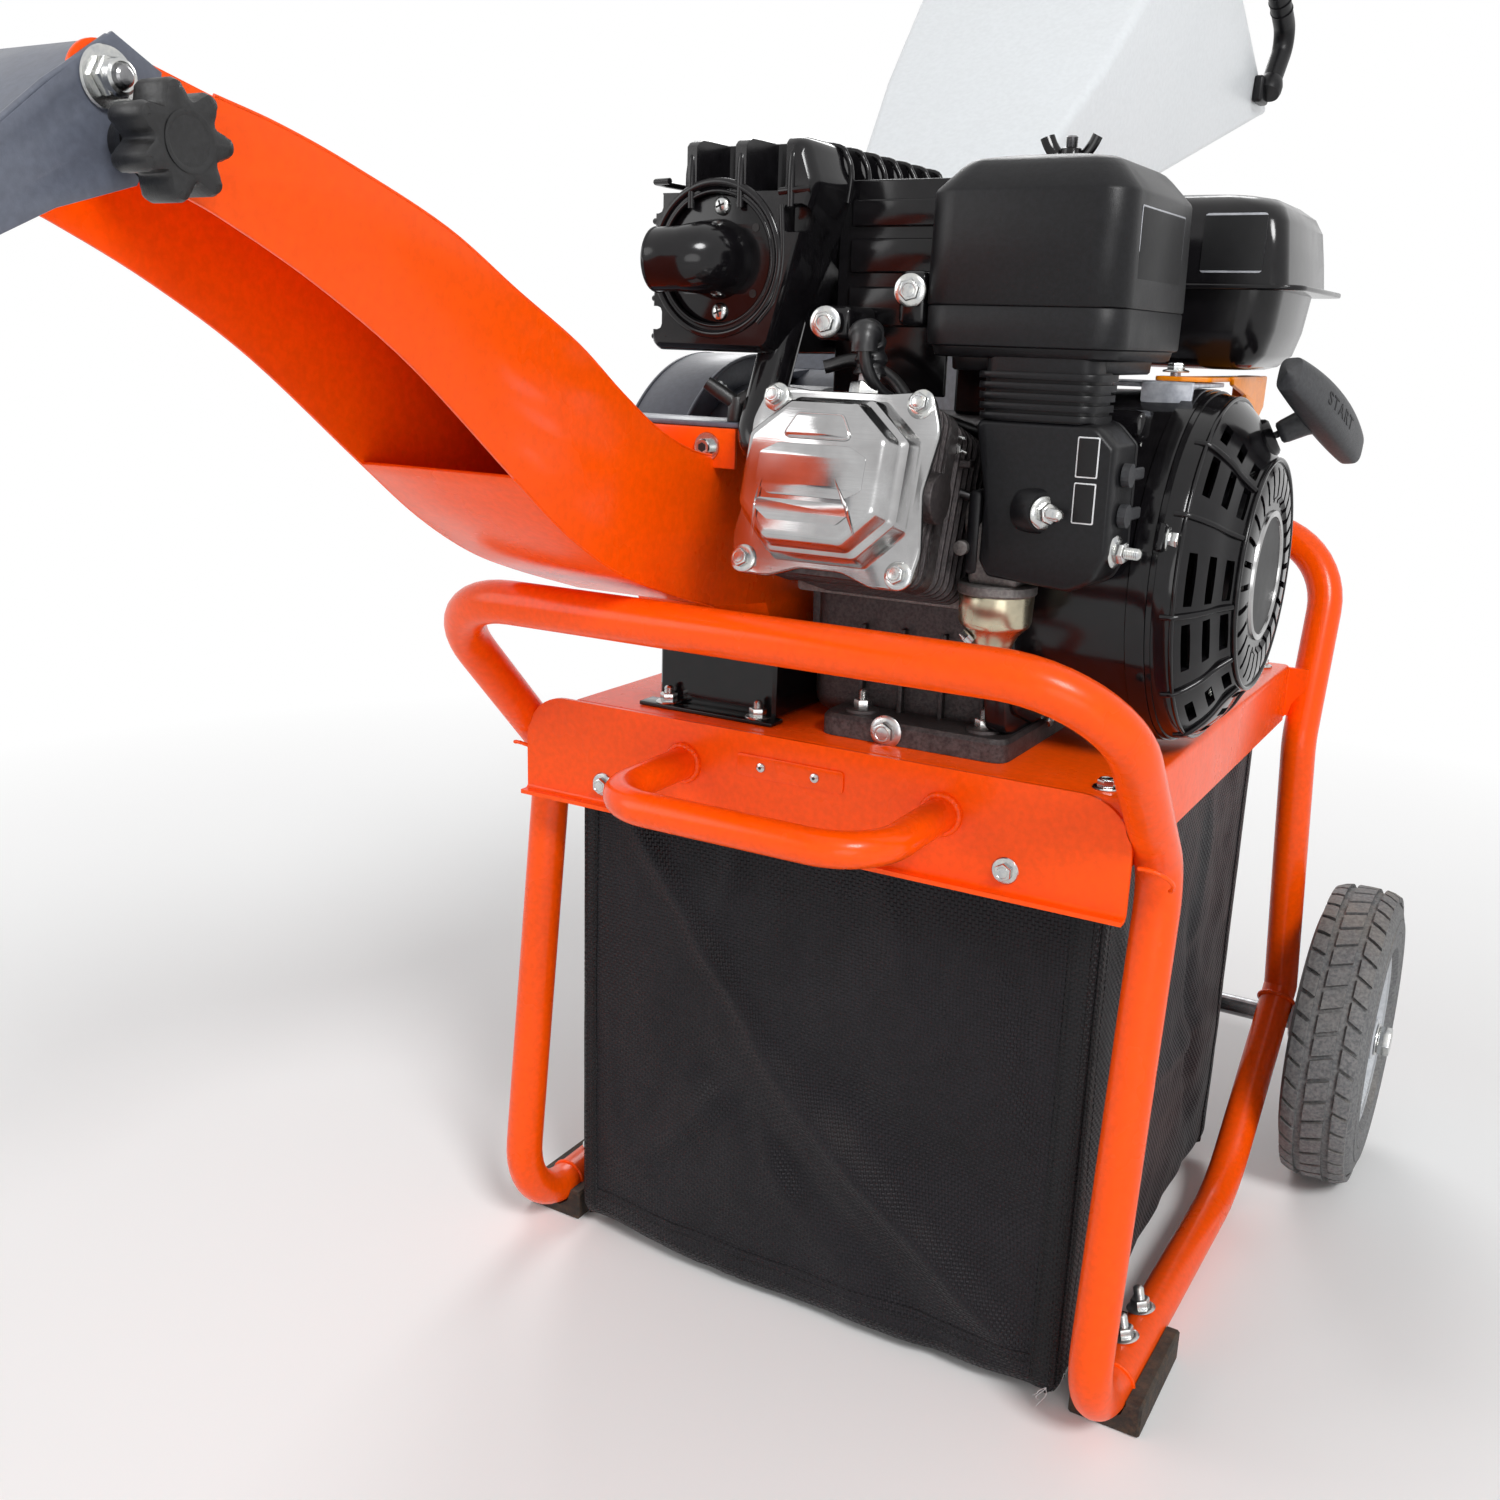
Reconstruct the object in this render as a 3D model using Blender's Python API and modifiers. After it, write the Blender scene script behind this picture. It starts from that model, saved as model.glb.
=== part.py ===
"""Petrol wood chipper: engine, rotor housing, chute, hopper, tube frame, wheels and collection bag.

X is right as seen from the chute side, Y runs to the hopper side, Z is up. Lengths are in metres.
The modelling frame has Y = 0 at the front legs; every object hangs on one empty that moves the
whole machine so that the finished origin is on the ground, at the middle of the overall box.
"""

import math

import bmesh
import bpy
from mathutils import Matrix, Quaternion, Vector

GAP = 0.0003  # left between pieces that touch
RUN = 0.0003  # radial clearance of a shaft in its bore
ROUND = 20  # sides of a small round piece

# Tube frame
TUBE_R = 0.0127
LEG_X = 0.2075
REAR_SPLAY = 0.0085
FOOT_T = 0.022
FOOT_SINK = 0.014
RAIL_Z = FOOT_T - FOOT_SINK + TUBE_R
FRONT_TOE_Y = -0.043
TOE_R = 0.050
TOE_END = 0.0165  # where a rail is welded to the hoop's toe
FRONT_KINK = (0.0, 0.359)
FRONT_BAR = (-0.117, 0.482)
REAR_KINK = (0.386, 0.349)
REAR_BAR = (0.440, 0.500)
RAMP_START_Y = 0.272
JUNCTION = (0.405, 0.140)
BEND_R = 0.060

# Deck and the plates at its ends
DECK_TOP = 0.4063
DECK_T = 0.003
DECK_X = (-0.166, LEG_X - TUBE_R - GAP)
DECK_Y = (-0.0345, 0.385)
DECK_DROP = 0.0465
APRON_T = 0.0027
APRON_X = 0.2000
APRON_Z = (0.340, 0.4065)
APRON_LIP = 0.010
HANDLE_R = 0.010
HANDLE_X = (-0.079, 0.092)
HANDLE_Z = 0.380
HANDLE_OUT = 0.090

# Wheels
AXLE_R = 0.008
AXLE_YZ = (0.396, 0.117)
WHEEL_R = 0.117
WHEEL_X = 0.269
TYRE_W = 0.056
RIM_R = 0.070
HUB_X = (0.2295, 0.2930)
AXLE_END = 0.3030

# Bag
BAG_X = 0.183
BAG_Y = (-0.008, 0.360)
BAG_BOTTOM = 0.011
BAG_WALL = 0.004

# Crank line, shared by the engine and the rotor
CRANK_YZ = (0.090, DECK_TOP + 0.106)
SHAFT_R = 0.010

# Rotor housing and chute
PLATE_T = 0.002
HOUSE_X = (-0.150, -0.052)
WRAP_R = 0.085
COVER_R = 0.109
SPLIT_Z = 0.583
ROTOR_R = 0.066
BLADE_R = 0.0765
THROAT_FRONT = (0.165, 0.612)
THROAT_REAR = (0.212, 0.530)
PIVOT_YZ = (-0.433, 0.706)
STUD_YZ = (-0.427, 0.687)
KNOB_R = 0.0195
DEFLECTOR_TIP_Y = -0.545

# Hopper
HOPPER_X = -0.088
HOPPER_T = 0.0018
NECK_END = ((0.238, 0.675), (0.300, 0.575), 0.052)
HOPPER_WAIST = ((0.405, 0.835), (0.520, 0.763), 0.090)
HOPPER_MOUTH = ((0.576, 1.000), (0.840, 0.860), 0.112)
GRAB_OUT = 0.034
GRAB_R = 0.0100

# Engine
CASE_X = (-0.027, 0.100)
CASE_Y = (0.018, 0.170)
CASE_TOP = 0.590
BASE_X = (0.000, 0.117)
BASE_Y = (-0.012, 0.195)
BASE_T = 0.013
HEAD_X = 0.0435
COVER_YZ = (-0.094, 0.5625)
COVER_TILT = 16.0
FLYWHEEL_X = (0.118, 0.158)
FLYWHEEL_R = 0.084
BLOWER_X = (CASE_X[1] + GAP, 0.1860)
BLOWER_R = 0.100
RECOIL_X = 0.2260
GUARD_X = (-0.100, -0.010)
GUARD_Y = (-0.050, 0.120)
GUARD_Z = (0.624, 0.734)
GUARD_T = 0.002
GUARD_RIB = 0.0350  # first bridge between the slots of its top
GUARD_PITCH = 0.0215
FILTER_X = (0.0655, 0.1720)
FILTER_Y = (-0.052, 0.072)
FILTER_Z = (0.626, 0.651, 0.726)
INTAKE_X = 0.175
TANK_X = (0.012, 0.220)
TANK_Y = (0.120, 0.250)
TANK_Z = (0.6225, 0.667, 0.7200)
GRIP = Vector((0.2400, 0.1120, 0.6020))
ROPE_R = 0.0022
SWITCH_TILT = 10  # rest position of the rocker, off side pressed in
PULLEY_BORE = 0.0053
GRIP_ALONG = Vector((0.25, 0.86, -0.44)).normalized()

# The overall box in Y runs from the deflector's tip to the hopper's grab handle
FRONT_END = DEFLECTOR_TIP_Y
REAR_END = HOPPER_MOUTH[1][0] + 0.0007
ORIGIN_Y = (FRONT_END + REAR_END) / 2


# ---------------------------------------------------------------- scene and materials


def clear_scene():
    for obj in list(bpy.data.objects):
        bpy.data.objects.remove(obj)


def new_collection(name):
    made = bpy.data.collections.new(name)
    bpy.context.scene.collection.children.link(made)
    return made


def material(name, colour, roughness, metallic=0.0):
    made = bpy.data.materials.new(name)
    made.use_nodes = True
    shader = made.node_tree.nodes["Principled BSDF"]
    shader.inputs["Base Color"].default_value = (*colour, 1.0)
    shader.inputs["Roughness"].default_value = roughness
    shader.inputs["Metallic"].default_value = metallic
    return made


clear_scene()
PARTS = new_collection("wood_chipper")
MACHINE = bpy.data.objects.new("machine_origin", None)
MACHINE.location = (0.0, -ORIGIN_Y, 0.0)
PARTS.objects.link(MACHINE)

ORANGE = material("orange_paint", (1.0, 0.09, 0.004), 0.32)
SLATE = material("slate_paint", (0.085, 0.095, 0.125), 0.42)
WHITE = material("white_paint", (0.80, 0.83, 0.85), 0.38)
BLACK = material("black_paint", (0.012, 0.012, 0.014), 0.30)
PLASTIC = material("black_plastic", (0.022, 0.022, 0.026), 0.45)
RUBBER = material("rubber", (0.030, 0.030, 0.032), 0.80)
CAST = material("cast_aluminium", (0.30, 0.29, 0.28), 0.50, 0.9)
STEEL = material("bright_steel", (0.55, 0.55, 0.56), 0.30, 1.0)
RIM_GREY = material("rim_silver", (0.50, 0.52, 0.54), 0.35, 0.8)
FABRIC = material("bag_fabric", (0.015, 0.014, 0.017), 0.85)
AMBER = material("amber_lever", (1.0, 0.30, 0.0), 0.40)
RED = material("red_switch", (0.60, 0.02, 0.01), 0.40)
FOAM = material("filter_foam", (0.10, 0.10, 0.10), 0.95)


# ---------------------------------------------------------------- modelling helpers


def add_object(name, mesh, mat, at=None):
    """Object whose origin is at the point given, with the mesh kept where it was modelled."""
    obj = bpy.data.objects.new(name, mesh)
    PARTS.objects.link(obj)
    obj.parent = MACHINE
    if at is not None:
        mesh.transform(Matrix.Translation(-Vector(at)))
        obj.location = at
    if mat is not None:
        mesh.materials.clear()
        mesh.materials.append(mat)
    return obj


def mesh_from(bm, name="shape", turn_out=True):
    mesh = bpy.data.meshes.new(name)
    if turn_out:
        bmesh.ops.recalc_face_normals(bm, faces=bm.faces)
    bm.to_mesh(mesh)
    bm.free()
    mesh.shade_smooth()
    mesh.set_sharp_from_angle(angle=math.radians(35))
    return mesh


def box_mesh(low, high, bevel=0.0, segments=2):
    bm = bmesh.new()
    bmesh.ops.create_cube(bm, size=1.0)
    size = [b - a for a, b in zip(low, high)]
    middle = [(a + b) / 2 for a, b in zip(low, high)]
    bmesh.ops.scale(bm, vec=size, verts=bm.verts)
    bmesh.ops.translate(bm, vec=middle, verts=bm.verts)
    if bevel:
        bmesh.ops.bevel(
            bm, geom=bm.edges[:], offset=bevel, segments=segments, profile=0.5,
            affect="EDGES", clamp_overlap=True,
        )
    return mesh_from(bm)


def cylinder_mesh(start, end, radius, radius_end=None, sides=ROUND):
    start, end = Vector(start), Vector(end)
    along = end - start
    bm = bmesh.new()
    bmesh.ops.create_cone(
        bm, cap_ends=True, segments=sides, radius1=radius,
        radius2=radius if radius_end is None else radius_end, depth=along.length,
    )
    turn = Vector((0, 0, 1)).rotation_difference(along).to_matrix().to_4x4()
    bmesh.ops.transform(bm, matrix=Matrix.Translation((start + end) / 2) @ turn, verts=bm.verts)
    return mesh_from(bm)


def evaluated_mesh(obj):
    """The object's mesh with its modifiers applied, in its own space, with curve caps welded on."""
    bpy.context.view_layer.update()
    graph = bpy.context.evaluated_depsgraph_get()
    mesh = bpy.data.meshes.new_from_object(obj.evaluated_get(graph))
    bm = bmesh.new()
    bm.from_mesh(mesh)
    bmesh.ops.remove_doubles(bm, verts=bm.verts, dist=0.00001)
    bmesh.ops.recalc_face_normals(bm, faces=bm.faces)
    bm.to_mesh(mesh)
    bm.free()
    return mesh


def curve_mesh(curve):
    """Mesh of a curve data block, which is then removed."""
    obj = bpy.data.objects.new("curve_guide", curve)
    bpy.context.scene.collection.objects.link(obj)
    mesh = evaluated_mesh(obj)
    bpy.data.objects.remove(obj)
    mesh.shade_smooth()
    mesh.set_sharp_from_angle(angle=math.radians(35))
    return mesh


def tube_mesh(points, radius, resolution=3):
    curve = bpy.data.curves.new("tube", "CURVE")
    curve.dimensions = "3D"
    curve.bevel_depth = radius
    curve.bevel_resolution = resolution
    curve.use_fill_caps = True
    spline = curve.splines.new("POLY")
    spline.points.add(len(points) - 1)
    for target, point in zip(spline.points, points):
        target.co = (*point, 1.0)
    return curve_mesh(curve)


def plate_mesh(outline, x0, x1, holes=()):
    """Flat plate whose outline and holes are (y, z) loops, from x0 to x1."""
    curve = bpy.data.curves.new("plate", "CURVE")
    curve.dimensions = "2D"
    curve.fill_mode = "BOTH"
    curve.extrude = abs(x1 - x0) / 2
    for loop in (outline, *holes):
        spline = curve.splines.new("POLY")
        spline.use_cyclic_u = True
        spline.points.add(len(loop) - 1)
        for target, (y, z) in zip(spline.points, loop):
            target.co = (y, z, 0.0, 1.0)
    mesh = curve_mesh(curve)
    swing = Matrix(((0, 0, 1, 0), (1, 0, 0, 0), (0, 1, 0, 0), (0, 0, 0, 1)))
    mesh.transform(Matrix.Translation(((x0 + x1) / 2, 0, 0)) @ swing)
    return mesh


def arc(centre, radius, start, end, count):
    """(y, z) points of an arc, angles in degrees from +Y towards +Z."""
    steps = [math.radians(start + (end - start) * i / count) for i in range(count + 1)]
    return [(centre[0] + radius * math.cos(a), centre[1] + radius * math.sin(a)) for a in steps]


def circle(centre, radius, count=ROUND):
    return arc(centre, radius, 0, 360, count)[:-1]


def strip_mesh(points, x0, x1, thickness):
    """Sheet x0 to x1 wide that follows the (y, z) points, with its thickness on their right-hand side."""
    bm = bmesh.new()
    near = [bm.verts.new((x0, y, z)) for y, z in points]
    far = [bm.verts.new((x1, y, z)) for y, z in points]
    for i in range(len(points) - 1):
        bm.faces.new((near[i], far[i], far[i + 1], near[i + 1]))
    return solidified(mesh_from(bm, turn_out=False), thickness, -1)


def solidified(mesh, thickness, offset):
    obj = bpy.data.objects.new("sheet_guide", mesh)
    bpy.context.scene.collection.objects.link(obj)
    thick = obj.modifiers.new("Thickness", "SOLIDIFY")
    thick.thickness = thickness
    thick.offset = offset
    thick.use_even_offset = True
    result = evaluated_mesh(obj)
    bpy.data.objects.remove(obj)
    return result


def turned_mesh(profile, start, along, steps=32):
    """Solid of revolution. The profile is (distance along the axis, radius), far end first."""
    bm = bmesh.new()
    verts = [bm.verts.new((radius, 0.0, distance)) for distance, radius in profile]
    for pair in zip(verts, verts[1:]):
        bm.edges.new(pair)
    mesh = bpy.data.meshes.new("profile")
    bm.to_mesh(mesh)
    bm.free()
    obj = bpy.data.objects.new("turned_guide", mesh)
    bpy.context.scene.collection.objects.link(obj)
    screw = obj.modifiers.new("Turn", "SCREW")
    screw.steps = steps
    screw.render_steps = steps
    screw.use_merge_vertices = True
    screw.merge_threshold = 0.00001
    result = evaluated_mesh(obj)
    bpy.data.objects.remove(obj)
    turn = Vector((0, 0, 1)).rotation_difference(Vector(along)).to_matrix().to_4x4()
    result.transform(Matrix.Translation(start) @ turn)
    result.shade_smooth()
    result.set_sharp_from_angle(angle=math.radians(35))
    return result


def combined(base, others, operation):
    """Boolean of a mesh with other meshes, as one mesh."""
    obj = bpy.data.objects.new("boolean_base", base)
    bpy.context.scene.collection.objects.link(obj)
    helpers = []
    for other in others:
        helper = bpy.data.objects.new("boolean_other", other)
        bpy.context.scene.collection.objects.link(helper)
        helpers.append(helper)
        step = obj.modifiers.new("Boolean", "BOOLEAN")
        step.operation = operation
        step.object = helper
    result = evaluated_mesh(obj)
    for helper in (obj, *helpers):
        bpy.data.objects.remove(helper)
    return result


def joined(base, *others):
    return combined(base, others, "UNION")


def cut(base, *others):
    return combined(base, others, "DIFFERENCE")


def rounded_path(corners, radii, steps=6):
    """Points along straight runs with each inner corner replaced by an arc of its radius."""
    corners = [Vector(c) for c in corners]
    path = [corners[0]]
    for i in range(1, len(corners) - 1):
        before = (corners[i - 1] - corners[i]).normalized()
        after = (corners[i + 1] - corners[i]).normalized()
        half = before.angle(after) / 2
        reach = radii[i - 1] / math.tan(half)
        centre = corners[i] + (before + after).normalized() * (radii[i - 1] / math.sin(half))
        first = corners[i] + before * reach - centre
        last = corners[i] + after * reach - centre
        turn = first.rotation_difference(last)
        for s in range(steps + 1):
            path.append(centre + Quaternion().slerp(turn, s / steps) @ first)
    path.append(corners[-1])
    return path


def loft_mesh(sections):
    """Open four-sided duct through sections of four corners each, in the same order."""
    bm = bmesh.new()
    rings = []
    for section in sections:
        rings.append([bm.verts.new(corner) for corner in section])
    for lower, upper in zip(rings, rings[1:]):
        for i in range(4):
            j = (i + 1) % 4
            bm.faces.new((lower[i], lower[j], upper[j], upper[i]))
    return mesh_from(bm)


def ring_section(front, rear, half_width, centre=HOPPER_X):
    """Corners of a duct section between a front and a rear (y, z) point."""
    left, right = centre - half_width, centre + half_width
    return [(left, *front), (right, *front), (right, *rear), (left, *rear)]


# ---------------------------------------------------------------- frame


def hoop_points(kink, bar, lower, low_radii):
    """Path of a hoop: up one leg, across the bar, down the other.

    lower is the right leg's points below its kink.
    """
    right = [(LEG_X, *bar), (LEG_X, *kink), *lower]
    left = [(-x, y, z) for x, y, z in reversed(right)]
    radii = (BEND_R, 0.05, *low_radii)
    return rounded_path(left + right, (*reversed(radii), *radii))


def rail_point(y):
    """Point on the level part of the right rail."""
    spread = REAR_SPLAY * 0.7 * (y - FRONT_TOE_Y) / (RAMP_START_Y - FRONT_TOE_Y)
    return (LEG_X + spread, y, RAIL_Z)


def rail_path(side):
    right = [rail_point(TOE_END + GAP), rail_point(RAMP_START_Y), (LEG_X + REAR_SPLAY, *JUNCTION)]
    return rounded_path([(side * x, y, z) for x, y, z in right], (0.09,), steps=5)


def front_hoop_path():
    return hoop_points(FRONT_KINK, FRONT_BAR, [rail_point(FRONT_TOE_Y), rail_point(TOE_END)], (TOE_R,))


def rear_hoop_path():
    return hoop_points(REAR_KINK, REAR_BAR, [(LEG_X + REAR_SPLAY, *JUNCTION)], ())


def build_frame():
    coping = TUBE_R + GAP
    front = tube_mesh(front_hoop_path(), TUBE_R)
    rear = tube_mesh(rear_hoop_path(), TUBE_R)
    ramps = []
    for side in (-1, 1):
        path = rail_path(side)
        ramps.append(tube_mesh([path[-2], path[-1] + (path[-1] - path[-2]).normalized() * 0.03], coping))
    add_object("front_hoop", front, ORANGE)
    axle_hole = cylinder_mesh((-AXLE_END, *AXLE_YZ), (AXLE_END, *AXLE_YZ), AXLE_R + GAP)
    add_object("rear_hoop", cut(rear, *ramps, axle_hole.copy()), ORANGE)
    for side, name in ((-1, "rail_left"), (1, "rail_right")):
        rail = cut(tube_mesh(rail_path(side), TUBE_R), axle_hole.copy())
        add_object(name, rail, ORANGE)
    axle = cylinder_mesh((-AXLE_END, *AXLE_YZ), (AXLE_END, *AXLE_YZ), AXLE_R)
    add_object("axle", axle, STEEL)


def build_crossmember():
    y = DECK_Y[1] + GAP
    bar = box_mesh((-LEG_X, y, DECK_TOP - 0.040), (LEG_X, y + 0.004, DECK_TOP - 0.003))
    hoop = tube_mesh(rear_hoop_path(), TUBE_R + GAP)
    beyond = [
        box_mesh((min(s * LEG_X, s * 0.3), y - 0.05, 0.30), (max(s * LEG_X, s * 0.3), y + 0.05, 0.45))
        for s in (-1, 1)
    ]
    add_object("rear_crossmember", cut(bar, hoop, *beyond), ORANGE)


def build_apron():
    back = DECK_Y[0] - GAP
    low, high = APRON_Z
    corner = 0.030
    outline = [(-APRON_X, low), (APRON_X, low)]
    outline += arc((APRON_X - corner, high - corner), corner, 0, 90, 5)
    outline += arc((-APRON_X + corner, high - corner), corner, 90, 180, 5)
    plate = plate_mesh(outline, -APRON_T / 2, APRON_T / 2)
    plate.transform(Matrix.Translation((0, back - APRON_T / 2, 0)) @ Matrix.Rotation(-math.pi / 2, 4, "Z"))
    lip = box_mesh((-APRON_X, back - APRON_LIP, low), (APRON_X, back - APRON_T / 2, low + APRON_T))
    hoop = tube_mesh(front_hoop_path(), TUBE_R + GAP)
    add_object("apron", cut(joined(plate, lip), hoop), ORANGE)


def build_pull_handle():
    root = DECK_Y[0] - GAP - APRON_T - GAP
    out = root - HANDLE_OUT
    corners = [(x, y, HANDLE_Z) for x, y in zip(sorted(HANDLE_X * 2), (root, out, out, root))]
    add_object("pull_handle", tube_mesh(rounded_path(corners, (0.035, 0.035)), HANDLE_R, 2), ORANGE)


def build_deck():
    low = (DECK_X[0], DECK_Y[0], DECK_TOP - DECK_DROP)
    high = (DECK_X[1], DECK_Y[1], DECK_TOP)
    tray = box_mesh(low, high)
    bm = bmesh.new()
    bm.from_mesh(tray)
    bottom = [f for f in bm.faces if f.normal.z < -0.9]
    bmesh.ops.delete(bm, geom=bottom, context="FACES")
    add_object("deck_plate", solidified(mesh_from(bm), DECK_T, -1), ORANGE)


def build_feet():
    for side, name in ((-1, "foot_left"), (1, "foot_right")):
        x0, x1 = sorted((side * (BAG_X + 0.004), side * (LEG_X + 0.024)))
        block = box_mesh((x0, 0.0, 0.0), (x1, 0.088, FOOT_T), 0.0015, 1)
        groove_line = [(side * x, y, z) for x, y, z in (rail_point(FRONT_TOE_Y), rail_point(RAMP_START_Y))]
        groove = tube_mesh(groove_line, TUBE_R + 2.5 * GAP)
        add_object(name, cut(block, groove), RUBBER)


def build_wheels():
    for side, word in ((-1, "left"), (1, "right")):
        centre = (side * WHEEL_X, *AXLE_YZ)
        half = TYRE_W / 2
        tyre = turned_mesh(
            [
                (half - 0.006, RIM_R + GAP), (half, RIM_R + 0.012), (half, WHEEL_R - 0.014),
                (half - 0.010, WHEEL_R - 0.002), (0.010, WHEEL_R), (-0.010, WHEEL_R),
                (-half + 0.010, WHEEL_R - 0.002), (-half, WHEEL_R - 0.014), (-half, RIM_R + 0.012),
                (-half + 0.006, RIM_R + GAP), (half - 0.006, RIM_R + GAP),
            ],
            centre, (side, 0, 0), 40,
        )
        add_object(f"tyre_{word}", tyre, RUBBER, at=centre)
        near = HUB_X[0] - WHEEL_X
        far = HUB_X[1] - WHEEL_X
        bore = AXLE_R + RUN
        rim = turned_mesh(
            [
                (far, bore), (far, 0.016), (0.006, 0.018), (0.004, 0.050), (0.022, 0.060), (0.022, RIM_R),
                (-0.022, RIM_R), (-0.022, 0.060), (0.000, 0.047), (0.002, 0.018), (near, 0.014),
                (near, bore), (far, bore),
            ],
            centre, (side, 0, 0), 32,
        )
        add_object(f"rim_{word}", rim, RIM_GREY, at=centre)
        nut_x = side * (HUB_X[1] + GAP)
        end_x = side * (AXLE_END + 0.001)
        nut = cylinder_mesh((nut_x, *AXLE_YZ), (end_x, *AXLE_YZ), 0.0125, sides=6)
        hole_end = side * (AXLE_END + GAP)
        hole = cylinder_mesh((nut_x - side * 0.001, *AXLE_YZ), (hole_end, *AXLE_YZ), AXLE_R + GAP)
        add_object(f"wheel_nut_{word}", cut(nut, hole), STEEL, at=centre)


def build_bag():
    top = DECK_TOP - DECK_DROP - GAP
    shell = box_mesh((-BAG_X, BAG_Y[0], BAG_BOTTOM), (BAG_X, BAG_Y[1], top))
    bm = bmesh.new()
    bm.from_mesh(shell)
    lid = [f for f in bm.faces if f.normal.z > 0.9]
    bmesh.ops.delete(bm, geom=lid, context="FACES")
    add_object("collection_bag", solidified(mesh_from(bm), BAG_WALL, -1), FABRIC)


# ---------------------------------------------------------------- rotor, housing and chute


def chute_upper():
    return [
        (-0.388, 0.707), (-0.359, 0.701), (-0.324, 0.691), (-0.270, 0.672), (-0.225, 0.649),
        (-0.179, 0.626), (-0.143, 0.603), (-0.108, 0.583), (-0.075, 0.571), (-0.050, 0.567),
    ]


def chute_lower():
    return [
        (-0.406, 0.674), (-0.385, 0.666), (-0.343, 0.646), (-0.293, 0.616), (-0.228, 0.566),
        (-0.189, 0.537), (-0.150, 0.515), (-0.110, 0.500), (-0.050, 0.482),
    ]


def housing_outline():
    ear = arc(PIVOT_YZ, 0.012, 75, 175, 5)
    guard = arc(PIVOT_YZ, 0.0285, 238, 300, 4)
    bottom = arc(CRANK_YZ, WRAP_R + PLATE_T, 205, 350, 14)
    rear = (THROAT_REAR[0], bottom[-1][1])
    loop = ear + guard + chute_lower() + bottom + [rear, THROAT_REAR]
    share = (SPLIT_Z - THROAT_REAR[1]) / (THROAT_FRONT[1] - THROAT_REAR[1])
    split_rear = THROAT_REAR[0] + share * (THROAT_FRONT[0] - THROAT_REAR[0])
    return loop + [(split_rear, SPLIT_Z), (-0.050, SPLIT_Z)] + chute_upper()[::-1]


def slot_outline():
    """Slot in the chute's ear that the knob's stud slides in as the deflector tilts."""
    reach = math.dist(PIVOT_YZ, STUD_YZ)
    rest = math.degrees(math.atan2(STUD_YZ[1] - PIVOT_YZ[1], STUD_YZ[0] - PIVOT_YZ[0]))
    first, last = rest - 35, rest + 30
    half = 0.0040
    return arc(PIVOT_YZ, reach + half, first, last, 8) + arc(PIVOT_YZ, reach - half, last, first, 8)


def build_housing():
    near, far = HOUSE_X[1], HOUSE_X[0]
    shaft = circle(CRANK_YZ, SHAFT_R + 0.003)
    pivot = circle(PIVOT_YZ, 0.0040, 12)
    holes = (shaft, pivot, slot_outline())
    near_side = plate_mesh(housing_outline(), near - PLATE_T, near, holes)
    far_side = plate_mesh(housing_outline(), far, far + PLATE_T, holes)
    inside = (far + PLATE_T / 2, near - PLATE_T / 2)
    top = strip_mesh(chute_upper() + [(-0.050, SPLIT_Z)], *inside, PLATE_T)
    bottom_edge = [p for p in chute_lower() if p[0] >= -0.230]
    wrap = arc(CRANK_YZ, WRAP_R + PLATE_T, 205, 350, 14)
    run = bottom_edge + wrap + [(THROAT_REAR[0], wrap[-1][1]), THROAT_REAR]
    floor = strip_mesh(run[::-1], *inside, PLATE_T)
    flange = [
        box_mesh((far - 0.014, -0.052, SPLIT_Z - 0.003), (far + 0.001, 0.165, SPLIT_Z)),
        box_mesh((near - 0.001, -0.052, SPLIT_Z - 0.003), (near + 0.014, 0.165, SPLIT_Z)),
        box_mesh((far - 0.014, -0.052, SPLIT_Z - 0.003), (near + 0.014, -0.010, SPLIT_Z)),
    ]
    whole = joined(near_side, far_side, top, floor, *flange)
    add_object("rotor_housing", whole, ORANGE)


def build_cover():
    """Upper half of the rotor housing: a half drum with a bolting rim and a slanted throat."""
    near, far = HOUSE_X[1], HOUSE_X[0]
    base = SPLIT_Z + GAP
    rise = base - CRANK_YZ[1]
    start = 180 - math.degrees(math.asin(rise / COVER_R))
    throat = [THROAT_FRONT, (THROAT_FRONT[0] + 0.0145, base)]
    drum = arc(CRANK_YZ, COVER_R, start, 64, 12)
    shoulder_r = COVER_R - 0.018
    low_start = 180 - math.degrees(math.asin(rise / shoulder_r))
    low = arc(CRANK_YZ, shoulder_r, low_start, 60, 10) + [(0.148, 0.606)]
    deep = far + 0.040
    body = joined(plate_mesh(drum + throat, far, deep), plate_mesh(low + throat, deep - 0.004, near))
    rim = box_mesh((far - 0.014, -0.052, base), (near + 0.014, 0.158, base + 0.003))
    inner_drum = arc(CRANK_YZ, COVER_R - PLATE_T, start + 5, 62, 12)
    inner_low = arc(CRANK_YZ, shoulder_r - PLATE_T, low_start + 5, 58, 10) + [(0.150, 0.6035)]
    mouth = [(THROAT_FRONT[0] + 0.004, THROAT_FRONT[1] - 0.003), (0.200, 0.570), (0.040, 0.570)]
    hollow = joined(
        plate_mesh(inner_drum + mouth, far + PLATE_T, deep - PLATE_T),
        plate_mesh(inner_low + mouth, deep - PLATE_T - 0.003, near - PLATE_T),
    )
    add_object("housing_cover", cut(joined(body, rim), hollow), SLATE)


def build_pedestal():
    low = (-0.118, -0.006, DECK_TOP + GAP)
    high = (-0.034, 0.186, 0.460)
    block = box_mesh(low, high, 0.002, 1)
    drum = cylinder_mesh((-0.2, *CRANK_YZ), (0.1, *CRANK_YZ), WRAP_R + PLATE_T + GAP, sides=48)
    add_object("pedestal", cut(block, drum), BLACK)


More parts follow.
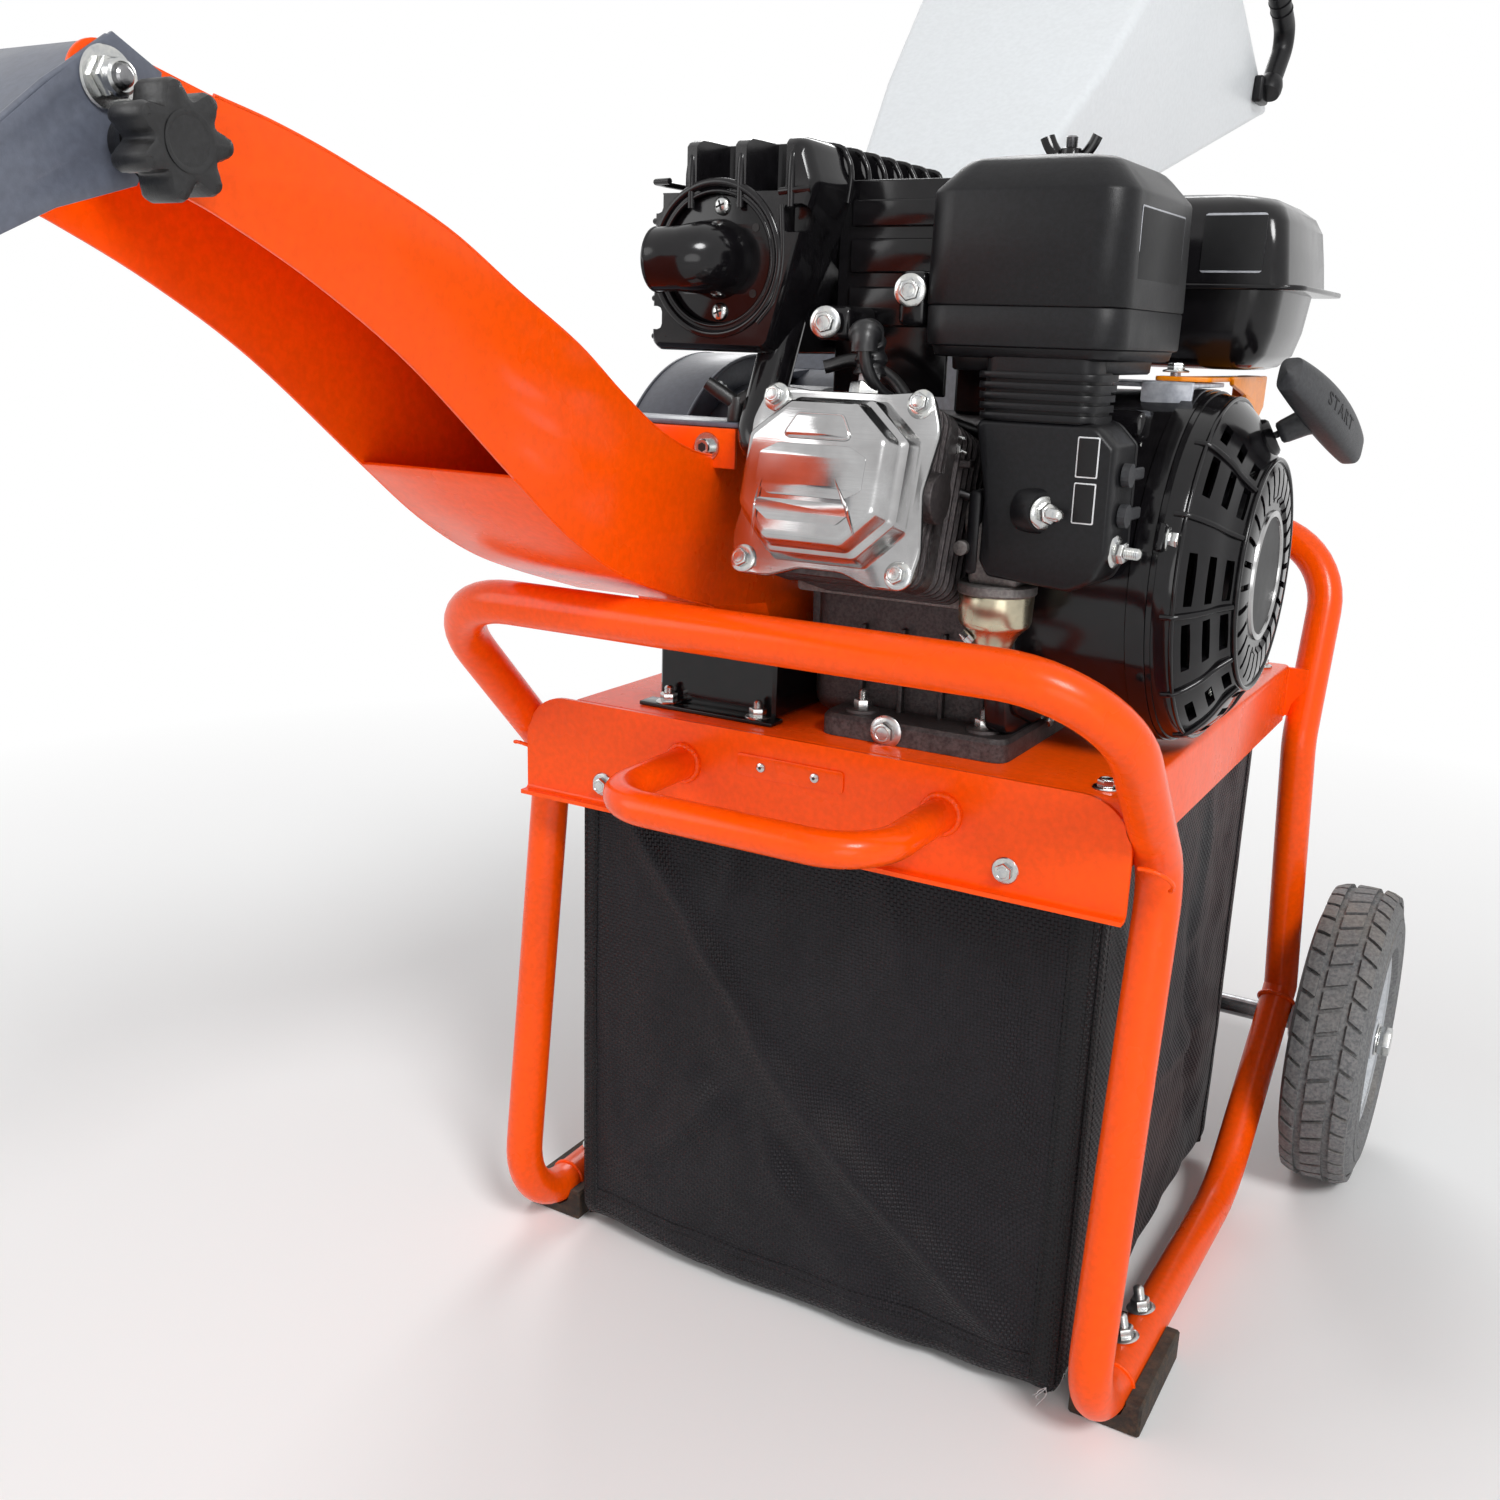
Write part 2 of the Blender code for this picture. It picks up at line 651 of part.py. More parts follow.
def build_rotor():
    far, near = HOUSE_X[0] + PLATE_T + 0.004, HOUSE_X[1] - PLATE_T - 0.004
    drum = cylinder_mesh((far, *CRANK_YZ), (near, *CRANK_YZ), ROTOR_R, sides=36)
    bore = cylinder_mesh((far - 0.01, *CRANK_YZ), (near + 0.01, *CRANK_YZ), SHAFT_R + GAP)
    seats = []
    for name, angle in (("blade_a", 35), ("blade_b", 215)):
        turn = Matrix.Translation((0, *CRANK_YZ)) @ Matrix.Rotation(math.radians(angle), 4, "X")
        seat = box_mesh((far - 0.01, 0.030, -0.002), (near + 0.01, 0.10, 0.10))
        seat.transform(turn)
        seats.append(seat)
        blade = box_mesh((far + 0.001, 0.034, -0.002 + GAP), (near - 0.001, BLADE_R, 0.0065))
        blade.transform(turn)
        add_object(name, blade, STEEL, at=(0, *CRANK_YZ))
    add_object("rotor", cut(drum, bore, *seats), STEEL, at=(0, *CRANK_YZ))


def build_anvil():
    far, near = HOUSE_X[0] + PLATE_T + GAP, HOUSE_X[1] - PLATE_T - GAP
    low_z = arc(CRANK_YZ, WRAP_R + PLATE_T, 350, 350, 1)[0][1] + PLATE_T + GAP
    front = CRANK_YZ[0] + BLADE_R + 0.0015
    rear = THROAT_REAR[0] - PLATE_T - GAP
    add_object("anvil", box_mesh((far, front, low_z), (near, rear, low_z + 0.014)), STEEL)


def deflector_outline():
    tip = DEFLECTOR_TIP_Y
    return [
        (-0.411, 0.711), (-0.429, 0.7205), (-0.446, 0.7085), (tip, 0.6290), (tip, 0.6225),
        (-0.455, 0.6650), (-0.424, 0.6745), (-0.414, 0.690),
    ]


def build_deflector():
    near = HOUSE_X[1] + GAP
    far = HOUSE_X[0] - GAP
    pivot = circle(PIVOT_YZ, 0.0040, 12)
    stud = circle(STUD_YZ, 0.0034, 12)
    near_side = plate_mesh(deflector_outline(), near, near + PLATE_T, (pivot, stud))
    far_side = plate_mesh(deflector_outline(), far - PLATE_T, far, (pivot,))
    top = [(-0.4535, 0.7030), (DEFLECTOR_TIP_Y, 0.6290)]
    hood = strip_mesh(top[::-1], far - PLATE_T / 2, near + PLATE_T / 2, PLATE_T)
    add_object("deflector", joined(near_side, far_side, hood), SLATE, at=(HOPPER_X, *PIVOT_YZ))


def build_deflector_fasteners():
    near = HOUSE_X[1] + GAP + PLATE_T + GAP
    head = cylinder_mesh((near, *PIVOT_YZ), (near + 0.006, *PIVOT_YZ), 0.0068, sides=12)
    shank = cylinder_mesh((near - 0.0075, *PIVOT_YZ), (near + 0.002, *PIVOT_YZ), 0.0036, sides=12)
    add_object("deflector_pivot_bolt", joined(head, shank), STEEL, at=(near, *PIVOT_YZ))
    hub = cylinder_mesh((near, *STUD_YZ), (near + 0.012, *STUD_YZ), 0.0085)
    stud = cylinder_mesh((near - 0.0075, *STUD_YZ), (near + 0.002, *STUD_YZ), 0.0030, sides=12)
    lobes = []
    for i in range(7 * 6):
        angle = 2 * math.pi * i / (7 * 6)
        radius = KNOB_R - 0.0022 + 0.0022 * math.cos(7 * angle)
        lobes.append((STUD_YZ[0] + radius * math.cos(angle), STUD_YZ[1] + radius * math.sin(angle)))
    star = plate_mesh(lobes, near + 0.011, near + 0.029)
    add_object("deflector_knob", joined(hub, stud, star), PLASTIC, at=(near, *STUD_YZ))


# ---------------------------------------------------------------- hopper


def build_hopper():
    start = ring_section(
        (THROAT_FRONT[0] + GAP, THROAT_FRONT[1] + GAP), (THROAT_REAR[0] + GAP, THROAT_REAR[1] + GAP),
        (HOUSE_X[1] - HOUSE_X[0]) / 2, (HOUSE_X[0] + HOUSE_X[1]) / 2,
    )
    end = ring_section(*NECK_END)
    neck = solidified(loft_mesh([start, end]), PLATE_T, -1)
    add_object("hopper_neck", neck, SLATE)
    away = Vector((0, 0.0005, 0.0003))
    first = [tuple(Vector(corner) + away) for corner in end]
    waist = ring_section(*HOPPER_WAIST)
    mouth = ring_section(*HOPPER_MOUTH)
    shell = solidified(loft_mesh([first, waist, mouth]), HOPPER_T, -1)
    add_object("hopper", shell, WHITE)


def build_grab_handle():
    """Bar that stands off the right edge of the hopper's mouth."""
    x = HOPPER_X + HOPPER_MOUTH[2] + GRAB_R + 6 * GAP
    low = Vector((x, HOPPER_MOUTH[1][0] - 0.045, HOPPER_MOUTH[1][1] + 0.014))
    high = Vector((x, HOPPER_MOUTH[0][0] + 0.060, HOPPER_MOUTH[0][1] - 0.042))
    out = Vector((0.004, GRAB_OUT, GRAB_OUT * 1.5))
    corners = [low, low + out, high + out, high]
    add_object("hopper_handle", tube_mesh(rounded_path(corners, (0.020, 0.020), 4), GRAB_R, 2), PLASTIC)


# ---------------------------------------------------------------- engine


def build_crankcase():
    base_z = DECK_TOP + GAP
    base = box_mesh((BASE_X[0], BASE_Y[0], base_z), (BASE_X[1], BASE_Y[1], base_z + BASE_T), 0.002, 1)
    body = box_mesh((CASE_X[0] + 0.004, CASE_Y[0], base_z + 0.002), (CASE_X[1], CASE_Y[1], CASE_TOP), 0.010)
    boss = cylinder_mesh((CASE_X[0] - 0.006, *CRANK_YZ), (0.0, *CRANK_YZ), 0.032)
    bore = cylinder_mesh((-0.2, *CRANK_YZ), (0.2, *CRANK_YZ), SHAFT_R + RUN)
    blower = cylinder_mesh((CASE_X[1], *CRANK_YZ), (0.3, *CRANK_YZ), BLOWER_R + 0.002, sides=48)
    drain_z = base_z + 0.008
    drain = cylinder_mesh((0.044, BASE_Y[0] - 0.005, drain_z), (0.044, 0.0, drain_z), 0.0075, sides=6)
    add_object("crankcase", cut(joined(base, body, boss, drain), bore, blower), CAST)


def along_cylinder(mesh):
    """Moves a mesh modelled with its length on +Z onto the inclined cylinder line."""
    lean = Matrix.Rotation(math.radians(90 - COVER_TILT), 4, "X")
    place = Matrix.Translation((HEAD_X, *COVER_YZ))
    mesh.transform(place @ lean)
    return mesh


def build_cylinder():
    """Barrel, head and rocker cover stacked towards the front, on an axis that tilts upwards."""
    head_len = 0.040
    barrel_back = -0.130
    fins = []
    for i in range(6):
        z = -head_len - GAP - i * 0.0085
        fins.append(along_cylinder(box_mesh((-0.046, -0.046, z - 0.003), (0.046, 0.046, z))))
    barrel = along_cylinder(box_mesh((-0.036, -0.036, barrel_back), (0.036, 0.036, -head_len - 0.002)))
    case_block = box_mesh((-0.1, CASE_Y[0] - GAP, 0.3), (0.2, 0.3, 0.8))
    add_object("cylinder", cut(joined(barrel, *fins), case_block), CAST)
    head = box_mesh((-0.047, -0.047, -head_len), (0.047, 0.047, -0.0045 - GAP), 0.003, 1)
    port = cylinder_mesh((0.020, 0.0, -0.020), (0.052, 0.0, -0.020), 0.013, sides=12)
    add_object("cylinder_head", along_cylinder(joined(head, port)), CAST)
    flange = box_mesh((-0.054, -0.050, -0.0045), (0.054, 0.050, -0.001), 0.0008, 1)
    dome = cylinder_mesh((0, 0, -0.002), (0, 0, 0.026), 0.052, 0.044, sides=8)
    dome.transform(Matrix.Rotation(math.radians(22.5), 4, "Z"))
    add_object("rocker_cover", along_cylinder(joined(flange, dome)), STEEL)


def build_rotating():
    far = HOUSE_X[0] + PLATE_T + 0.004
    shaft = joined(
        cylinder_mesh((far + GAP, *CRANK_YZ), (0.196, *CRANK_YZ), SHAFT_R),
        cylinder_mesh((CASE_X[0] - 0.0125, *CRANK_YZ), (CASE_X[0] - 0.0065, *CRANK_YZ), 0.015),
    )
    add_object("crankshaft", shaft, STEEL, at=(0, *CRANK_YZ))
    x0, x1 = FLYWHEEL_X
    disc = cylinder_mesh((x0, *CRANK_YZ), (x0 + 0.016, *CRANK_YZ), FLYWHEEL_R, sides=36)
    hub = cylinder_mesh((x0, *CRANK_YZ), (x1, *CRANK_YZ), 0.028, sides=24)
    vanes = []
    for i in range(10):
        vane = box_mesh((x0 + 0.014, 0.024, -0.0012), (x1, FLYWHEEL_R - 0.003, 0.0012))
        vane.transform(Matrix.Translation((0, *CRANK_YZ)) @ Matrix.Rotation(math.tau * i / 10, 4, "X"))
        vanes.append(vane)
    bore = cylinder_mesh((x0 - 0.01, *CRANK_YZ), (x1 + 0.01, *CRANK_YZ), SHAFT_R + GAP)
    add_object("flywheel_fan", cut(joined(disc, hub, *vanes), bore), CAST, at=(0, *CRANK_YZ))


def build_blower():
    x0, x1 = BLOWER_X
    depth = x1 - x0
    wall = 0.002
    shell = turned_mesh(
        [
            (depth, BLOWER_R - wall), (depth, BLOWER_R), (0.0, BLOWER_R), (0.0, 0.016),
            (wall, 0.016), (wall, BLOWER_R - wall), (depth, BLOWER_R - wall),
        ],
        (x0, *CRANK_YZ), (1, 0, 0), 40,
    )
    add_object("blower_housing", shell, BLACK)


def build_recoil():
    start = BLOWER_X[1] + GAP
    depth = RECOIL_X - start
    t = 0.0022
    shell = turned_mesh(
        [
            (depth, 0.0), (depth, 0.046), (depth - 0.006, 0.066), (depth - 0.016, 0.084),
            (depth - 0.028, 0.0955), (0.0, 0.098), (0.0, 0.098 - t), (depth - 0.028 - t, 0.0935),
            (depth - 0.016 - t, 0.082), (depth - 0.006 - t, 0.0645), (depth - t, 0.045), (depth - t, 0.0),
        ],
        (start, *CRANK_YZ), (1, 0, 0), 40,
    )
    eye_start, eye_end = (start + 0.001, GRIP.y, GRIP.z), (GRIP.x + 0.01, GRIP.y, GRIP.z)
    eye = cylinder_mesh(eye_start, eye_end, ROPE_R + RUN, sides=12)
    post = cylinder_mesh((start + 0.0135, *CRANK_YZ), (RECOIL_X - t / 2, *CRANK_YZ), PULLEY_BORE - RUN)
    slots = []
    for i in range(10):
        slot = box_mesh((0.19, 0.052, -0.003), (0.25, 0.076, 0.003))
        turn = Matrix.Rotation(math.tau * (i + 0.5) / 10, 4, "X")
        slot.transform(Matrix.Translation((0, *CRANK_YZ)) @ turn)
        slots.append(slot)
    add_object("recoil_cover", joined(cut(shell, eye, *slots), post), BLACK)
    pulley_x = start + 0.0122
    pulley = turned_mesh(
        [
            (0.012, PULLEY_BORE), (0.012, 0.052), (0.009, 0.052), (0.0085, 0.038), (0.0035, 0.038),
            (0.003, 0.052), (0.0, 0.052), (0.0, PULLEY_BORE), (0.012, PULLEY_BORE),
        ],
        (pulley_x, *CRANK_YZ), (1, 0, 0), 28,
    )
    add_object("recoil_pulley", pulley, PLASTIC, at=(0, *CRANK_YZ))


def build_grip():
    half = 0.050
    ends = (GRIP - GRIP_ALONG * half, GRIP + GRIP_ALONG * half)
    bar = joined(
        cylinder_mesh(GRIP, ends[0], 0.0125, 0.0085, sides=16),
        cylinder_mesh(GRIP - GRIP_ALONG * 0.0005, ends[1], 0.0125, 0.0085, sides=16),
    )
    stem = cylinder_mesh((GRIP.x - 0.024, GRIP.y, GRIP.z), GRIP, 0.0062, 0.0075, sides=12)
    add_object("recoil_grip", joined(bar, stem), PLASTIC, at=GRIP)
    rope = cylinder_mesh(
        (BLOWER_X[1] + 0.004, GRIP.y, GRIP.z), (GRIP.x - 0.024 - GAP, GRIP.y, GRIP.z), ROPE_R, sides=10
    )
    add_object("recoil_rope", rope, FABRIC, at=GRIP)


def build_muffler():
    low = (GUARD_X[0] + 0.008, GUARD_Y[0] + 0.010, GUARD_Z[0] + 0.010)
    high = (GUARD_X[1] - 0.006, GUARD_Y[1] - 0.012, GUARD_Z[1] - 0.014)
    drum = box_mesh(low, high, 0.016)
    outlet = Vector((-0.056, GUARD_Y[0], 0.676))
    bend = [outlet + Vector((0, y, 0)) for y in (0.020, -0.016)] + [outlet + Vector((-0.022, -0.042, -0.002))]
    pipe = tube_mesh(rounded_path(bend, (0.012,), 4), 0.0125, 3)
    port = Vector((HEAD_X - 0.047 - GAP, -0.060, 0.572))
    inlet = [port, port + Vector((-0.020, 0.0, 0.0)), port + Vector((-0.024, 0.042, 0.073))]
    down = tube_mesh(rounded_path(inlet, (0.016,), 4), 0.011, 2)
    posts = [
        cylinder_mesh((-0.056, y, high[2] - 0.006), (-0.056, y, GUARD_Z[1] - GUARD_T - GAP), 0.004, sides=12)
        for y in (GUARD_Y[0] + GUARD_RIB, GUARD_Y[0] + GUARD_RIB + 5 * GUARD_PITCH)
    ]
    add_object("muffler", joined(drum, pipe, down, *posts), BLACK)


def build_guard():
    wall = GUARD_T
    corner = 0.010
    x0, x1 = GUARD_X
    y0, y1 = GUARD_Y
    z0, z1 = GUARD_Z
    shell = box_mesh((x0, y0, z0 - 0.020), (x1, y1 + 0.020, z1), corner, 2)
    inner_low, inner_high = (x0 + wall, y0 + wall, z0 - 0.030), (x1 - wall, y1 + 0.030, z1 - wall)
    hollow = box_mesh(inner_low, inner_high, corner - wall, 2)
    below = box_mesh((x0 - 0.010, y0 - 0.010, z0 - 0.040), (x1 + 0.010, y1 + 0.040, z0))
    behind = box_mesh((x0 - 0.010, y1, z0 - 0.040), (x1 + 0.010, y1 + 0.040, z1 + 0.010))
    outlet = cylinder_mesh((-0.056, y0 - 0.010, 0.676), (-0.056, y0 + 0.008, 0.676), 0.017)
    slots = []
    for i in range(7):
        y = y0 + GUARD_RIB + (i - 0.5) * GUARD_PITCH
        slots.append(box_mesh((x0 + 0.012, y - 0.006, z1 - 0.014), (x1 - 0.012, y + 0.006, z1 + 0.016)))
    for i in range(4):
        y = y0 + 0.018 + i * 0.034
        slots.append(box_mesh((x1 - 0.005, y, 0.650), (x1 + 0.005, y + 0.020, 0.715)))
    add_object("muffler_guard", cut(shell, below, behind, hollow, outlet, *slots), BLACK)


def build_filter():
    x0, x1 = FILTER_X
    y0, y1 = FILTER_Y
    z0, z1, z2 = FILTER_Z
    tray = box_mesh((x0 + 0.001, y0 + 0.001, z0), (x1 - 0.001, y1 - 0.001, z1), 0.003)
    well = box_mesh((x0 + 0.006, y0 + 0.006, z0 + 0.006), (x1 - 0.006, y1 - 0.006, z1 + 0.02))
    neck = box_mesh((x0 + 0.036, y0 + 0.003, 0.590), (x1 - 0.010, -0.010, z0 + 0.004), 0.006)
    cover = box_mesh((0.107, y0 + 0.002, 0.512), (INTAKE_X, -0.014, 0.600), 0.006)
    add_object("filter_housing", joined(cut(tray, well), neck, cover), PLASTIC)
    lid = box_mesh((x0, y0, z0), (x1, y1, z2), 0.012, 2)
    hollow = box_mesh((x0 + 0.003, y0 + 0.003, z0 - 0.02), (x1 - 0.003, y1 - 0.003, z2 - 0.004), 0.010, 2)
    below = box_mesh((x0 - 0.01, y0 - 0.01, z0 - 0.03), (x1 + 0.01, y1 + 0.01, z1 + GAP))
    centre = ((x0 + x1) / 2, (y0 + y1) / 2)
    stud_hole = cylinder_mesh((*centre, 0.60), (*centre, 0.80), 0.0035, sides=12)
    add_object("filter_lid", cut(lid, hollow, below, stud_hole), PLASTIC)
    element_low = (x0 + 0.012, y0 + 0.012, z0 + 0.006 + GAP)
    element = box_mesh(element_low, (x1 - 0.012, y1 - 0.012, z2 - 0.0125), 0.006, 1)
    add_object("filter_element", cut(element, stud_hole.copy()), FOAM)
    hub = cylinder_mesh((*centre, z2 + GAP), (*centre, z2 + 0.009), 0.006)
    wing = box_mesh(
        (centre[0] - 0.014, centre[1] - 0.0012, z2 + 0.003),
        (centre[0] + 0.014, centre[1] + 0.0012, z2 + 0.012),
    )
    stud = cylinder_mesh((*centre, z0 + 0.007), (*centre, z2 + 0.002), 0.0028, sides=12)
    add_object("filter_wing_nut", joined(hub, stud, wing), BLACK, at=(*centre, z2))


def build_carburettor():
    side = HEAD_X + 0.054
    body = box_mesh((side + 0.0005, -0.050, 0.505), (0.1065, -0.014, 0.562), 0.003, 1)
    shelf = box_mesh((side + 0.0005, -0.048, 0.505), (0.130, -0.012, 0.5115), 0.002, 1)
    middle = (0.112, -0.030)
    bowl = cylinder_mesh((*middle, 0.478), (*middle, 0.507), 0.0165, 0.0195, sides=24)
    nut = cylinder_mesh((*middle, 0.471), (*middle, 0.4785), 0.005, sides=6)
    add_object("carburettor", joined(body, shelf, bowl, nut), CAST)


def build_tank():
    x0, x1 = TANK_X
    y0, y1 = TANK_Y
    z0, z1, z2 = TANK_Z
    upper = box_mesh((x0, y0, z1 - 0.002), (x1 - 0.010, y1, z2), 0.016)
    lower = box_mesh((x0 + 0.010, y0 + 0.004, z0), (x1 - 0.016, y1 - 0.010, z1 + 0.006), 0.012)
    seam = box_mesh((x0 - 0.004, y0 - 0.004, z1 - 0.003), (x1, y1 + 0.004, z1), 0.0008, 1)
    tank = joined(upper, lower, seam)
    cap_xy = (x0 + 0.060, (y0 + y1) / 2)
    neck = cylinder_mesh((*cap_xy, z2 - 0.004), (*cap_xy, z2 + 0.004), 0.016)
    add_object("fuel_tank", joined(tank, neck), BLACK)
    cap = turned_mesh(
        [
            (0.015, 0.0), (0.015, 0.020), (0.012, 0.023), (0.0, 0.023),
            (0.0, 0.0165), (0.0048, 0.0165), (0.0048, 0.0),
        ],
        (*cap_xy, z2 + GAP), (0, 0, 1), 28,
    )
    add_object("fuel_cap", cap, BLACK, at=(*cap_xy, z2))


def build_tank_bracket():
    """Pressed bracket that carries the tank on top of the crankcase."""
    low = (0.024, CASE_Y[0] + 0.085, CASE_TOP + GAP)
    high = (0.082, CASE_Y[1] - 0.004, TANK_Z[0] - GAP)
    add_object("tank_bracket", box_mesh(low, high, 0.002, 1), BLACK)


def build_levers():
    """Throttle lever on a bracket above the blower, and the choke and fuel levers beside the intake cover."""
    top = CRANK_YZ[1] + BLOWER_R
    seat = (0.160, 0.100)
    bracket = joined(
        box_mesh((0.120, 0.0585, top + GAP), (0.1815, 0.128, top + 0.0030), 0.0008, 1),
        box_mesh((0.155, 0.0560, top - 0.0045), (0.1815, 0.0590, top + 0.0036), 0.0008, 1),
        cylinder_mesh((*seat, top + 0.001), (*seat, top + 0.0095), 0.0030, sides=12),
    )
    add_object("throttle_bracket", bracket, STEEL)
    lever_z = top + 0.0030 + GAP
    lever = joined(
        cylinder_mesh((*seat, lever_z), (*seat, lever_z + 0.004), 0.010),
        box_mesh((0.160, 0.100, lever_z), (0.180, 0.172, lever_z + 0.003), 0.0008, 1),
        box_mesh((0.170, 0.160, lever_z - 0.025), (0.185, 0.222, lever_z + 0.004), 0.003, 1),
    )
    hole = cylinder_mesh((*seat, lever_z - 0.01), (*seat, lever_z + 0.02), 0.0030 + RUN, sides=12)
    add_object("throttle_lever", cut(lever, hole), AMBER, at=(*seat, lever_z))
    x = INTAKE_X + GAP
    y = -0.034
    for name, z in (("choke_lever", 0.572), ("fuel_lever", 0.552)):
        arm = joined(
            cylinder_mesh((x, y, z), (x + 0.004, y, z), 0.006, sides=16),
            box_mesh((x + 0.0005, y, z - 0.003), (x + 0.0035, y + 0.024, z + 0.003), 0.0008, 1),
        )
        add_object(name, arm, PLASTIC, at=(x, y, z))


def build_switch_and_plugs():
    rear = CASE_Y[1] + GAP
    box = box_mesh((0.045, rear, 0.470), (0.085, rear + 0.022, 0.510), 0.003, 1)
    pocket = box_mesh((0.0555 - GAP, rear + 0.010, 0.4785), (0.0745 + GAP, rear + 0.040, 0.5015))
    add_object("switch_box", cut(box, pocket), PLASTIC)
    pivot = Vector((0.065, rear + 0.0185, 0.490))
    rocker = box_mesh((-0.0095, -0.002, -0.0095), (0.0095, 0.007, 0.0095), 0.0015, 1)
    rocker.transform(Matrix.Translation(pivot) @ Matrix.Rotation(math.radians(SWITCH_TILT), 4, "X"))
    add_object("engine_switch", rocker, RED, at=pivot)
    centre = Vector((0.010, rear, 0.455))
    cap = joined(
        cylinder_mesh(centre, centre + Vector((0, 0.012, 0)), 0.013, sides=16),
        cylinder_mesh(centre + Vector((0, 0.010, 0)), centre + Vector((0, 0.018, 0)), 0.009, sides=8),
    )
    add_object("oil_filler_cap", cap, PLASTIC, at=centre)
    seat = 0.047 + GAP
    plug = joined(
        cylinder_mesh((0, seat, -0.022), (0, seat + 0.009, -0.022), 0.0095, sides=6),
        cylinder_mesh((0, seat + 0.006, -0.022), (0, seat + 0.024, -0.0205), 0.006, sides=12),
        cylinder_mesh((0, seat + 0.022, -0.0210), (0, seat + 0.042, -0.012), 0.0095, sides=16),
    )
    add_object("spark_plug", along_cylinder(plug), BLACK)


def main():
    build_frame()
    build_crossmember()
    build_apron()
    build_pull_handle()
    build_deck()
    build_feet()
    build_wheels()
    build_bag()
    build_housing()
    build_cover()
    build_pedestal()
    build_rotor()
    build_anvil()
    build_deflector()
    build_deflector_fasteners()
    build_hopper()
    build_grab_handle()
    build_crankcase()
    build_cylinder()
    build_rotating()
    build_blower()
    build_recoil()
    build_grip()
    build_muffler()
    build_guard()
    build_filter()
    build_carburettor()
    build_tank()
    build_tank_bracket()
    build_levers()
    build_switch_and_plugs()


main()
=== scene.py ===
"""Petrol wood chipper: smooth tube frame, tread tyres, cloth bag, folded sheet metal and a detailed engine.

Run as a script. All pieces are modelled in the machine's frame, where Y = 0 is the front of the foot
blocks, and are then moved to the shared frame, whose origin lies on the floor under the overall box.
"""

import math

import bmesh
import bpy
from mathutils import Matrix, Quaternion, Vector, noise


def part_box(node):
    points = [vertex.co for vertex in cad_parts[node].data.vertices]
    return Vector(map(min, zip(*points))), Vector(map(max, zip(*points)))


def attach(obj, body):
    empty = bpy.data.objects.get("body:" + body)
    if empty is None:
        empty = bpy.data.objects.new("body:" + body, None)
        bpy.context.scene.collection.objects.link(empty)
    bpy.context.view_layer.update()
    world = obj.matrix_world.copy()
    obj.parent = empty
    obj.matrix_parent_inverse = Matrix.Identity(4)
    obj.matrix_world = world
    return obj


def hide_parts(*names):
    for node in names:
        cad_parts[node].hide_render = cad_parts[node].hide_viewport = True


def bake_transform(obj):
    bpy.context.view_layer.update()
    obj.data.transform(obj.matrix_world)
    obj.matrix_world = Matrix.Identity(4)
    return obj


bl_info = {
    "name": "Petrol Wood Chipper",
    "version": (1, 0, 0),
    "blender": (4, 5, 0),
    "location": "3D View > Sidebar > Wood chipper",
    "description": "Builds the finish of a petrol wood chipper on its solid model",
    "category": "Object",
}

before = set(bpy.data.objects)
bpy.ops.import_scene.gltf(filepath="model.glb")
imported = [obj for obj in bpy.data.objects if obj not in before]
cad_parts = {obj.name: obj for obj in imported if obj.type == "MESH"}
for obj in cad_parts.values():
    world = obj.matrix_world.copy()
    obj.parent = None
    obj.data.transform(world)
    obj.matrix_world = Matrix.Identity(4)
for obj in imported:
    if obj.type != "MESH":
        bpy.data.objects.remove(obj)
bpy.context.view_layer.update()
SHIFT = Vector((0.0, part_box("foot_right")[0].y, 0.0))
MACHINE = "machine"


def span(node):
    """Lowest and highest corner of a solid node, in the machine's frame."""
    low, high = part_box(node)
    return low - SHIFT, high - SHIFT


def middle(node):
    low, high = span(node)
    return (low + high) / 2


FLYWHEEL = middle("flywheel_fan")
CRANK = (FLYWHEEL.y, FLYWHEEL.z)
PIVOT = (middle("deflector_pivot_bolt").y, middle("deflector_pivot_bolt").z)
STUD = (middle("deflector_knob").y, middle("deflector_knob").z)
AXLE = (middle("axle").y, middle("axle").z)
WHEEL_R = span("tyre_right")[1].z - AXLE[1]
DECK_TOP = span("deck_plate")[1].z
HOUSE = (span("rotor_housing")[0].x + 0.014, span("rotor_housing")[1].x - 0.014)
GRIP = Vector((middle("recoil_grip").x + 0.0035, middle("recoil_grip").y, middle("recoil_grip").z))
HEAD_AXIS = (0.0435, -0.094, 0.5625)
HEAD_TILT = 16.0
LEG_X = 0.2075
REAR_SPLAY = 0.0085
TOE_END = 0.0165
RAIL_Z = 0.0207
SHEET = 0.002
GAP = 0.0003
ENGINE_BOLTS = ((0.02, 0.005), (0.097, 0.005), (0.02, 0.178), (0.097, 0.178))
OUTLET_X, OUTLET_Z = -0.0565, 0.6726
UP, RIGHT, FRONT = (0, 0, 1), (1, 0, 0), (0, -1, 0)

ORANGE, SLATE, WHITE = "Orange Powder Coat", "Slate Powder Coat", "White Powder Coat"
GLOSS, MOULDED, GRIP_PLASTIC, KNOB = "Black Gloss Paint", "Black Moulded Plastic", "Grip Plastic", "Knob Plastic"
ZINC, STEEL, STAMPED, ALLOY = "Zinc Plate", "Turned Steel", "Polished Stamping", "Cast Aluminium"
CASTING, GALVANISED, RUBBER, TYRE = "Dark Casting", "Galvanised Sheet", "Lead Rubber", "Tyre Rubber"
# The Socket Shadow finish is painted shade: near-black discs, crosses and hexagons stand in for the shade inside
# sockets, holes and open pipe ends.
AMBER, ENAMEL, PAINTED_SHADE = "Amber Plastic", "Rim Enamel", "Socket Shadow"
NEUTRAL, STICKER, RULE = "Neutral Sticker", "Dark Sticker", "Sticker Rule"
BAG_CLOTH, BINDING = "Coated Bag Cloth", "Binding Tape"


# ---------------------------------------------------------------- shapes


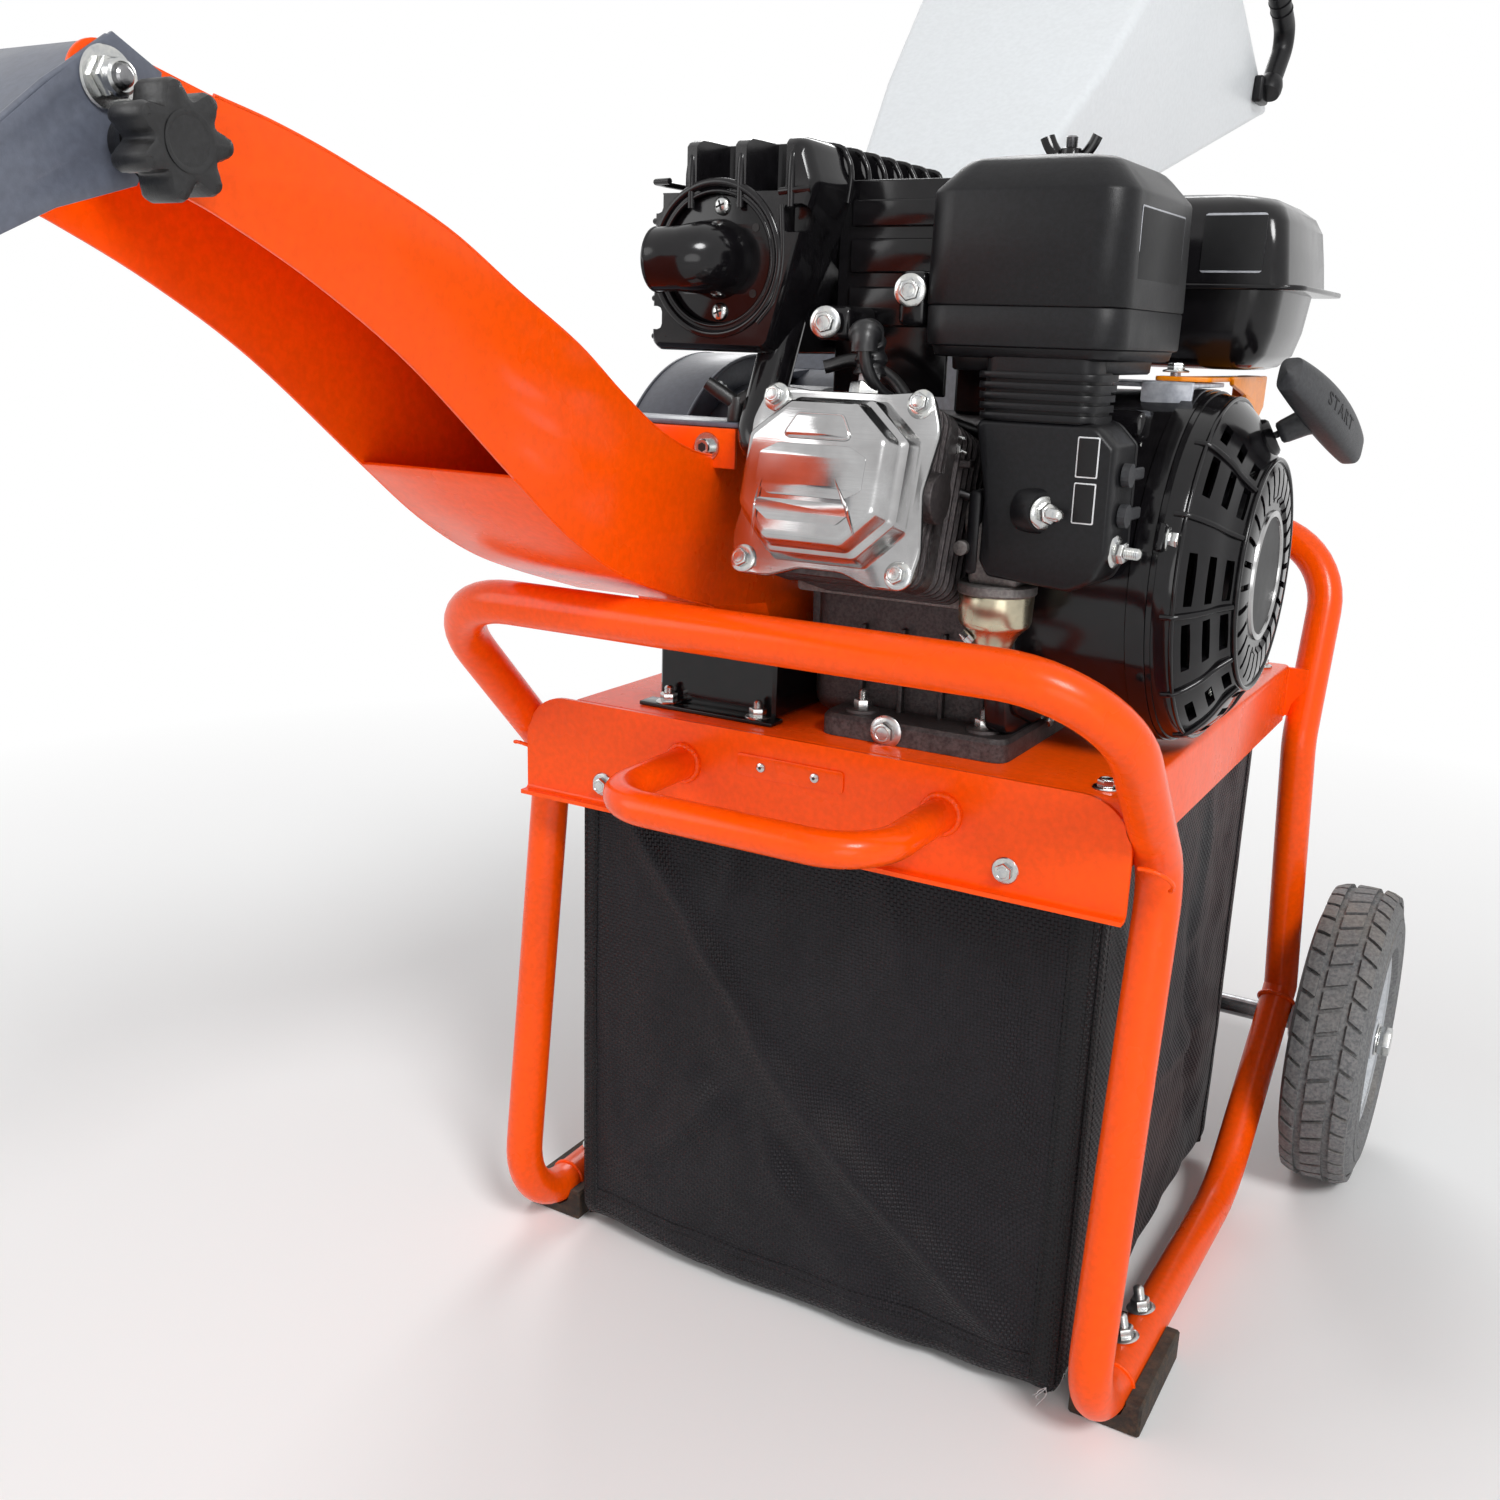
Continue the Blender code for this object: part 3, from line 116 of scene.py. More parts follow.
def linked(name, data):
    """New object in the scene."""
    obj = bpy.data.objects.new(name, data)
    bpy.context.scene.collection.objects.link(obj)
    return obj


def put(bm, matrix):
    """Moves a shape."""
    bmesh.ops.transform(bm, matrix=matrix, verts=bm.verts)
    return bm


def lift(bm, height):
    """Moves a shape upwards."""
    return put(bm, Matrix.Translation((0, 0, height)))


def facing(at, along):
    """Matrix that stands a shape modelled along +Z at a point, in the given direction."""
    turn = Vector(UP).rotation_difference(Vector(along)).to_matrix().to_4x4()
    return Matrix.Translation(at) @ turn


def upright(x, y, z):
    """Matrix that stands a flat outline on its edge, seen from the front."""
    return Matrix.Translation((x, y, z)) @ Matrix.Rotation(math.pi / 2, 4, "X")


def turned(angle):
    """Matrix that turns a shape round the crankshaft's axis."""
    return Matrix.Translation((0, *CRANK)) @ Matrix.Rotation(angle, 4, "X")


def bevelled(bm, edges, width, segments):
    bmesh.ops.bevel(bm, geom=edges, offset=width, segments=segments, profile=0.5, affect="EDGES", clamp_overlap=True)
    return bm


def rounded(bm, width, segments, angle):
    """Rounds every edge that is sharper than the angle."""
    sharp = [e for e in bm.edges if e.is_manifold and e.calc_face_angle(0.0) > math.radians(angle)]
    return bevelled(bm, sharp, width, segments) if sharp and width > 0 else bm


def skin(bm, rings, caps=True):
    """Joins rings of vertices into a surface, with end faces when caps is set."""
    for a, b in zip(rings, rings[1:]):
        for k in range(len(a)):
            m = (k + 1) % len(a)
            bm.faces.new((a[k], a[m], b[m], b[k]))
    if caps:
        bm.faces.new(rings[0][::-1])
        bm.faces.new(rings[-1])
    bmesh.ops.recalc_face_normals(bm, faces=bm.faces)
    return bm


def block(low, high, bevel, segments=3):
    """Box with rounded edges between its lowest and highest corner."""
    bm = bmesh.new()
    bmesh.ops.create_cube(bm, size=1.0)
    low, high = Vector(low), Vector(high)
    for v in bm.verts:
        v.co = v.co * (high - low) + (low + high) / 2
    return rounded(bm, bevel, segments, 10)


def rod(start, end, radius, radius_end=None, sides=32, bevel=0.0):
    """Round or many-sided bar between two points."""
    start, end = Vector(start), Vector(end)
    along = end - start
    bm = bmesh.new()
    bmesh.ops.create_cone(
        bm, cap_ends=True, segments=sides, radius1=radius,
        radius2=radius if radius_end is None else radius_end, depth=along.length,
    )
    if bevel:
        bevelled(bm, [e for e in bm.edges if abs(e.verts[0].co.z - e.verts[1].co.z) < 1e-6], bevel, 2)
    return put(bm, facing((start + end) / 2, along))


def lathe(profile, start, along, steps):
    """Turned shape from (distance, radius) points round the line from start in the direction along."""
    bm = bmesh.new()
    rings = []
    for distance, radius in profile:
        if radius < 1e-6:
            rings.append([bm.verts.new((0, 0, distance))])
        else:
            angles = [math.tau * i / steps for i in range(steps)]
            rings.append([bm.verts.new((radius * math.cos(a), radius * math.sin(a), distance)) for a in angles])
    for a, b in zip(rings, rings[1:] + rings[:1]):
        for i in range(steps):
            j = (i + 1) % steps
            corners = list(dict.fromkeys((a[i % len(a)], a[j % len(a)], b[j % len(b)], b[i % len(b)])))
            if len(corners) > 2:
                bm.faces.new(corners)
    bmesh.ops.recalc_face_normals(bm, faces=bm.faces)
    return put(bm, facing(start, along))


def pipe(points, radius, sides, caps=True, flat=1.0):
    """Round tube along the points; radius may be a number or one number per point."""
    points = [Vector(p) for p in points]
    radii = radius if isinstance(radius, (list, tuple)) else [radius] * len(points)
    bm = bmesh.new()
    rings = []
    side = None
    for i, point in enumerate(points):
        ahead = points[min(i + 1, len(points) - 1)] - points[max(i - 1, 0)]
        ahead.normalize()
        if side is None:
            side = ahead.orthogonal().normalized()
        side = (side - ahead * side.dot(ahead)).normalized()
        other = ahead.cross(side)
        angles = [math.tau * k / sides for k in range(sides)]
        rings.append([
            bm.verts.new(point + (side * math.cos(a) + other * math.sin(a) * flat) * radii[i]) for a in angles
        ])
    return skin(bm, rings, caps)


def closed_pipe(points, radius, sides):
    """Round tube along a loop of points; it overlaps its own start by one point."""
    return pipe(points + points[:2], radius, sides, caps=False)


def bead_ring(centre, along, radius, bead, count, sides):
    """Thin round ring about an axis."""
    return pipe(ring_points(centre, along, radius, count=count), bead, sides, caps=False)


def mesh_of(bm):
    """Mesh of a shape; the shape is used up."""
    mesh = bpy.data.meshes.new("shape")
    bm.to_mesh(mesh)
    bm.free()
    return mesh


def join(target, bm):
    """Adds one shape to another; the added one is used up."""
    mesh = mesh_of(bm)
    target.from_mesh(mesh)
    bpy.data.meshes.remove(mesh)


def evaluated(obj):
    """New bmesh of an object with its modifiers applied; the object is removed."""
    bpy.context.view_layer.update()
    graph = bpy.context.evaluated_depsgraph_get()
    mesh = bpy.data.meshes.new_from_object(obj.evaluated_get(graph))
    bpy.data.objects.remove(obj)
    bm = bmesh.new()
    bm.from_mesh(mesh)
    bpy.data.meshes.remove(mesh)
    bmesh.ops.remove_doubles(bm, verts=bm.verts, dist=0.000005)
    return bm


def slab(outline, thickness, bevel, holes=()):
    """Flat plate of an outline in its own XY plane, with rounded edges, centred on Z = 0."""
    curve = bpy.data.curves.new("slab", "CURVE")
    curve.dimensions = "2D"
    curve.fill_mode = "BOTH"
    curve.extrude = max(thickness / 2 - bevel, 0.00005)
    curve.bevel_depth = bevel
    curve.bevel_resolution = 1
    curve.offset = -bevel
    for loop in (outline, *holes):
        spline = curve.splines.new("POLY")
        spline.use_cyclic_u = True
        spline.points.add(len(loop) - 1)
        for target, (x, y) in zip(spline.points, loop):
            target.co = (x, y, 0.0, 1.0)
    return evaluated(linked("slab", curve))


SWING_X = Matrix(((0, 0, 1, 0), (1, 0, 0, 0), (0, 1, 0, 0), (0, 0, 0, 1)))


def side_slab(outline, x0, x1, bevel, holes=()):
    """Plate whose outline is given as (y, z), between two X positions."""
    return put(slab(outline, abs(x1 - x0), bevel, holes), Matrix.Translation(((x0 + x1) / 2, 0, 0)) @ SWING_X)


def thick(bm, thickness, even=True):
    """Sheet of the given thickness on the inside of a surface."""
    obj = linked("sheet", mesh_of(bm))
    made = obj.modifiers.new("Thickness", "SOLIDIFY")
    made.thickness = thickness
    made.offset = -1.0
    made.use_even_offset = even
    return evaluated(obj)


def carved(bm, cutters):
    """Shape with the cutters taken away from it; the cutters are used up."""
    obj = linked("carved", mesh_of(bm))
    tools = [linked("cutter", mesh_of(cutter)) for cutter in cutters]
    for tool in tools:
        step = obj.modifiers.new("Cut", "BOOLEAN")
        step.operation = "DIFFERENCE"
        step.object = tool
        step.solver = "EXACT"
    result = evaluated(obj)
    for tool in tools:
        bpy.data.objects.remove(tool)
    return result


def arc(centre, radius, start, end, count):
    """Points of an arc between two angles in degrees."""
    steps = [math.radians(start + (end - start) * i / count) for i in range(count + 1)]
    return [(centre[0] + radius * math.cos(a), centre[1] + radius * math.sin(a)) for a in steps]


def circle(centre, radius, count):
    return arc(centre, radius, 0, 360, count)[:-1]


def rounded_rect(low, high, radius, steps=5):
    """Rectangle with round corners between its lowest and highest corner."""
    (x0, y0), (x1, y1), r = low, high, radius
    loop = arc((x1 - r, y0 + r), r, -90, 0, steps) + arc((x1 - r, y1 - r), r, 0, 90, steps)
    return loop + arc((x0 + r, y1 - r), r, 90, 180, steps) + arc((x0 + r, y0 + r), r, 180, 270, steps)


def flowing(points, per=6):
    """Smooth line through the given points, of any dimension."""
    padded = [tuple(2 * a - b for a, b in zip(points[0], points[1])), *points]
    padded.append(tuple(2 * a - b for a, b in zip(points[-1], points[-2])))
    line = []
    for p0, p1, p2, p3 in zip(padded, padded[1:], padded[2:], padded[3:]):
        for i in range(per):
            t = i / per
            line.append(tuple(
                0.5 * (2 * b + (c - a) * t + (2 * a - 5 * b + 4 * c - d) * t * t + (3 * b - a - 3 * c + d) * t ** 3)
                for a, b, c, d in zip(p0, p1, p2, p3)
            ))
    return line + [tuple(points[-1])]


def bent_path(corners, radii, steps=12):
    """Points along straight runs with each inner corner replaced by an arc of its radius."""
    corners = [Vector(c) for c in corners]
    path = [corners[0]]
    for i in range(1, len(corners) - 1):
        before = (corners[i - 1] - corners[i]).normalized()
        after = (corners[i + 1] - corners[i]).normalized()
        half = before.angle(after) / 2
        centre = corners[i] + (before + after).normalized() * (radii[i - 1] / math.sin(half))
        reach = radii[i - 1] / math.tan(half)
        first = corners[i] + before * reach - centre
        last = corners[i] + after * reach - centre
        turn = first.rotation_difference(last)
        for s in range(steps + 1):
            path.append(centre + Quaternion().slerp(turn, s / steps) @ first)
    path.append(corners[-1])
    return path


def ribbon(points, x0, x1, thickness):
    """Sheet from x0 to x1 along (y, z) points, thickness on its right-hand side."""
    bm = bmesh.new()
    near = [bm.verts.new((x0, y, z)) for y, z in points]
    far = [bm.verts.new((x1, y, z)) for y, z in points]
    for i in range(len(points) - 1):
        bm.faces.new((near[i], far[i], far[i + 1], near[i + 1]))
    return rounded(thick(bm, thickness), thickness * 0.3, 2, 50)


def scaled(outline, centre, share):
    """Outline made larger or smaller round its centre."""
    centre = Vector(centre)
    return [tuple(centre + (Vector(p) - centre) * share) for p in outline]


class Piece:
    """Collects the shapes of one piece, each with its finish, and puts it in the scene."""

    def __init__(self, name):
        self.name = name
        self.bm = bmesh.new()
        self.finishes = []

    def add(self, bm, finish):
        if finish not in self.finishes:
            self.finishes.append(finish)
        index = self.finishes.index(finish)
        for face in bm.faces:
            face.material_index = index
        join(self.bm, bm)
        return self

    def place(self, body=MACHINE, stands_for=(), slot=None, smooth=34.0, ride=True):
        mesh = bpy.data.meshes.new(self.name)
        self.bm.to_mesh(mesh)
        self.bm.free()
        mesh.transform(Matrix.Translation(SHIFT))
        for finish in self.finishes:
            mesh.materials.append(bpy.data.materials[finish])
        mesh.shade_smooth()
        mesh.set_sharp_from_angle(angle=math.radians(smooth))
        obj = linked(self.name, mesh)
        if ride:
            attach(obj, body)
        if stands_for:
            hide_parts(*stands_for)
        return obj


# ---------------------------------------------------------------- fasteners and welds


def hex_bolt(piece, at, along, width, head, flange=True, thread=0.0):
    """Hexagon head on a flange; thread is the length of the threaded end beyond the head."""
    at, along = Vector(at), Vector(along).normalized()
    lift = 0.0
    if flange:
        rim = [
            (0.0, 0.0), (0.0, width * 1.45), (0.0006, width * 1.5), (0.0012, width * 1.4), (0.0017, width),
            (0.0017, 0.0),
        ]
        piece.add(lathe(rim, at, along, 32), ZINC)
        lift = 0.0012
    piece.add(rod(at + along * lift, at + along * (lift + head), width, sides=6, bevel=width * 0.13), ZINC)
    top = lift + head
    if thread:
        profile = [(top - 0.001, 0.0), (top - 0.001, width * 0.52)]
        pitch = 0.0009
        turns = max(int(thread / pitch), 2)
        for i in range(turns):
            profile += [(top + i * thread / turns, width * 0.55), (top + (i + 0.5) * thread / turns, width * 0.47)]
        profile += [(top + thread, width * 0.4), (top + thread + 0.0006, width * 0.22), (top + thread + 0.0006, 0.0)]
        piece.add(lathe(profile, at, along, 24), ZINC)
    else:
        dish = [
            (top - 0.0004, 0.0), (top - 0.0004, width * 0.5), (top + 0.0003, width * 0.62),
            (top + 0.0003, width * 0.7), (top - 0.0006, width * 0.72), (top - 0.0006, 0.0),
        ]
        piece.add(lathe(dish, at, along, 24), ZINC)


def socket_bolt(piece, at, along, radius):
    """Cap screw on a wide washer, with a near-black hexagon of painted shade for its socket."""
    at, along = Vector(at), Vector(along).normalized()
    washer = [(0, 0.0), (0, radius * 1.7), (0.0006, radius * 1.74), (0.0014, radius * 1.7), (0.0014, 0.0)]
    piece.add(lathe(washer, at, along, 36), ZINC)
    head = [
        (0.001, 0.0), (0.001, radius), (0.0052, radius), (0.006, radius * 0.88), (0.006, radius * 0.62), (0.0056, 0.0),
    ]
    piece.add(lathe(head, at, along, 32), ZINC)
    # The socket is a near-black hexagon on the head: painted shade, not a hole.
    piece.add(rod(at + along * 0.005, at + along * 0.00615, radius * 0.58, sides=6), PAINTED_SHADE)


def cross_screw(piece, at, along, radius):
    """Domed screw head with a cross of painted shade on it: two near-black bars stand in for the cross recess."""
    at, along = Vector(at), Vector(along).normalized()
    head = [(0.0, 0.0), (0.0, radius), (0.001, radius), (0.0022, radius * 0.8), (0.0028, radius * 0.45), (0.003, 0.0)]
    piece.add(lathe(head, at, along, 32), ZINC)
    # The cross is painted shade, not a cut recess.
    for spin in (20, 110):
        arm = block((-radius * 0.55, -radius * 0.1, 0.0022), (radius * 0.55, radius * 0.1, 0.00315), 0.0)
        piece.add(put(arm, facing(at, along) @ Matrix.Rotation(math.radians(spin), 4, "Z")), PAINTED_SHADE)


def weld_bead(piece, points, radius, ripple=0.0034):
    """Rippled fillet weld along the points."""
    line = flowing([tuple(p) for p in points], 5)
    fine, step = [], 0.0008
    for a, b in zip(line, line[1:]):
        count = max(1, int((Vector(b) - Vector(a)).length / step))
        fine += [Vector(a).lerp(Vector(b), i / count) for i in range(count)]
    fine.append(Vector(line[-1]))
    length, radii = 0.0, []
    for i, point in enumerate(fine):
        length += (point - fine[i - 1]).length if i else 0.0
        radii.append(radius * (0.86 + 0.16 * abs(math.sin(math.pi * length / ripple))))
    piece.add(pipe(fine, radii, 12), ORANGE)


def ring_points(centre, along, radius, start=0, end=360, count=24):
    """Points of a ring round an axis, used for welds and beads."""
    along = Vector(along).normalized()
    u = along.orthogonal().normalized()
    v = along.cross(u)
    steps = [math.radians(start + (end - start) * i / count) for i in range(count + 1)]
    return [Vector(centre) + (u * math.cos(a) + v * math.sin(a)) * radius for a in steps]


# ---------------------------------------------------------------- finishes


class Wiring:
    """Short way to add nodes to a tree and join them."""

    def __init__(self, tree):
        self.tree = tree

    def node(self, kind, values=None, **settings):
        made = self.tree.nodes.new(kind)
        for key, value in settings.items():
            setattr(made, key, value)
        for key, value in (values or {}).items():
            if isinstance(value, bpy.types.NodeSocket):
                self.tree.links.new(value, made.inputs[key])
            else:
                made.inputs[key].default_value = value
        return made

    def math(self, operation, a, b=0.5, clamp=False):
        made = self.node("ShaderNodeMath", {0: a, 1: b}, operation=operation, use_clamp=clamp)
        return made.outputs[0]

    def ramp(self, value, low, high):
        made = self.node("ShaderNodeMapRange", {"Value": value, "From Min": low, "From Max": high})
        return made.outputs[0]

    def noise(self, vector, scale, detail=4.0, roughness=0.55):
        values = {"Vector": vector, "Scale": scale, "Detail": detail, "Roughness": roughness}
        return self.node("ShaderNodeTexNoise", values).outputs["Fac"]

    def mix(self, share, first, second):
        made = self.node("ShaderNodeMix", {"Factor": share}, data_type="RGBA")
        for socket, colour in (("A", first), ("B", second)):
            target = [s for s in made.inputs if s.name == socket and s.type == "RGBA"][0]
            if isinstance(colour, bpy.types.NodeSocket):
                self.tree.links.new(colour, target)
            else:
                target.default_value = (*colour[:3], 1.0)
        return [s for s in made.outputs if s.type == "RGBA"][0]


def effect(name, inputs, outputs, build):
    """Node group with the given float or vector inputs and float outputs."""
    tree = bpy.data.node_groups.new(name, "ShaderNodeTree")
    for label, kind, default in inputs:
        made = tree.interface.new_socket(label, in_out="INPUT", socket_type=kind)
        if default is not None:
            made.default_value = default
    for label in outputs:
        tree.interface.new_socket(label, in_out="OUTPUT", socket_type="NodeSocketFloat")
    wiring = Wiring(tree)
    source = wiring.node("NodeGroupInput")
    target = wiring.node("NodeGroupOutput")
    for label, socket in build(wiring, source.outputs).items():
        tree.links.new(socket, target.inputs[label])
    return tree


FLOAT, VECTOR = "NodeSocketFloat", "NodeSocketVector"


def make_effects():
    def grain(w, i):
        """Fine surface unevenness of paint, castings and mouldings."""
        coarse = w.noise(i["Position"], i["Scale"], 3.0)
        fine_scale = w.math("MULTIPLY", i["Scale"], 6.0)
        fine = w.noise(i["Position"], fine_scale, 2.0)
        share = w.math("MULTIPLY", fine, i["Fineness"])
        return {"Height": w.math("ADD", coarse, share), "Tone": w.ramp(coarse, 0.35, 0.65)}

    def handling(w, i):
        """Smudges and rubbed patches, with faint fine scratches."""
        patch = w.ramp(w.noise(i["Position"], i["Scale"], 5.0, 0.65), 0.42, 0.68)
        squeeze = w.node(
            "ShaderNodeMapping", {"Vector": i["Position"], "Rotation": (0.4, 0.9, 0.6), "Scale": (1, 14, 1)},
        )
        lines = w.ramp(w.noise(squeeze.outputs[0], 55.0, 3.0, 0.7), 0.66, 0.74)
        return {"Smudge": patch, "Scratch": w.math("MULTIPLY", lines, patch)}

    def dust(w, i):
        """Dust that gathers on faces that look upwards."""
        normal = w.node("ShaderNodeNewGeometry").outputs["Normal"]
        up = w.ramp(w.node("ShaderNodeSeparateXYZ", {0: normal}).outputs["Z"], 0.25, 1.0)
        cloud = w.ramp(w.noise(i["Position"], 22.0, 6.0, 0.7), 0.38, 0.72)
        return {"Mask": w.math("MULTIPLY", w.math("MULTIPLY", up, cloud), i["Amount"])}

    def edge_wear(w, i):
        """Brighter or bare corners where the surface turns sharply."""
        point = w.node("ShaderNodeNewGeometry").outputs["Pointiness"]
        corner = w.ramp(point, 0.53, 0.62)
        broken = w.ramp(w.noise(i["Position"], 160.0, 4.0, 0.7), 0.45, 0.65)
        return {"Mask": w.math("MULTIPLY", w.math("MULTIPLY", corner, broken), i["Amount"])}

    def brushing(w, i):
        """Fine lines of rolled, turned or brushed metal."""
        stretch = w.node("ShaderNodeMapping", {"Vector": i["Position"], "Scale": (0.6, 9.0, 22.0)})
        lines = w.noise(stretch.outputs[0], i["Scale"], 2.0, 0.6)
        return {"Height": lines, "Tone": w.ramp(lines, 0.3, 0.7)}

    def weave(w, i):
        """Plain weave of a coated cloth: threads over and under, and slack threads here and there. Its Tone output is
        painted highlight on the raised threads and painted shade between them.
        """
        parts = w.node("ShaderNodeSeparateXYZ", {0: i["Position"]}).outputs
        across = w.math("MULTIPLY", w.math("ADD", parts["X"], parts["Y"]), i["Threads"])
        along = w.math("MULTIPLY", parts["Z"], i["Threads"])
        turn = math.pi
        warp = w.math("ABSOLUTE", w.math("SINE", w.math("MULTIPLY", across, turn)), 0)
        weft = w.math("ABSOLUTE", w.math("SINE", w.math("MULTIPLY", along, turn)), 0)
        cell_x = w.math("FLOOR", across, 0)
        cell_z = w.math("FLOOR", along, 0)
        odd = w.math("MODULO", w.math("ADD", w.math("ADD", cell_x, cell_z), 100000.0), 2.0)
        flip = w.math("SUBTRACT", 1.0, odd)
        over = w.math("ADD", w.math("MULTIPLY", warp, odd), w.math("MULTIPLY", weft, flip))
        slub = w.noise(i["Position"], 90.0, 3.0, 0.6)
        # Tone follows the thread height: painted highlight on raised threads and painted shade in the gaps, mixed with
        # random slub.
        return {"Height": over, "Tone": w.ramp(w.math("ADD", over, slub), 0.5, 1.5), "Slub": slub}

    place = ("Position", VECTOR, None)
    effect("Surface Grain", [place, ("Scale", FLOAT, 60.0), ("Fineness", FLOAT, 0.3)], ["Height", "Tone"], grain)
    effect("Handling Marks", [place, ("Scale", FLOAT, 8.0)], ["Smudge", "Scratch"], handling)
    effect("Settled Dust", [place, ("Amount", FLOAT, 0.2)], ["Mask"], dust)
    effect("Edge Wear", [place, ("Amount", FLOAT, 0.3)], ["Mask"], edge_wear)
    effect("Brushed Lines", [place, ("Scale", FLOAT, 60.0)], ["Height", "Tone"], brushing)
    effect("Plain Weave", [place, ("Threads", FLOAT, 700.0)], ["Height", "Tone", "Slub"], weave)


def linear(r, g, b):
    """Linear colour from sRGB values between 0 and 255."""
    return tuple((c / 255 / 12.92) if c / 255 <= 0.04045 else ((c / 255 + 0.055) / 1.055) ** 2.4 for c in (r, g, b))


def new_material(name):
    """Node tree of a new material, its wiring, its shader and the object's coordinates."""
    made = bpy.data.materials.new(name)
    made.use_nodes = True
    tree = made.node_tree
    w = Wiring(tree)
    return tree, w, tree.nodes["Principled BSDF"], w.node("ShaderNodeTexCoord").outputs["Object"]


def group(w, name, where, **values):
    """Outputs of one of the shared effects at the given coordinates."""
    return w.node("ShaderNodeGroup", {"Position": where, **values}, node_tree=bpy.data.node_groups[name]).outputs


def finish(
    name, colour, second, rough, metallic=0.0, coat=0.0, coat_rough=0.08, grain=(60.0, 0.3, 0.05), dust=0.12, wear=0.0,
    bare=None, brushed=0.0, specular=0.5, bump_distance=0.0006, marks=8.0,
):
    """Material from the shared effects: two tones, dust, worn corners, grain and smudged gloss."""
    tree, w, shader, where = new_material(name)
    scale, fineness, depth = grain
    surface = group(w, "Surface Grain", where, Scale=scale, Fineness=fineness)
    hands = group(w, "Handling Marks", where, Scale=marks)
    tone = w.mix(surface["Tone"], colour, second)
    height = surface["Height"]
    if brushed:
        lines = group(w, "Brushed Lines", where, Scale=70.0)
        tone = w.mix(w.math("MULTIPLY", lines["Tone"], brushed), tone, tuple(c * 0.72 for c in colour))
        height = w.math("ADD", height, w.math("MULTIPLY", lines["Height"], brushed))
    if wear:
        worn = group(w, "Edge Wear", where, Amount=wear)
        tone = w.mix(worn["Mask"], tone, bare or tuple(min(1.0, c * 1.6 + 0.03) for c in colour))
    if dust:
        film = group(w, "Settled Dust", where, Amount=dust)
        tone = w.mix(film["Mask"], tone, (0.36, 0.31, 0.25))
    tree.links.new(tone, shader.inputs["Base Color"])
    low, high = rough
    gloss = w.node("ShaderNodeMapRange", {"Value": hands["Smudge"], "To Min": low, "To Max": high}).outputs[0]
    scratched = w.math("ADD", gloss, w.math("MULTIPLY", hands["Scratch"], 0.12), clamp=True)
    if dust:
        scratched = w.math("ADD", scratched, w.math("MULTIPLY", film["Mask"], 0.5), clamp=True)
    tree.links.new(scratched, shader.inputs["Roughness"])
    bump = w.node("ShaderNodeBump", {"Strength": depth, "Distance": bump_distance, "Height": height})
    tree.links.new(bump.outputs[0], shader.inputs["Normal"])
    for socket, value in (
        ("Metallic", metallic), ("Coat Weight", coat), ("Coat Roughness", coat_rough),
        ("Specular IOR Level", specular), ("Sheen Weight", 0.0), ("IOR", 1.5),
    ):
        shader.inputs[socket].default_value = value


def cloth_finish(name, colour, second, threads, strength):
    """Coated woven cloth with a slight sheen where it is creased; its colour runs from the first to the second tone
    with the weave, painted highlight on raised threads and painted shade between them.
    """
    tree, w, shader, where = new_material(name)
    cloth = group(w, "Plain Weave", where, Threads=threads)
    film = group(w, "Settled Dust", where, Amount=0.1)
    # Painted highlight on raised threads and painted shade between them, from the weave's tone.
    tone = w.mix(cloth["Tone"], colour, second)
    fade = w.ramp(w.noise(where, 5.0, 4.0, 0.6), 0.4, 0.75)
    tone = w.mix(w.math("MULTIPLY", fade, 0.45), tone, tuple(c * 1.35 for c in second))
    tone = w.mix(film["Mask"], tone, (0.3, 0.27, 0.23))
    tree.links.new(tone, shader.inputs["Base Color"])
    gloss = w.node("ShaderNodeMapRange", {"Value": cloth["Height"], "To Min": 0.62, "To Max": 0.46}).outputs[0]
    tree.links.new(gloss, shader.inputs["Roughness"])
    mixed = w.math("ADD", cloth["Height"], w.math("MULTIPLY", cloth["Slub"], 0.8))
    bump = w.node("ShaderNodeBump", {"Strength": strength, "Distance": 0.0008, "Height": mixed})
    tree.links.new(bump.outputs[0], shader.inputs["Normal"])
    for socket, value in (("Sheen Weight", 0.06), ("Sheen Roughness", 0.4), ("Specular IOR Level", 0.22)):
        shader.inputs[socket].default_value = value


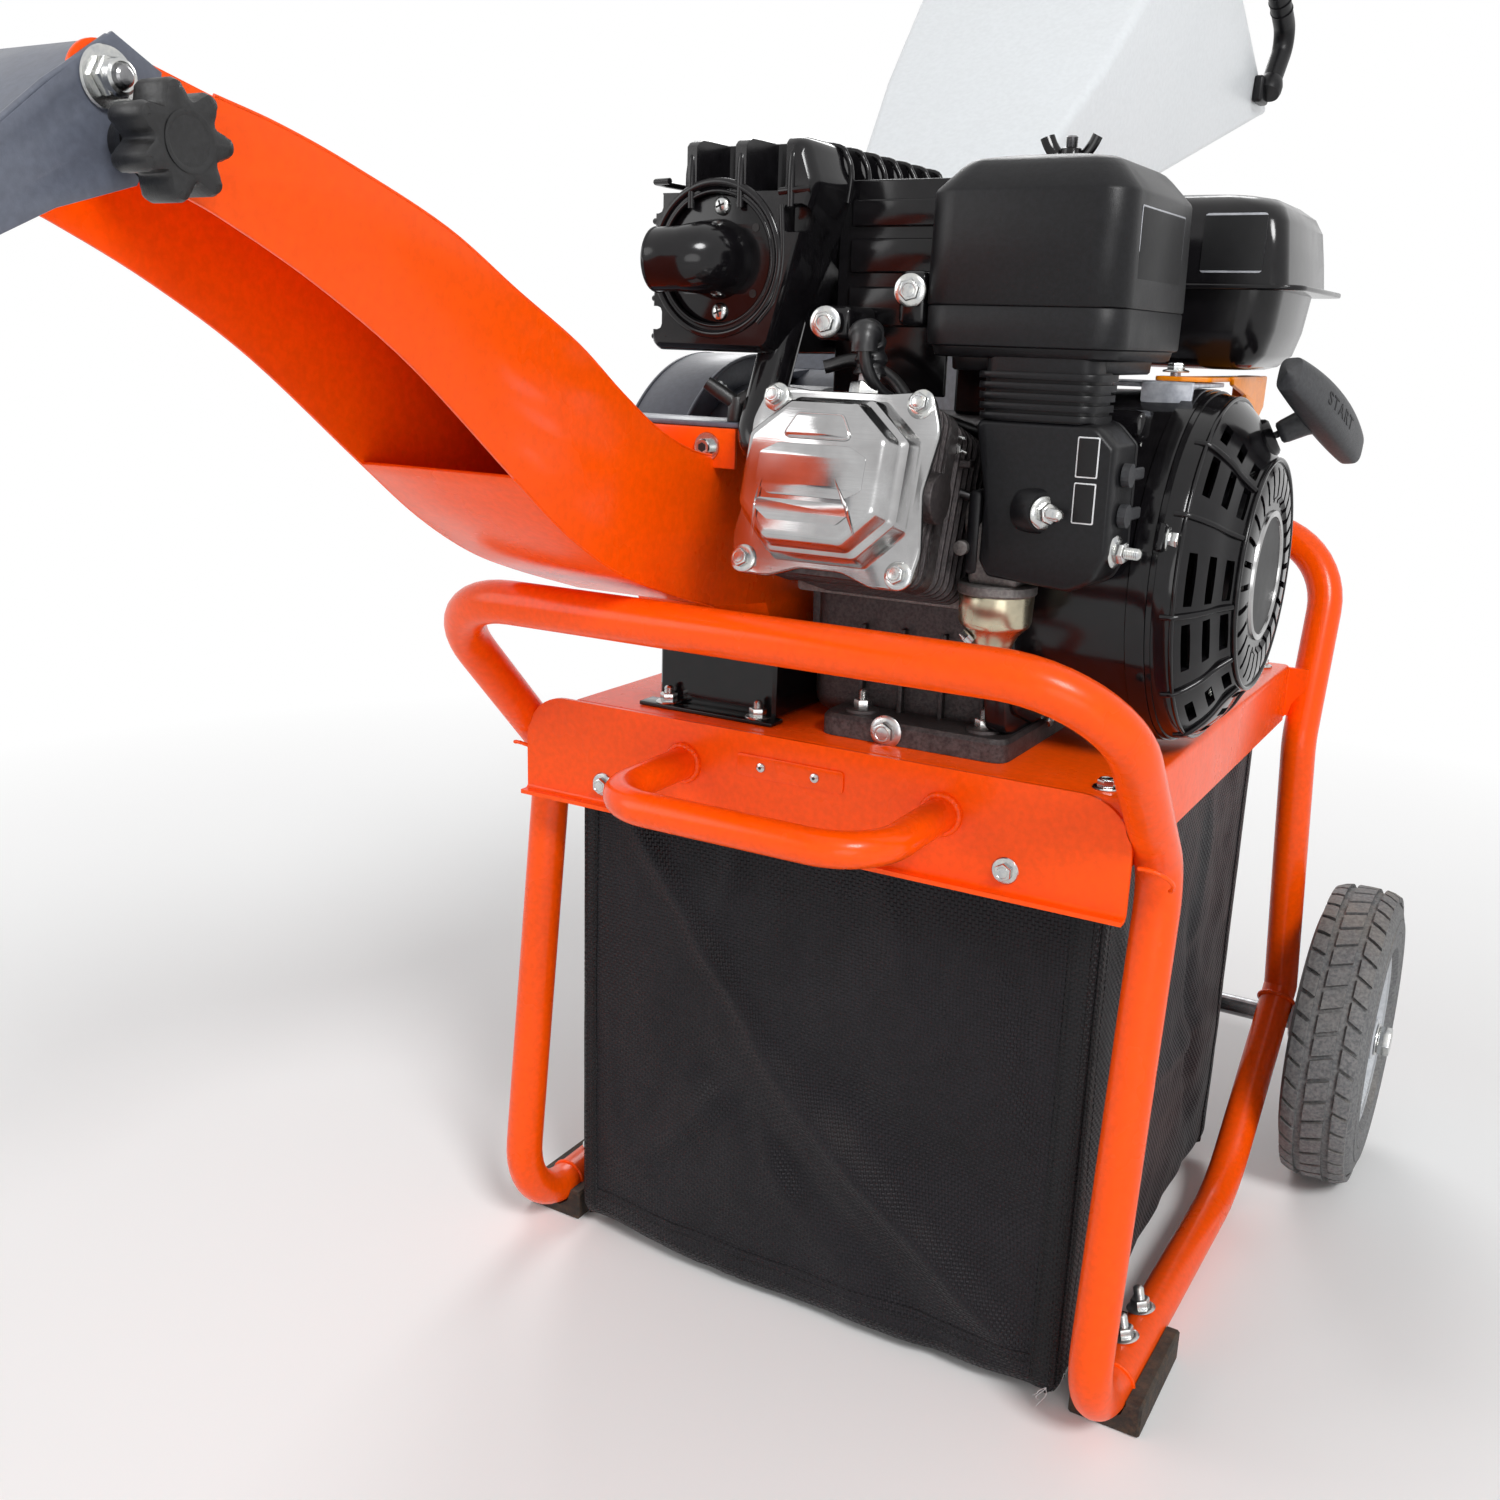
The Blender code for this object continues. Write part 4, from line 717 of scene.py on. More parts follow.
# Name, first and second tone, lowest and highest roughness, grain (scale, fineness, depth) and what differs.
FINISHES = (
    (MOULDED, (13, 13, 15), (19, 19, 22), (0.34, 0.48), (420, 0.6, 0.14),
     {"dust": 0.015, "marks": 10, "specular": 0.26}),
    ("Black Gloss Plastic", (11, 11, 12), (16, 16, 18), (0.12, 0.26), (90, 0.2, 0.05),
     {"specular": 0.34, "dust": 0.03, "marks": 9}),
    (GRIP_PLASTIC, (42, 43, 46), (54, 55, 58), (0.42, 0.55), (520, 0.7, 0.22), {"dust": 0.06, "wear": 0.25}),
    (KNOB, (18, 18, 19), (28, 28, 29), (0.36, 0.5), (480, 0.6, 0.25), {"dust": 0.05}),
    (ALLOY, (122, 118, 116), (98, 95, 94), (0.38, 0.52), (620, 0.9, 0.5),
     {"metallic": 0.85, "dust": 0.05, "wear": 0.15, "bare": (0.6, 0.6, 0.6), "bump_distance": 0.0008}),
    (CASTING, (78, 72, 72), (58, 54, 55), (0.36, 0.5), (560, 0.9, 0.5),
     {"metallic": 0.75, "dust": 0.05, "wear": 0.2, "bare": (0.4, 0.4, 0.4)}),
    (STAMPED, (186, 186, 186), (164, 163, 163), (0.14, 0.3), (34, 0.3, 0.1),
     {"metallic": 1.0, "dust": 0.02, "brushed": 0.3}),
    (ZINC, (206, 206, 202), (182, 184, 186), (0.18, 0.34), (240, 0.5, 0.12),
     {"metallic": 1.0, "dust": 0.03, "brushed": 0.15}),
    (GALVANISED, (214, 217, 224), (176, 180, 190), (0.34, 0.48), (150, 0.9, 0.12), {"metallic": 0.45, "dust": 0.03}),
    ("Nickel Bowl", (204, 194, 168), (172, 164, 142), (0.24, 0.34), (60, 0.4, 0.06),
     {"metallic": 1.0, "dust": 0.03, "brushed": 0.25}),
    (STEEL, (158, 158, 160), (130, 130, 132), (0.24, 0.38), (160, 0.4, 0.12),
     {"metallic": 1.0, "dust": 0.03, "brushed": 0.4}),
    (ENAMEL, (198, 201, 205), (180, 184, 189), (0.26, 0.4), (300, 0.3, 0.08),
     {"metallic": 0.35, "coat": 0.2, "dust": 0.1, "wear": 0.15}),
    (TYRE, (92, 93, 95), (124, 124, 124), (0.62, 0.8), (420, 0.8, 0.35),
     {"dust": 0.45, "wear": 0.6, "bare": (0.16, 0.155, 0.15), "specular": 0.35}),
    ("Rubber Block", (34, 32, 30), (50, 42, 36), (0.66, 0.82), (260, 0.9, 0.4),
     {"dust": 0.2, "wear": 0.7, "bare": (0.1, 0.055, 0.03), "specular": 0.35}),
    (RUBBER, (20, 20, 22), (28, 28, 30), (0.28, 0.42), (300, 0.5, 0.15), {"dust": 0.04}),
    (AMBER, (255, 150, 8), (244, 138, 4), (0.3, 0.42), (300, 0.4, 0.1), {"dust": 0.02}),
    ("Red Plastic", (196, 22, 16), (170, 16, 12), (0.26, 0.36), (300, 0.4, 0.08), {"dust": 0.03}),
    (NEUTRAL, (214, 216, 218), (204, 206, 208), (0.3, 0.42), (120, 0.3, 0.05), {"dust": 0.03}),
    (STICKER, (9, 9, 11), (13, 13, 15), (0.42, 0.54), (160, 0.3, 0.05), {"dust": 0.0, "specular": 0.3}),
    (RULE, (176, 178, 184), (156, 158, 164), (0.28, 0.4), (200, 0.3, 0.05), {"dust": 0.0}),
    # Socket Shadow is painted shade: the near-black of the shade inside sockets, holes and pipe mouths.
    (PAINTED_SHADE, (14, 13, 14), (22, 20, 20), (0.5, 0.7), (300, 0.5, 0.2), {"dust": 0.0}),
    ("Machine Grey Rope", (30, 30, 32), (60, 60, 62), (0.6, 0.8), (900, 0.8, 0.6), {"dust": 0.05}),
    ("Filter Foam", (52, 52, 54), (30, 30, 32), (0.85, 0.95), (700, 0.9, 1.0), {"dust": 0.1, "specular": 0.2}),
    ("Grey Board", (168, 160, 150), (146, 140, 132), (0.7, 0.85), (220, 0.9, 0.3), {"dust": 0.2}),
)


def make_finishes(tones):
    orange, slate, white, black = (tuple(getattr(tones, key)) for key in ("orange", "slate", "white", "black"))

    def dim(colour, share):
        return tuple(c * share for c in colour)

    finish(
        ORANGE, orange, dim(orange, 0.9), (0.24, 0.38), coat=0.1, coat_rough=0.14,
        grain=(260.0, 0.25, 0.1), dust=0.02, marks=6.0, specular=0.22,
    )
    finish(
        SLATE, slate, dim(slate, 0.84), (0.34, 0.46), coat=0.15, coat_rough=0.3, grain=(300, 0.4, 0.16), dust=0.1,
        wear=0.3,
    )
    finish(WHITE, white, dim(white, 0.95), (0.3, 0.42), coat=0.2, coat_rough=0.2, grain=(260, 0.3, 0.08), dust=0.06)
    finish(
        GLOSS, black, dim(black, 1.5), (0.1, 0.24), grain=(140, 0.2, 0.05), dust=0.01, wear=0.06,
        bare=(0.06, 0.06, 0.06), specular=0.34,
    )
    for name, first, second, gloss, grain, more in FINISHES:
        finish(name, linear(*first), linear(*second), gloss, grain=grain, **more)
    # The two tones of each cloth run from painted shade between the threads to painted highlight on their tops.
    cloth_finish(BAG_CLOTH, linear(4, 3, 5), linear(26, 24, 29), 430.0, 0.9)
    cloth_finish(BINDING, linear(15, 15, 17), linear(24, 24, 27), 460.0, 0.7)


# ---------------------------------------------------------------- properties


def length(name, description, default, low, high):
    return bpy.props.FloatProperty(
        name=name, description=description, default=default, min=low, max=high, precision=4, subtype="DISTANCE",
        unit="LENGTH",
    )


def paint(name, description, r, g, b):
    return bpy.props.FloatVectorProperty(
        name=name, description=description, default=linear(r, g, b), size=3, min=0.0, max=1.0, subtype="COLOR",
    )


class ChipperSizes(bpy.types.PropertyGroup):
    """Sizes of small parts that a user may want to change."""

    tube_radius: length("Frame tube radius", "Outer radius of the bent frame tube", 0.0127, 0.008, 0.02)
    tread_rows: bpy.props.IntProperty(
        name="Tread rows", description="Rows of tread blocks round each tyre", default=42, min=20, max=60,
    )
    tread_depth: length("Tread depth", "Height of the tread blocks above the tyre's carcass", 0.0032, 0.001, 0.006)
    bag_slack: length("Bag slack", "How far the cloth of the bag sags and creases", 0.011, 0.0, 0.02)


class ChipperColours(bpy.types.PropertyGroup):
    """Main paint colours."""

    orange: paint("Frame orange", "Powder coat of frame, deck and chute", 255, 84, 0)
    slate: paint("Slate grey", "Powder coat of deflector and housing cover", 92, 97, 110)
    white: paint("Hopper white", "Powder coat of the hopper", 228, 232, 235)
    black: paint("Engine black", "Gloss paint of the engine's shrouds", 14, 13, 15)


def sizes():
    return bpy.context.scene.chipper_sizes


# ---------------------------------------------------------------- stage


class STAGE_OT_build(bpy.types.Operator):
    """Make the finishes, the floor, the lights and the camera"""

    bl_idname = "chipper.stage"
    bl_label = "Stage, light and finishes"

    def execute(self, context):
        make_effects()
        make_finishes(context.scene.chipper_colours)
        self.floor()
        self.lights()
        self.camera(context.scene)
        context.scene.view_settings.view_transform = "Standard"
        return {"FINISHED"}

    def floor(self):
        bm = bmesh.new()
        bmesh.ops.create_circle(bm, cap_ends=True, segments=96, radius=60.0)
        obj = linked("floor", mesh_of(bm))
        tree, w, shader, where = new_material("Pale Floor")
        cloud = w.ramp(w.noise(where, 1.2, 4.0), 0.3, 0.7)
        pale = w.mix(cloud, (0.9, 0.9, 0.9), (0.92, 0.92, 0.92))
        tree.links.new(pale, shader.inputs["Base Color"])
        shader.inputs["Roughness"].default_value = 0.85
        shader.inputs["Specular IOR Level"].default_value = 0.15
        distance = w.node("ShaderNodeVectorMath", {0: where}, operation="LENGTH").outputs["Value"]
        away = w.ramp(distance, 0.62, 1.7)
        path = w.node("ShaderNodeLightPath").outputs
        seen = w.math("MAXIMUM", path["Is Camera Ray"], path["Is Glossy Ray"])
        white = w.node("ShaderNodeEmission", {"Color": (1, 1, 1, 1), "Strength": 1.0})
        share = w.math("MULTIPLY", away, seen)
        blend = w.node("ShaderNodeMixShader", {0: share, 1: shader.outputs[0], 2: white.outputs[0]})
        tree.links.new(blend.outputs[0], tree.nodes["Material Output"].inputs["Surface"])
        obj.data.materials.append(bpy.data.materials["Pale Floor"])

    def lights(self):
        world = bpy.data.worlds.new("Studio")
        bpy.context.scene.world = world
        world.use_nodes = True
        w = Wiring(world.node_tree)
        back = world.node_tree.nodes["Background"]
        back.inputs["Color"].default_value = (1.0, 1.0, 1.0, 1.0)
        path = w.node("ShaderNodeLightPath").outputs
        seen = w.math(
            "MAXIMUM", path["Is Camera Ray"], w.math("MAXIMUM", path["Is Glossy Ray"], path["Is Transmission Ray"]),
        )
        strength = w.node("ShaderNodeMapRange", {"Value": seen, "To Min": 0.34, "To Max": 1.0}).outputs[0]
        world.node_tree.links.new(strength, back.inputs["Strength"])
        for name, place, aim, size, power in (
            ("key_light", (2.3, -2.0, 2.9), (0.0, 0.0, 0.45), 1.1, 92.0),
            ("fill_light", (-2.4, -2.4, 1.6), (0.0, -0.1, 0.45), 2.2, 30.0),
            ("rear_light", (-1.2, 2.8, 2.4), (0.0, 0.1, 0.5), 1.8, 40.0),
            ("low_light", (1.8, -2.6, 0.5), (0.0, 0.0, 0.3), 1.6, 14.0),
        ):
            lamp = bpy.data.lights.new(name, "AREA")
            lamp.shape = "DISK"
            lamp.size = size
            lamp.energy = power
            obj = linked(name, lamp)
            obj.location = place
            obj.rotation_euler = (Vector(aim) - Vector(place)).to_track_quat("-Z", "Y").to_euler()

    def camera(self, scene):
        data = bpy.data.cameras.new("view")
        data.sensor_width = 36.0
        data.lens = 35.416
        data.clip_start = 0.02
        data.clip_end = 200.0
        camera = linked("view", data)
        yaw, pitch, roll = (math.radians(a) for a in (29.97, 15.68, 1.84))
        turn = (
            Matrix.Rotation(yaw, 4, "Z") @ Matrix.Rotation(math.pi / 2 - pitch, 4, "X") @ Matrix.Rotation(roll, 4, "Z")
        )
        camera.matrix_world = Matrix.Translation(Vector((0.3899, -0.7692, 0.6331)) + SHIFT) @ turn
        scene.camera = camera


# ---------------------------------------------------------------- frame, deck and wheels


def dress(node, finish_name, bevel):
    """Keeps a solid node as it is, with a better finish and softened edges."""
    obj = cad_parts[node]
    for place in obj.material_slots:
        place.material = bpy.data.materials[finish_name]
    soft = obj.modifiers.new("Soft edges", "BEVEL")
    soft.width = bevel
    soft.segments = 2
    soft.limit_method = "ANGLE"
    soft.angle_limit = math.radians(40)


def rail_point(y):
    return (LEG_X + REAR_SPLAY * 0.7 * (y + 0.043) / 0.315, y, RAIL_Z)


def hoop_path(kink, bar, lower, low_radii):
    right = [(LEG_X, *bar), (LEG_X, *kink), *lower]
    left = [(-x, y, z) for x, y, z in reversed(right)]
    radii = (0.06, 0.05, *low_radii)
    return bent_path(left + right, (*reversed(radii), *radii))


def front_hoop_path():
    return hoop_path((0.0, 0.359), (-0.117, 0.482), [rail_point(-0.043), rail_point(TOE_END)], (0.05,))


def rear_hoop_path():
    return hoop_path((0.386, 0.349), (0.44, 0.5), [(LEG_X + REAR_SPLAY, 0.405, 0.14)], ())


def rail_path(side):
    right = [rail_point(TOE_END), rail_point(0.272), (LEG_X + REAR_SPLAY, 0.405, 0.14)]
    return bent_path([(side * x, y, z) for x, y, z in right], (0.09,))


class FRAME_OT_tubes(bpy.types.Operator):
    """Bent frame tubes with their weld seams"""

    bl_idname = "chipper.tubes"
    bl_label = "Frame tubes"

    def execute(self, context):
        r = sizes().tube_radius
        front = Piece("front_hoop_tube").add(pipe(front_hoop_path(), r, 32), ORANGE)
        for side in (-1, 1):
            toe = Vector(rail_point(TOE_END))
            toe.x *= side
            weld_bead(front, ring_points(toe, (0, 1, 0), r + 0.0002), 0.0013, ripple=0.0026)
        front.place(stands_for=("front_hoop",), slot="orange_paint")
        rear = Piece("rear_hoop_tube").add(pipe(rear_hoop_path(), r, 32), ORANGE)
        rear.place(stands_for=("rear_hoop",), slot="orange_paint")
        for side, word in ((-1, "left"), (1, "right")):
            path = rail_path(side)
            rail = Piece(f"rail_{word}_tube").add(pipe(path, r, 32), ORANGE)
            up = (path[-1] - path[-2]).normalized()
            joint = path[-1] - up * (r + 0.0012)
            weld_bead(rail, ring_points(joint, up, r + 0.0006), 0.0018)
            rail.place(stands_for=(f"rail_{word}",), slot="orange_paint")
        dress("rear_crossmember", ORANGE, 0.0008)
        dress("axle", STEEL, 0.0008)
        return {"FINISHED"}


class FRAME_OT_apron(bpy.types.Operator):
    """Folded apron plate with its bolts, rivets and small plate, and the pull handle"""

    bl_idname = "chipper.apron"
    bl_label = "Apron and pull handle"

    def execute(self, context):
        low, high = span("apron")
        back, sheet = high.y, 0.0027
        fold = arc((back - sheet - 0.0025, low.z + 0.0025 + sheet), 0.0025, 0, -90, 5)
        side = [(back - sheet, high.z)] + fold + [(low.y, low.z + sheet)]
        plate = ribbon(side, low.x, high.x, -sheet)
        corners = []
        for s in (-1, 1):
            x = s * (high.x - 0.03)
            quarter = [(x, high.z - 0.03), (x, high.z + 0.01), (s * (high.x + 0.01), high.z + 0.01)]
            quarter += [(s * (high.x + 0.01), high.z - 0.03)]
            square = slab(quarter if s > 0 else quarter[::-1], 0.03, 0.0)
            drum = slab(circle((x, high.z - 0.03), 0.03, 48), 0.04, 0.0)
            keep = carved(square, [drum])
            corners.append(put(keep, upright(0, back, 0)))
        hoop = pipe(front_hoop_path(), sizes().tube_radius + 0.0004, 24)
        apron = Piece("apron_plate").add(carved(plate, [*corners, hoop]), ORANGE)
        face = back - sheet
        for x in (-0.139, 0.132):
            hex_bolt(apron, (x, face, 0.355), FRONT, 0.0052, 0.0042)
        tag = slab(rounded_rect((-0.04, 0.38), (0.031, 0.3935), 0.0025), 0.0012, 0.0004)
        apron.add(put(tag, upright(0, face - 0.0006, 0)), ORANGE)
        for x in (-0.0235, 0.0125):
            dome = [(0.0, 0.0), (0.0, 0.003), (0.0008, 0.0027), (0.0014, 0.0015), (0.0016, 0.0)]
            apron.add(lathe(dome, (x, face - 0.0012, 0.3868), FRONT, 24), ZINC)
            # Each rivet carries a near-black dot of painted shade for its hole.
            apron.add(rod((x, face - 0.0024, 0.3868), (x, face - 0.00285, 0.3868), 0.0009, sides=16), PAINTED_SHADE)
        for s in (-1, 1):
            leg = ring_points((s * LEG_X, -0.028, 0.3625), (0, 0.7, 0.72), 0.0133, 200, 340, 10)
            weld_bead(apron, leg, 0.0013)
        apron.place(stands_for=("apron",), slot="orange_paint")
        self.pull_handle(face)
        return {"FINISHED"}

    def pull_handle(self, face):
        low, high = span("pull_handle")
        radius = (high.z - low.z) / 2
        z = (low.z + high.z) / 2
        x0, x1, out = low.x + radius, high.x - radius, low.y + radius
        corners = [(x0, face - 0.0003, z), (x0, out, z), (x1, out, z), (x1, face - 0.0003, z)]
        handle = Piece("pull_handle_bar")
        handle.add(pipe(bent_path(corners, (0.035, 0.035), 14), radius, 28), ORANGE)
        for x in (x0, x1):
            weld_bead(handle, ring_points((x, face - 0.0012, z), FRONT, radius + 0.0008, count=32), 0.0022)
        handle.place(stands_for=("pull_handle",), slot="orange_paint")


class FRAME_OT_deck(bpy.types.Operator):
    """Folded deck plate with corner seams, bolts and a blank sticker"""

    bl_idname = "chipper.deck"
    bl_label = "Deck"

    def execute(self, context):
        low, high = span("deck_plate")
        tray = block(low, high, 0.0035, 4)
        bottom = [f for f in tray.faces if f.calc_center_median().z < low.z + 0.004]
        bmesh.ops.delete(tray, geom=bottom, context="FACES")
        deck = Piece("deck_tray").add(thick(tray, 0.0028), ORANGE)
        top = high.z
        for x, y in ENGINE_BOLTS:
            hex_bolt(deck, (x, y, top + 0.0132), UP, 0.0052, 0.0062, thread=0.006)
        for x, y in ((0.178, 0.362), (-0.15, 0.362), (0.178, -0.02)):
            hex_bolt(deck, (x, y, top), UP, 0.005, 0.0042)
        sticker = slab(rounded_rect((0.098, 0.318), (0.166, 0.356), 0.002), 0.0003, 0.0001)
        deck.add(lift(sticker, top + 0.0002), NEUTRAL)
        for x in (low.x + 0.0012, high.x - 0.0012):
            weld_bead(deck, [(x, high.y - 0.001, top - 0.004), (x, high.y - 0.001, low.z + 0.006)], 0.0016)
        deck.place(stands_for=("deck_plate",), slot="orange_paint")
        return {"FINISHED"}


class FRAME_OT_feet(bpy.types.Operator):
    """Rubber foot blocks with the bolts that hold the rails on them"""

    bl_idname = "chipper.feet"
    bl_label = "Feet"

    def execute(self, context):
        for side, word in ((-1, "left"), (1, "right")):
            dress(f"foot_{word}", "Rubber Block", 0.0012)
            bolts = Piece(f"foot_bolts_{word}")
            for y in (0.046, 0.08):
                x = side * (rail_point(y)[0] - 0.0032)
                tilt = Vector((-side * 0.22, 0.0, 1.0))
                base = Vector((x, y, RAIL_Z + 0.0124))
                hex_bolt(bolts, base, tilt, 0.0062, 0.0062, thread=0.008)
            bolts.place(slot="bright_steel")
        return {"FINISHED"}


class WHEELS_OT_build(bpy.types.Operator):
    """Tyres with a block tread, steel rims and axle nuts"""

    bl_idname = "chipper.wheels"
    bl_label = "Wheels"

    def execute(self, context):
        for side, word in ((-1, "left"), (1, "right")):
            low, high = span(f"tyre_{word}")
            centre = (low + high) / 2
            self.tyre(side, word, centre, (high.x - low.x) / 2)
            self.rim(side, word, centre)
        return {"FINISHED"}

    def tyre(self, side, word, centre, half):
        made = sizes()
        crown = WHEEL_R - made.tread_depth
        rim = span("rim_right")[1].z - AXLE[1]
        wall = [
            (half - 0.0065, rim + 0.0006), (half - 0.0015, rim + 0.004), (half - 0.0002, rim + 0.012),
            (half - 0.0006, rim + 0.015), (half - 0.0016, rim + 0.0156), (half - 0.0006, rim + 0.0164),
            (half, rim + 0.021), (half - 0.0004, rim + 0.0255), (half - 0.0016, rim + 0.0261),
            (half - 0.001, rim + 0.027), (half - 0.003, crown - 0.0095), (half - 0.0085, crown - 0.0025),
            (half - 0.016, crown - 0.0004),
        ]
        profile = wall + [(0.0, crown)] + [(-d, r) for d, r in reversed(wall)]
        tyre = Piece(f"tyre_{word}_rubber")
        inner = [(-half + 0.01, rim + 0.0006), (half - 0.01, rim + 0.0006)]
        tyre.add(lathe(profile + inner, centre, (side, 0, 0), 120), TYRE)
        rows = made.tread_rows
        pitch = math.tau / rows
        columns = ((-0.018, 0.0105, 0.5, 0.34), (0.0, 0.0148, 0.0, -0.3), (0.018, 0.0105, 0.5, 0.34))
        for row in range(rows):
            for middle_x, width, offset, skew in columns:
                self.tread_block(tyre, centre, (row + offset) * pitch, pitch, middle_x, width, skew, crown, half)
        tyre.place(body=f"wheel_{word}", stands_for=(f"tyre_{word}",), slot="tyre")

    def tread_block(self, tyre, centre, angle, pitch, middle_x, width, skew, crown, half):
        bm = bmesh.new()
        bmesh.ops.create_cube(bm, size=1.0)
        bmesh.ops.subdivide_edges(bm, edges=bm.edges[:], cuts=1, use_grid_fill=True)
        tops = [
            e for e in bm.edges if min(v.co.z for v in e.verts) > 0.49 and e.is_manifold and e.calc_face_angle(0.0) > 1
        ]
        bmesh.ops.bevel(bm, geom=tops, offset=0.06, segments=2, profile=0.5, affect="EDGES")
        for v in bm.verts:
            x = middle_x + v.co.x * width
            turn = angle + v.co.y * pitch * 0.8 + v.co.x * skew * pitch
            shoulder = max(0.0, abs(x) - (half - 0.012)) * 0.42
            height = crown - 0.0018 if v.co.z < 0 else WHEEL_R - 0.0002 - max(0.0, (abs(x) - 0.004)) * 0.045
            height -= shoulder
            v.co = Vector((x, height * math.cos(turn), height * math.sin(turn)))
        tyre.add(put(bm, Matrix.Translation(centre)), TYRE)

    def rim(self, side, word, centre):
        low, high = span(f"rim_{word}")
        near = -abs((high.x if side < 0 else low.x) - centre.x)
        far = abs((low.x if side < 0 else high.x) - centre.x)
        bore, r = 0.0084, span("rim_right")[1].z - AXLE[1]
        disc = [
            (far, bore), (far, 0.015), (far - 0.001, 0.016), (0.01, 0.0164), (0.0065, 0.019), (0.0052, 0.026),
            (0.0085, 0.033), (0.0092, 0.038), (0.006, 0.045), (0.005, 0.049), (0.0075, 0.0525), (0.02, 0.0585),
            (0.0215, 0.0605), (0.0216, r - 0.003), (0.0224, r - 0.0008), (0.0222, r), (0.0206, r), (0.019, r - 0.0014),
            (-0.019, r - 0.0014), (-0.0206, r), (-0.0222, r), (-0.0216, 0.0605), (-0.02, 0.0585), (0.002, 0.049),
            (0.0035, 0.045), (0.0066, 0.038), (0.006, 0.033), (0.0026, 0.026), (0.003, 0.0175), (near, 0.0145),
            (near, bore),
        ]
        rim = Piece(f"rim_{word}_disc").add(lathe(disc, centre, (side, 0, 0), 96), ENAMEL)
        for i in range(4):
            turn = math.tau * (i + 0.5) / 4
            y, z = centre.y + 0.0415 * math.cos(turn), centre.z + 0.0415 * math.sin(turn)
            x = centre.x + side * 0.0072
            hex_bolt(rim, (x, y, z), (side, 0.0, 0.0), 0.004, 0.0034)
        rim.place(body=f"wheel_{word}", stands_for=(f"rim_{word}",), slot="rim_silver")
        nut_low, nut_high = span(f"wheel_nut_{word}")
        start = nut_low.x if side > 0 else nut_high.x
        end = nut_high.x if side > 0 else nut_low.x
        nut = Piece(f"wheel_nut_{word}_hex")
        washer = [(0.0, bore), (0.0, 0.0122), (0.0005, 0.0125), (0.0014, 0.0122), (0.0014, bore)]
        nut.add(lathe(washer, (start, *AXLE), (side, 0, 0), 48), ZINC)
        body = rod((start + side * 0.0014, *AXLE), (end - side * 0.0002, *AXLE), 0.0112, sides=6, bevel=0.0012)
        nut.add(carved(body, [rod((start - side * 0.01, *AXLE), (start + side * 0.0103, *AXLE), 0.0084)]), ZINC)
        nut.place(body=f"wheel_{word}", stands_for=(f"wheel_nut_{word}",), slot="bright_steel")


# ---------------------------------------------------------------- collection bag

BAG_LOW, BAG_HIGH = span("collection_bag")


def crease(u, t, first, last, width, height):
    """Soft ridge along a line on a bag panel."""
    a, b, p = Vector(first), Vector(last), Vector((u, t))
    along = b - a
    share = max(0.0, min(1.0, (p - a).dot(along) / along.length_squared))
    gap = (p - (a + along * share)).length
    fade = math.sin(math.pi * min(1.0, max(0.0, 0.12 + share * 0.76)))
    return height * fade * math.exp(-((gap / width) ** 2))


FRONT_CREASES = (
    ((0.08, 0.06), (0.44, 0.52), 0.022, 0.85), ((0.4, 0.5), (0.92, 0.93), 0.034, 1.35),
    ((0.3, 0.58), (0.78, 0.97), 0.04, -0.95), ((0.5, 0.5), (0.95, 0.7), 0.06, -0.55),
    ((0.1, 0.86), (0.38, 0.56), 0.03, 0.6), ((0.38, 0.62), (0.48, 0.8), 0.02, 0.55),
    ((0.86, 0.2), (0.96, 0.62), 0.03, -0.35), ((0.05, 0.1), (0.07, 0.9), 0.018, 0.28),
    ((0.6, 0.05), (0.7, 0.35), 0.03, 0.4), ((0.34, 0.04), (0.3, 0.28), 0.026, 0.35),
)
SIDE_CREASES = (
    ((0.12, 0.15), (0.4, 0.85), 0.032, 1.0), ((0.55, 0.25), (0.85, 0.95), 0.036, -0.8),
    ((0.3, 0.55), (0.8, 0.6), 0.03, 0.6), ((0.7, 0.05), (0.6, 0.4), 0.03, 0.5),
)


def bag_slack(panel, u, t):
    """Distance that the cloth stands out of its flat panel."""
    slack = sizes().bag_slack
    hold = (math.sin(math.pi * u) ** 0.6) if 0 < u < 1 else 0.0
    free = math.sin(math.pi * min(1.0, 0.06 + t * 0.88))
    belly = 0.42 * hold * free * (0.6 + 0.6 * t)
    lines = FRONT_CREASES if panel in (0, 2) else SIDE_CREASES
    folds = sum(crease(u if panel in (0, 1) else 1 - u, t, *line) for line in lines)
    seed = Vector((u * 3.0 + panel * 7.3, t * 3.0, 0.4))
    soft = noise.noise(seed) * 0.5 + noise.noise(seed * 3.1) * 0.22 + noise.noise(seed * 8.3) * 0.07
    edge = min(1.0, min(u, 1 - u) * 9.0)
    return slack * (belly + edge * (folds * 0.75 + soft))


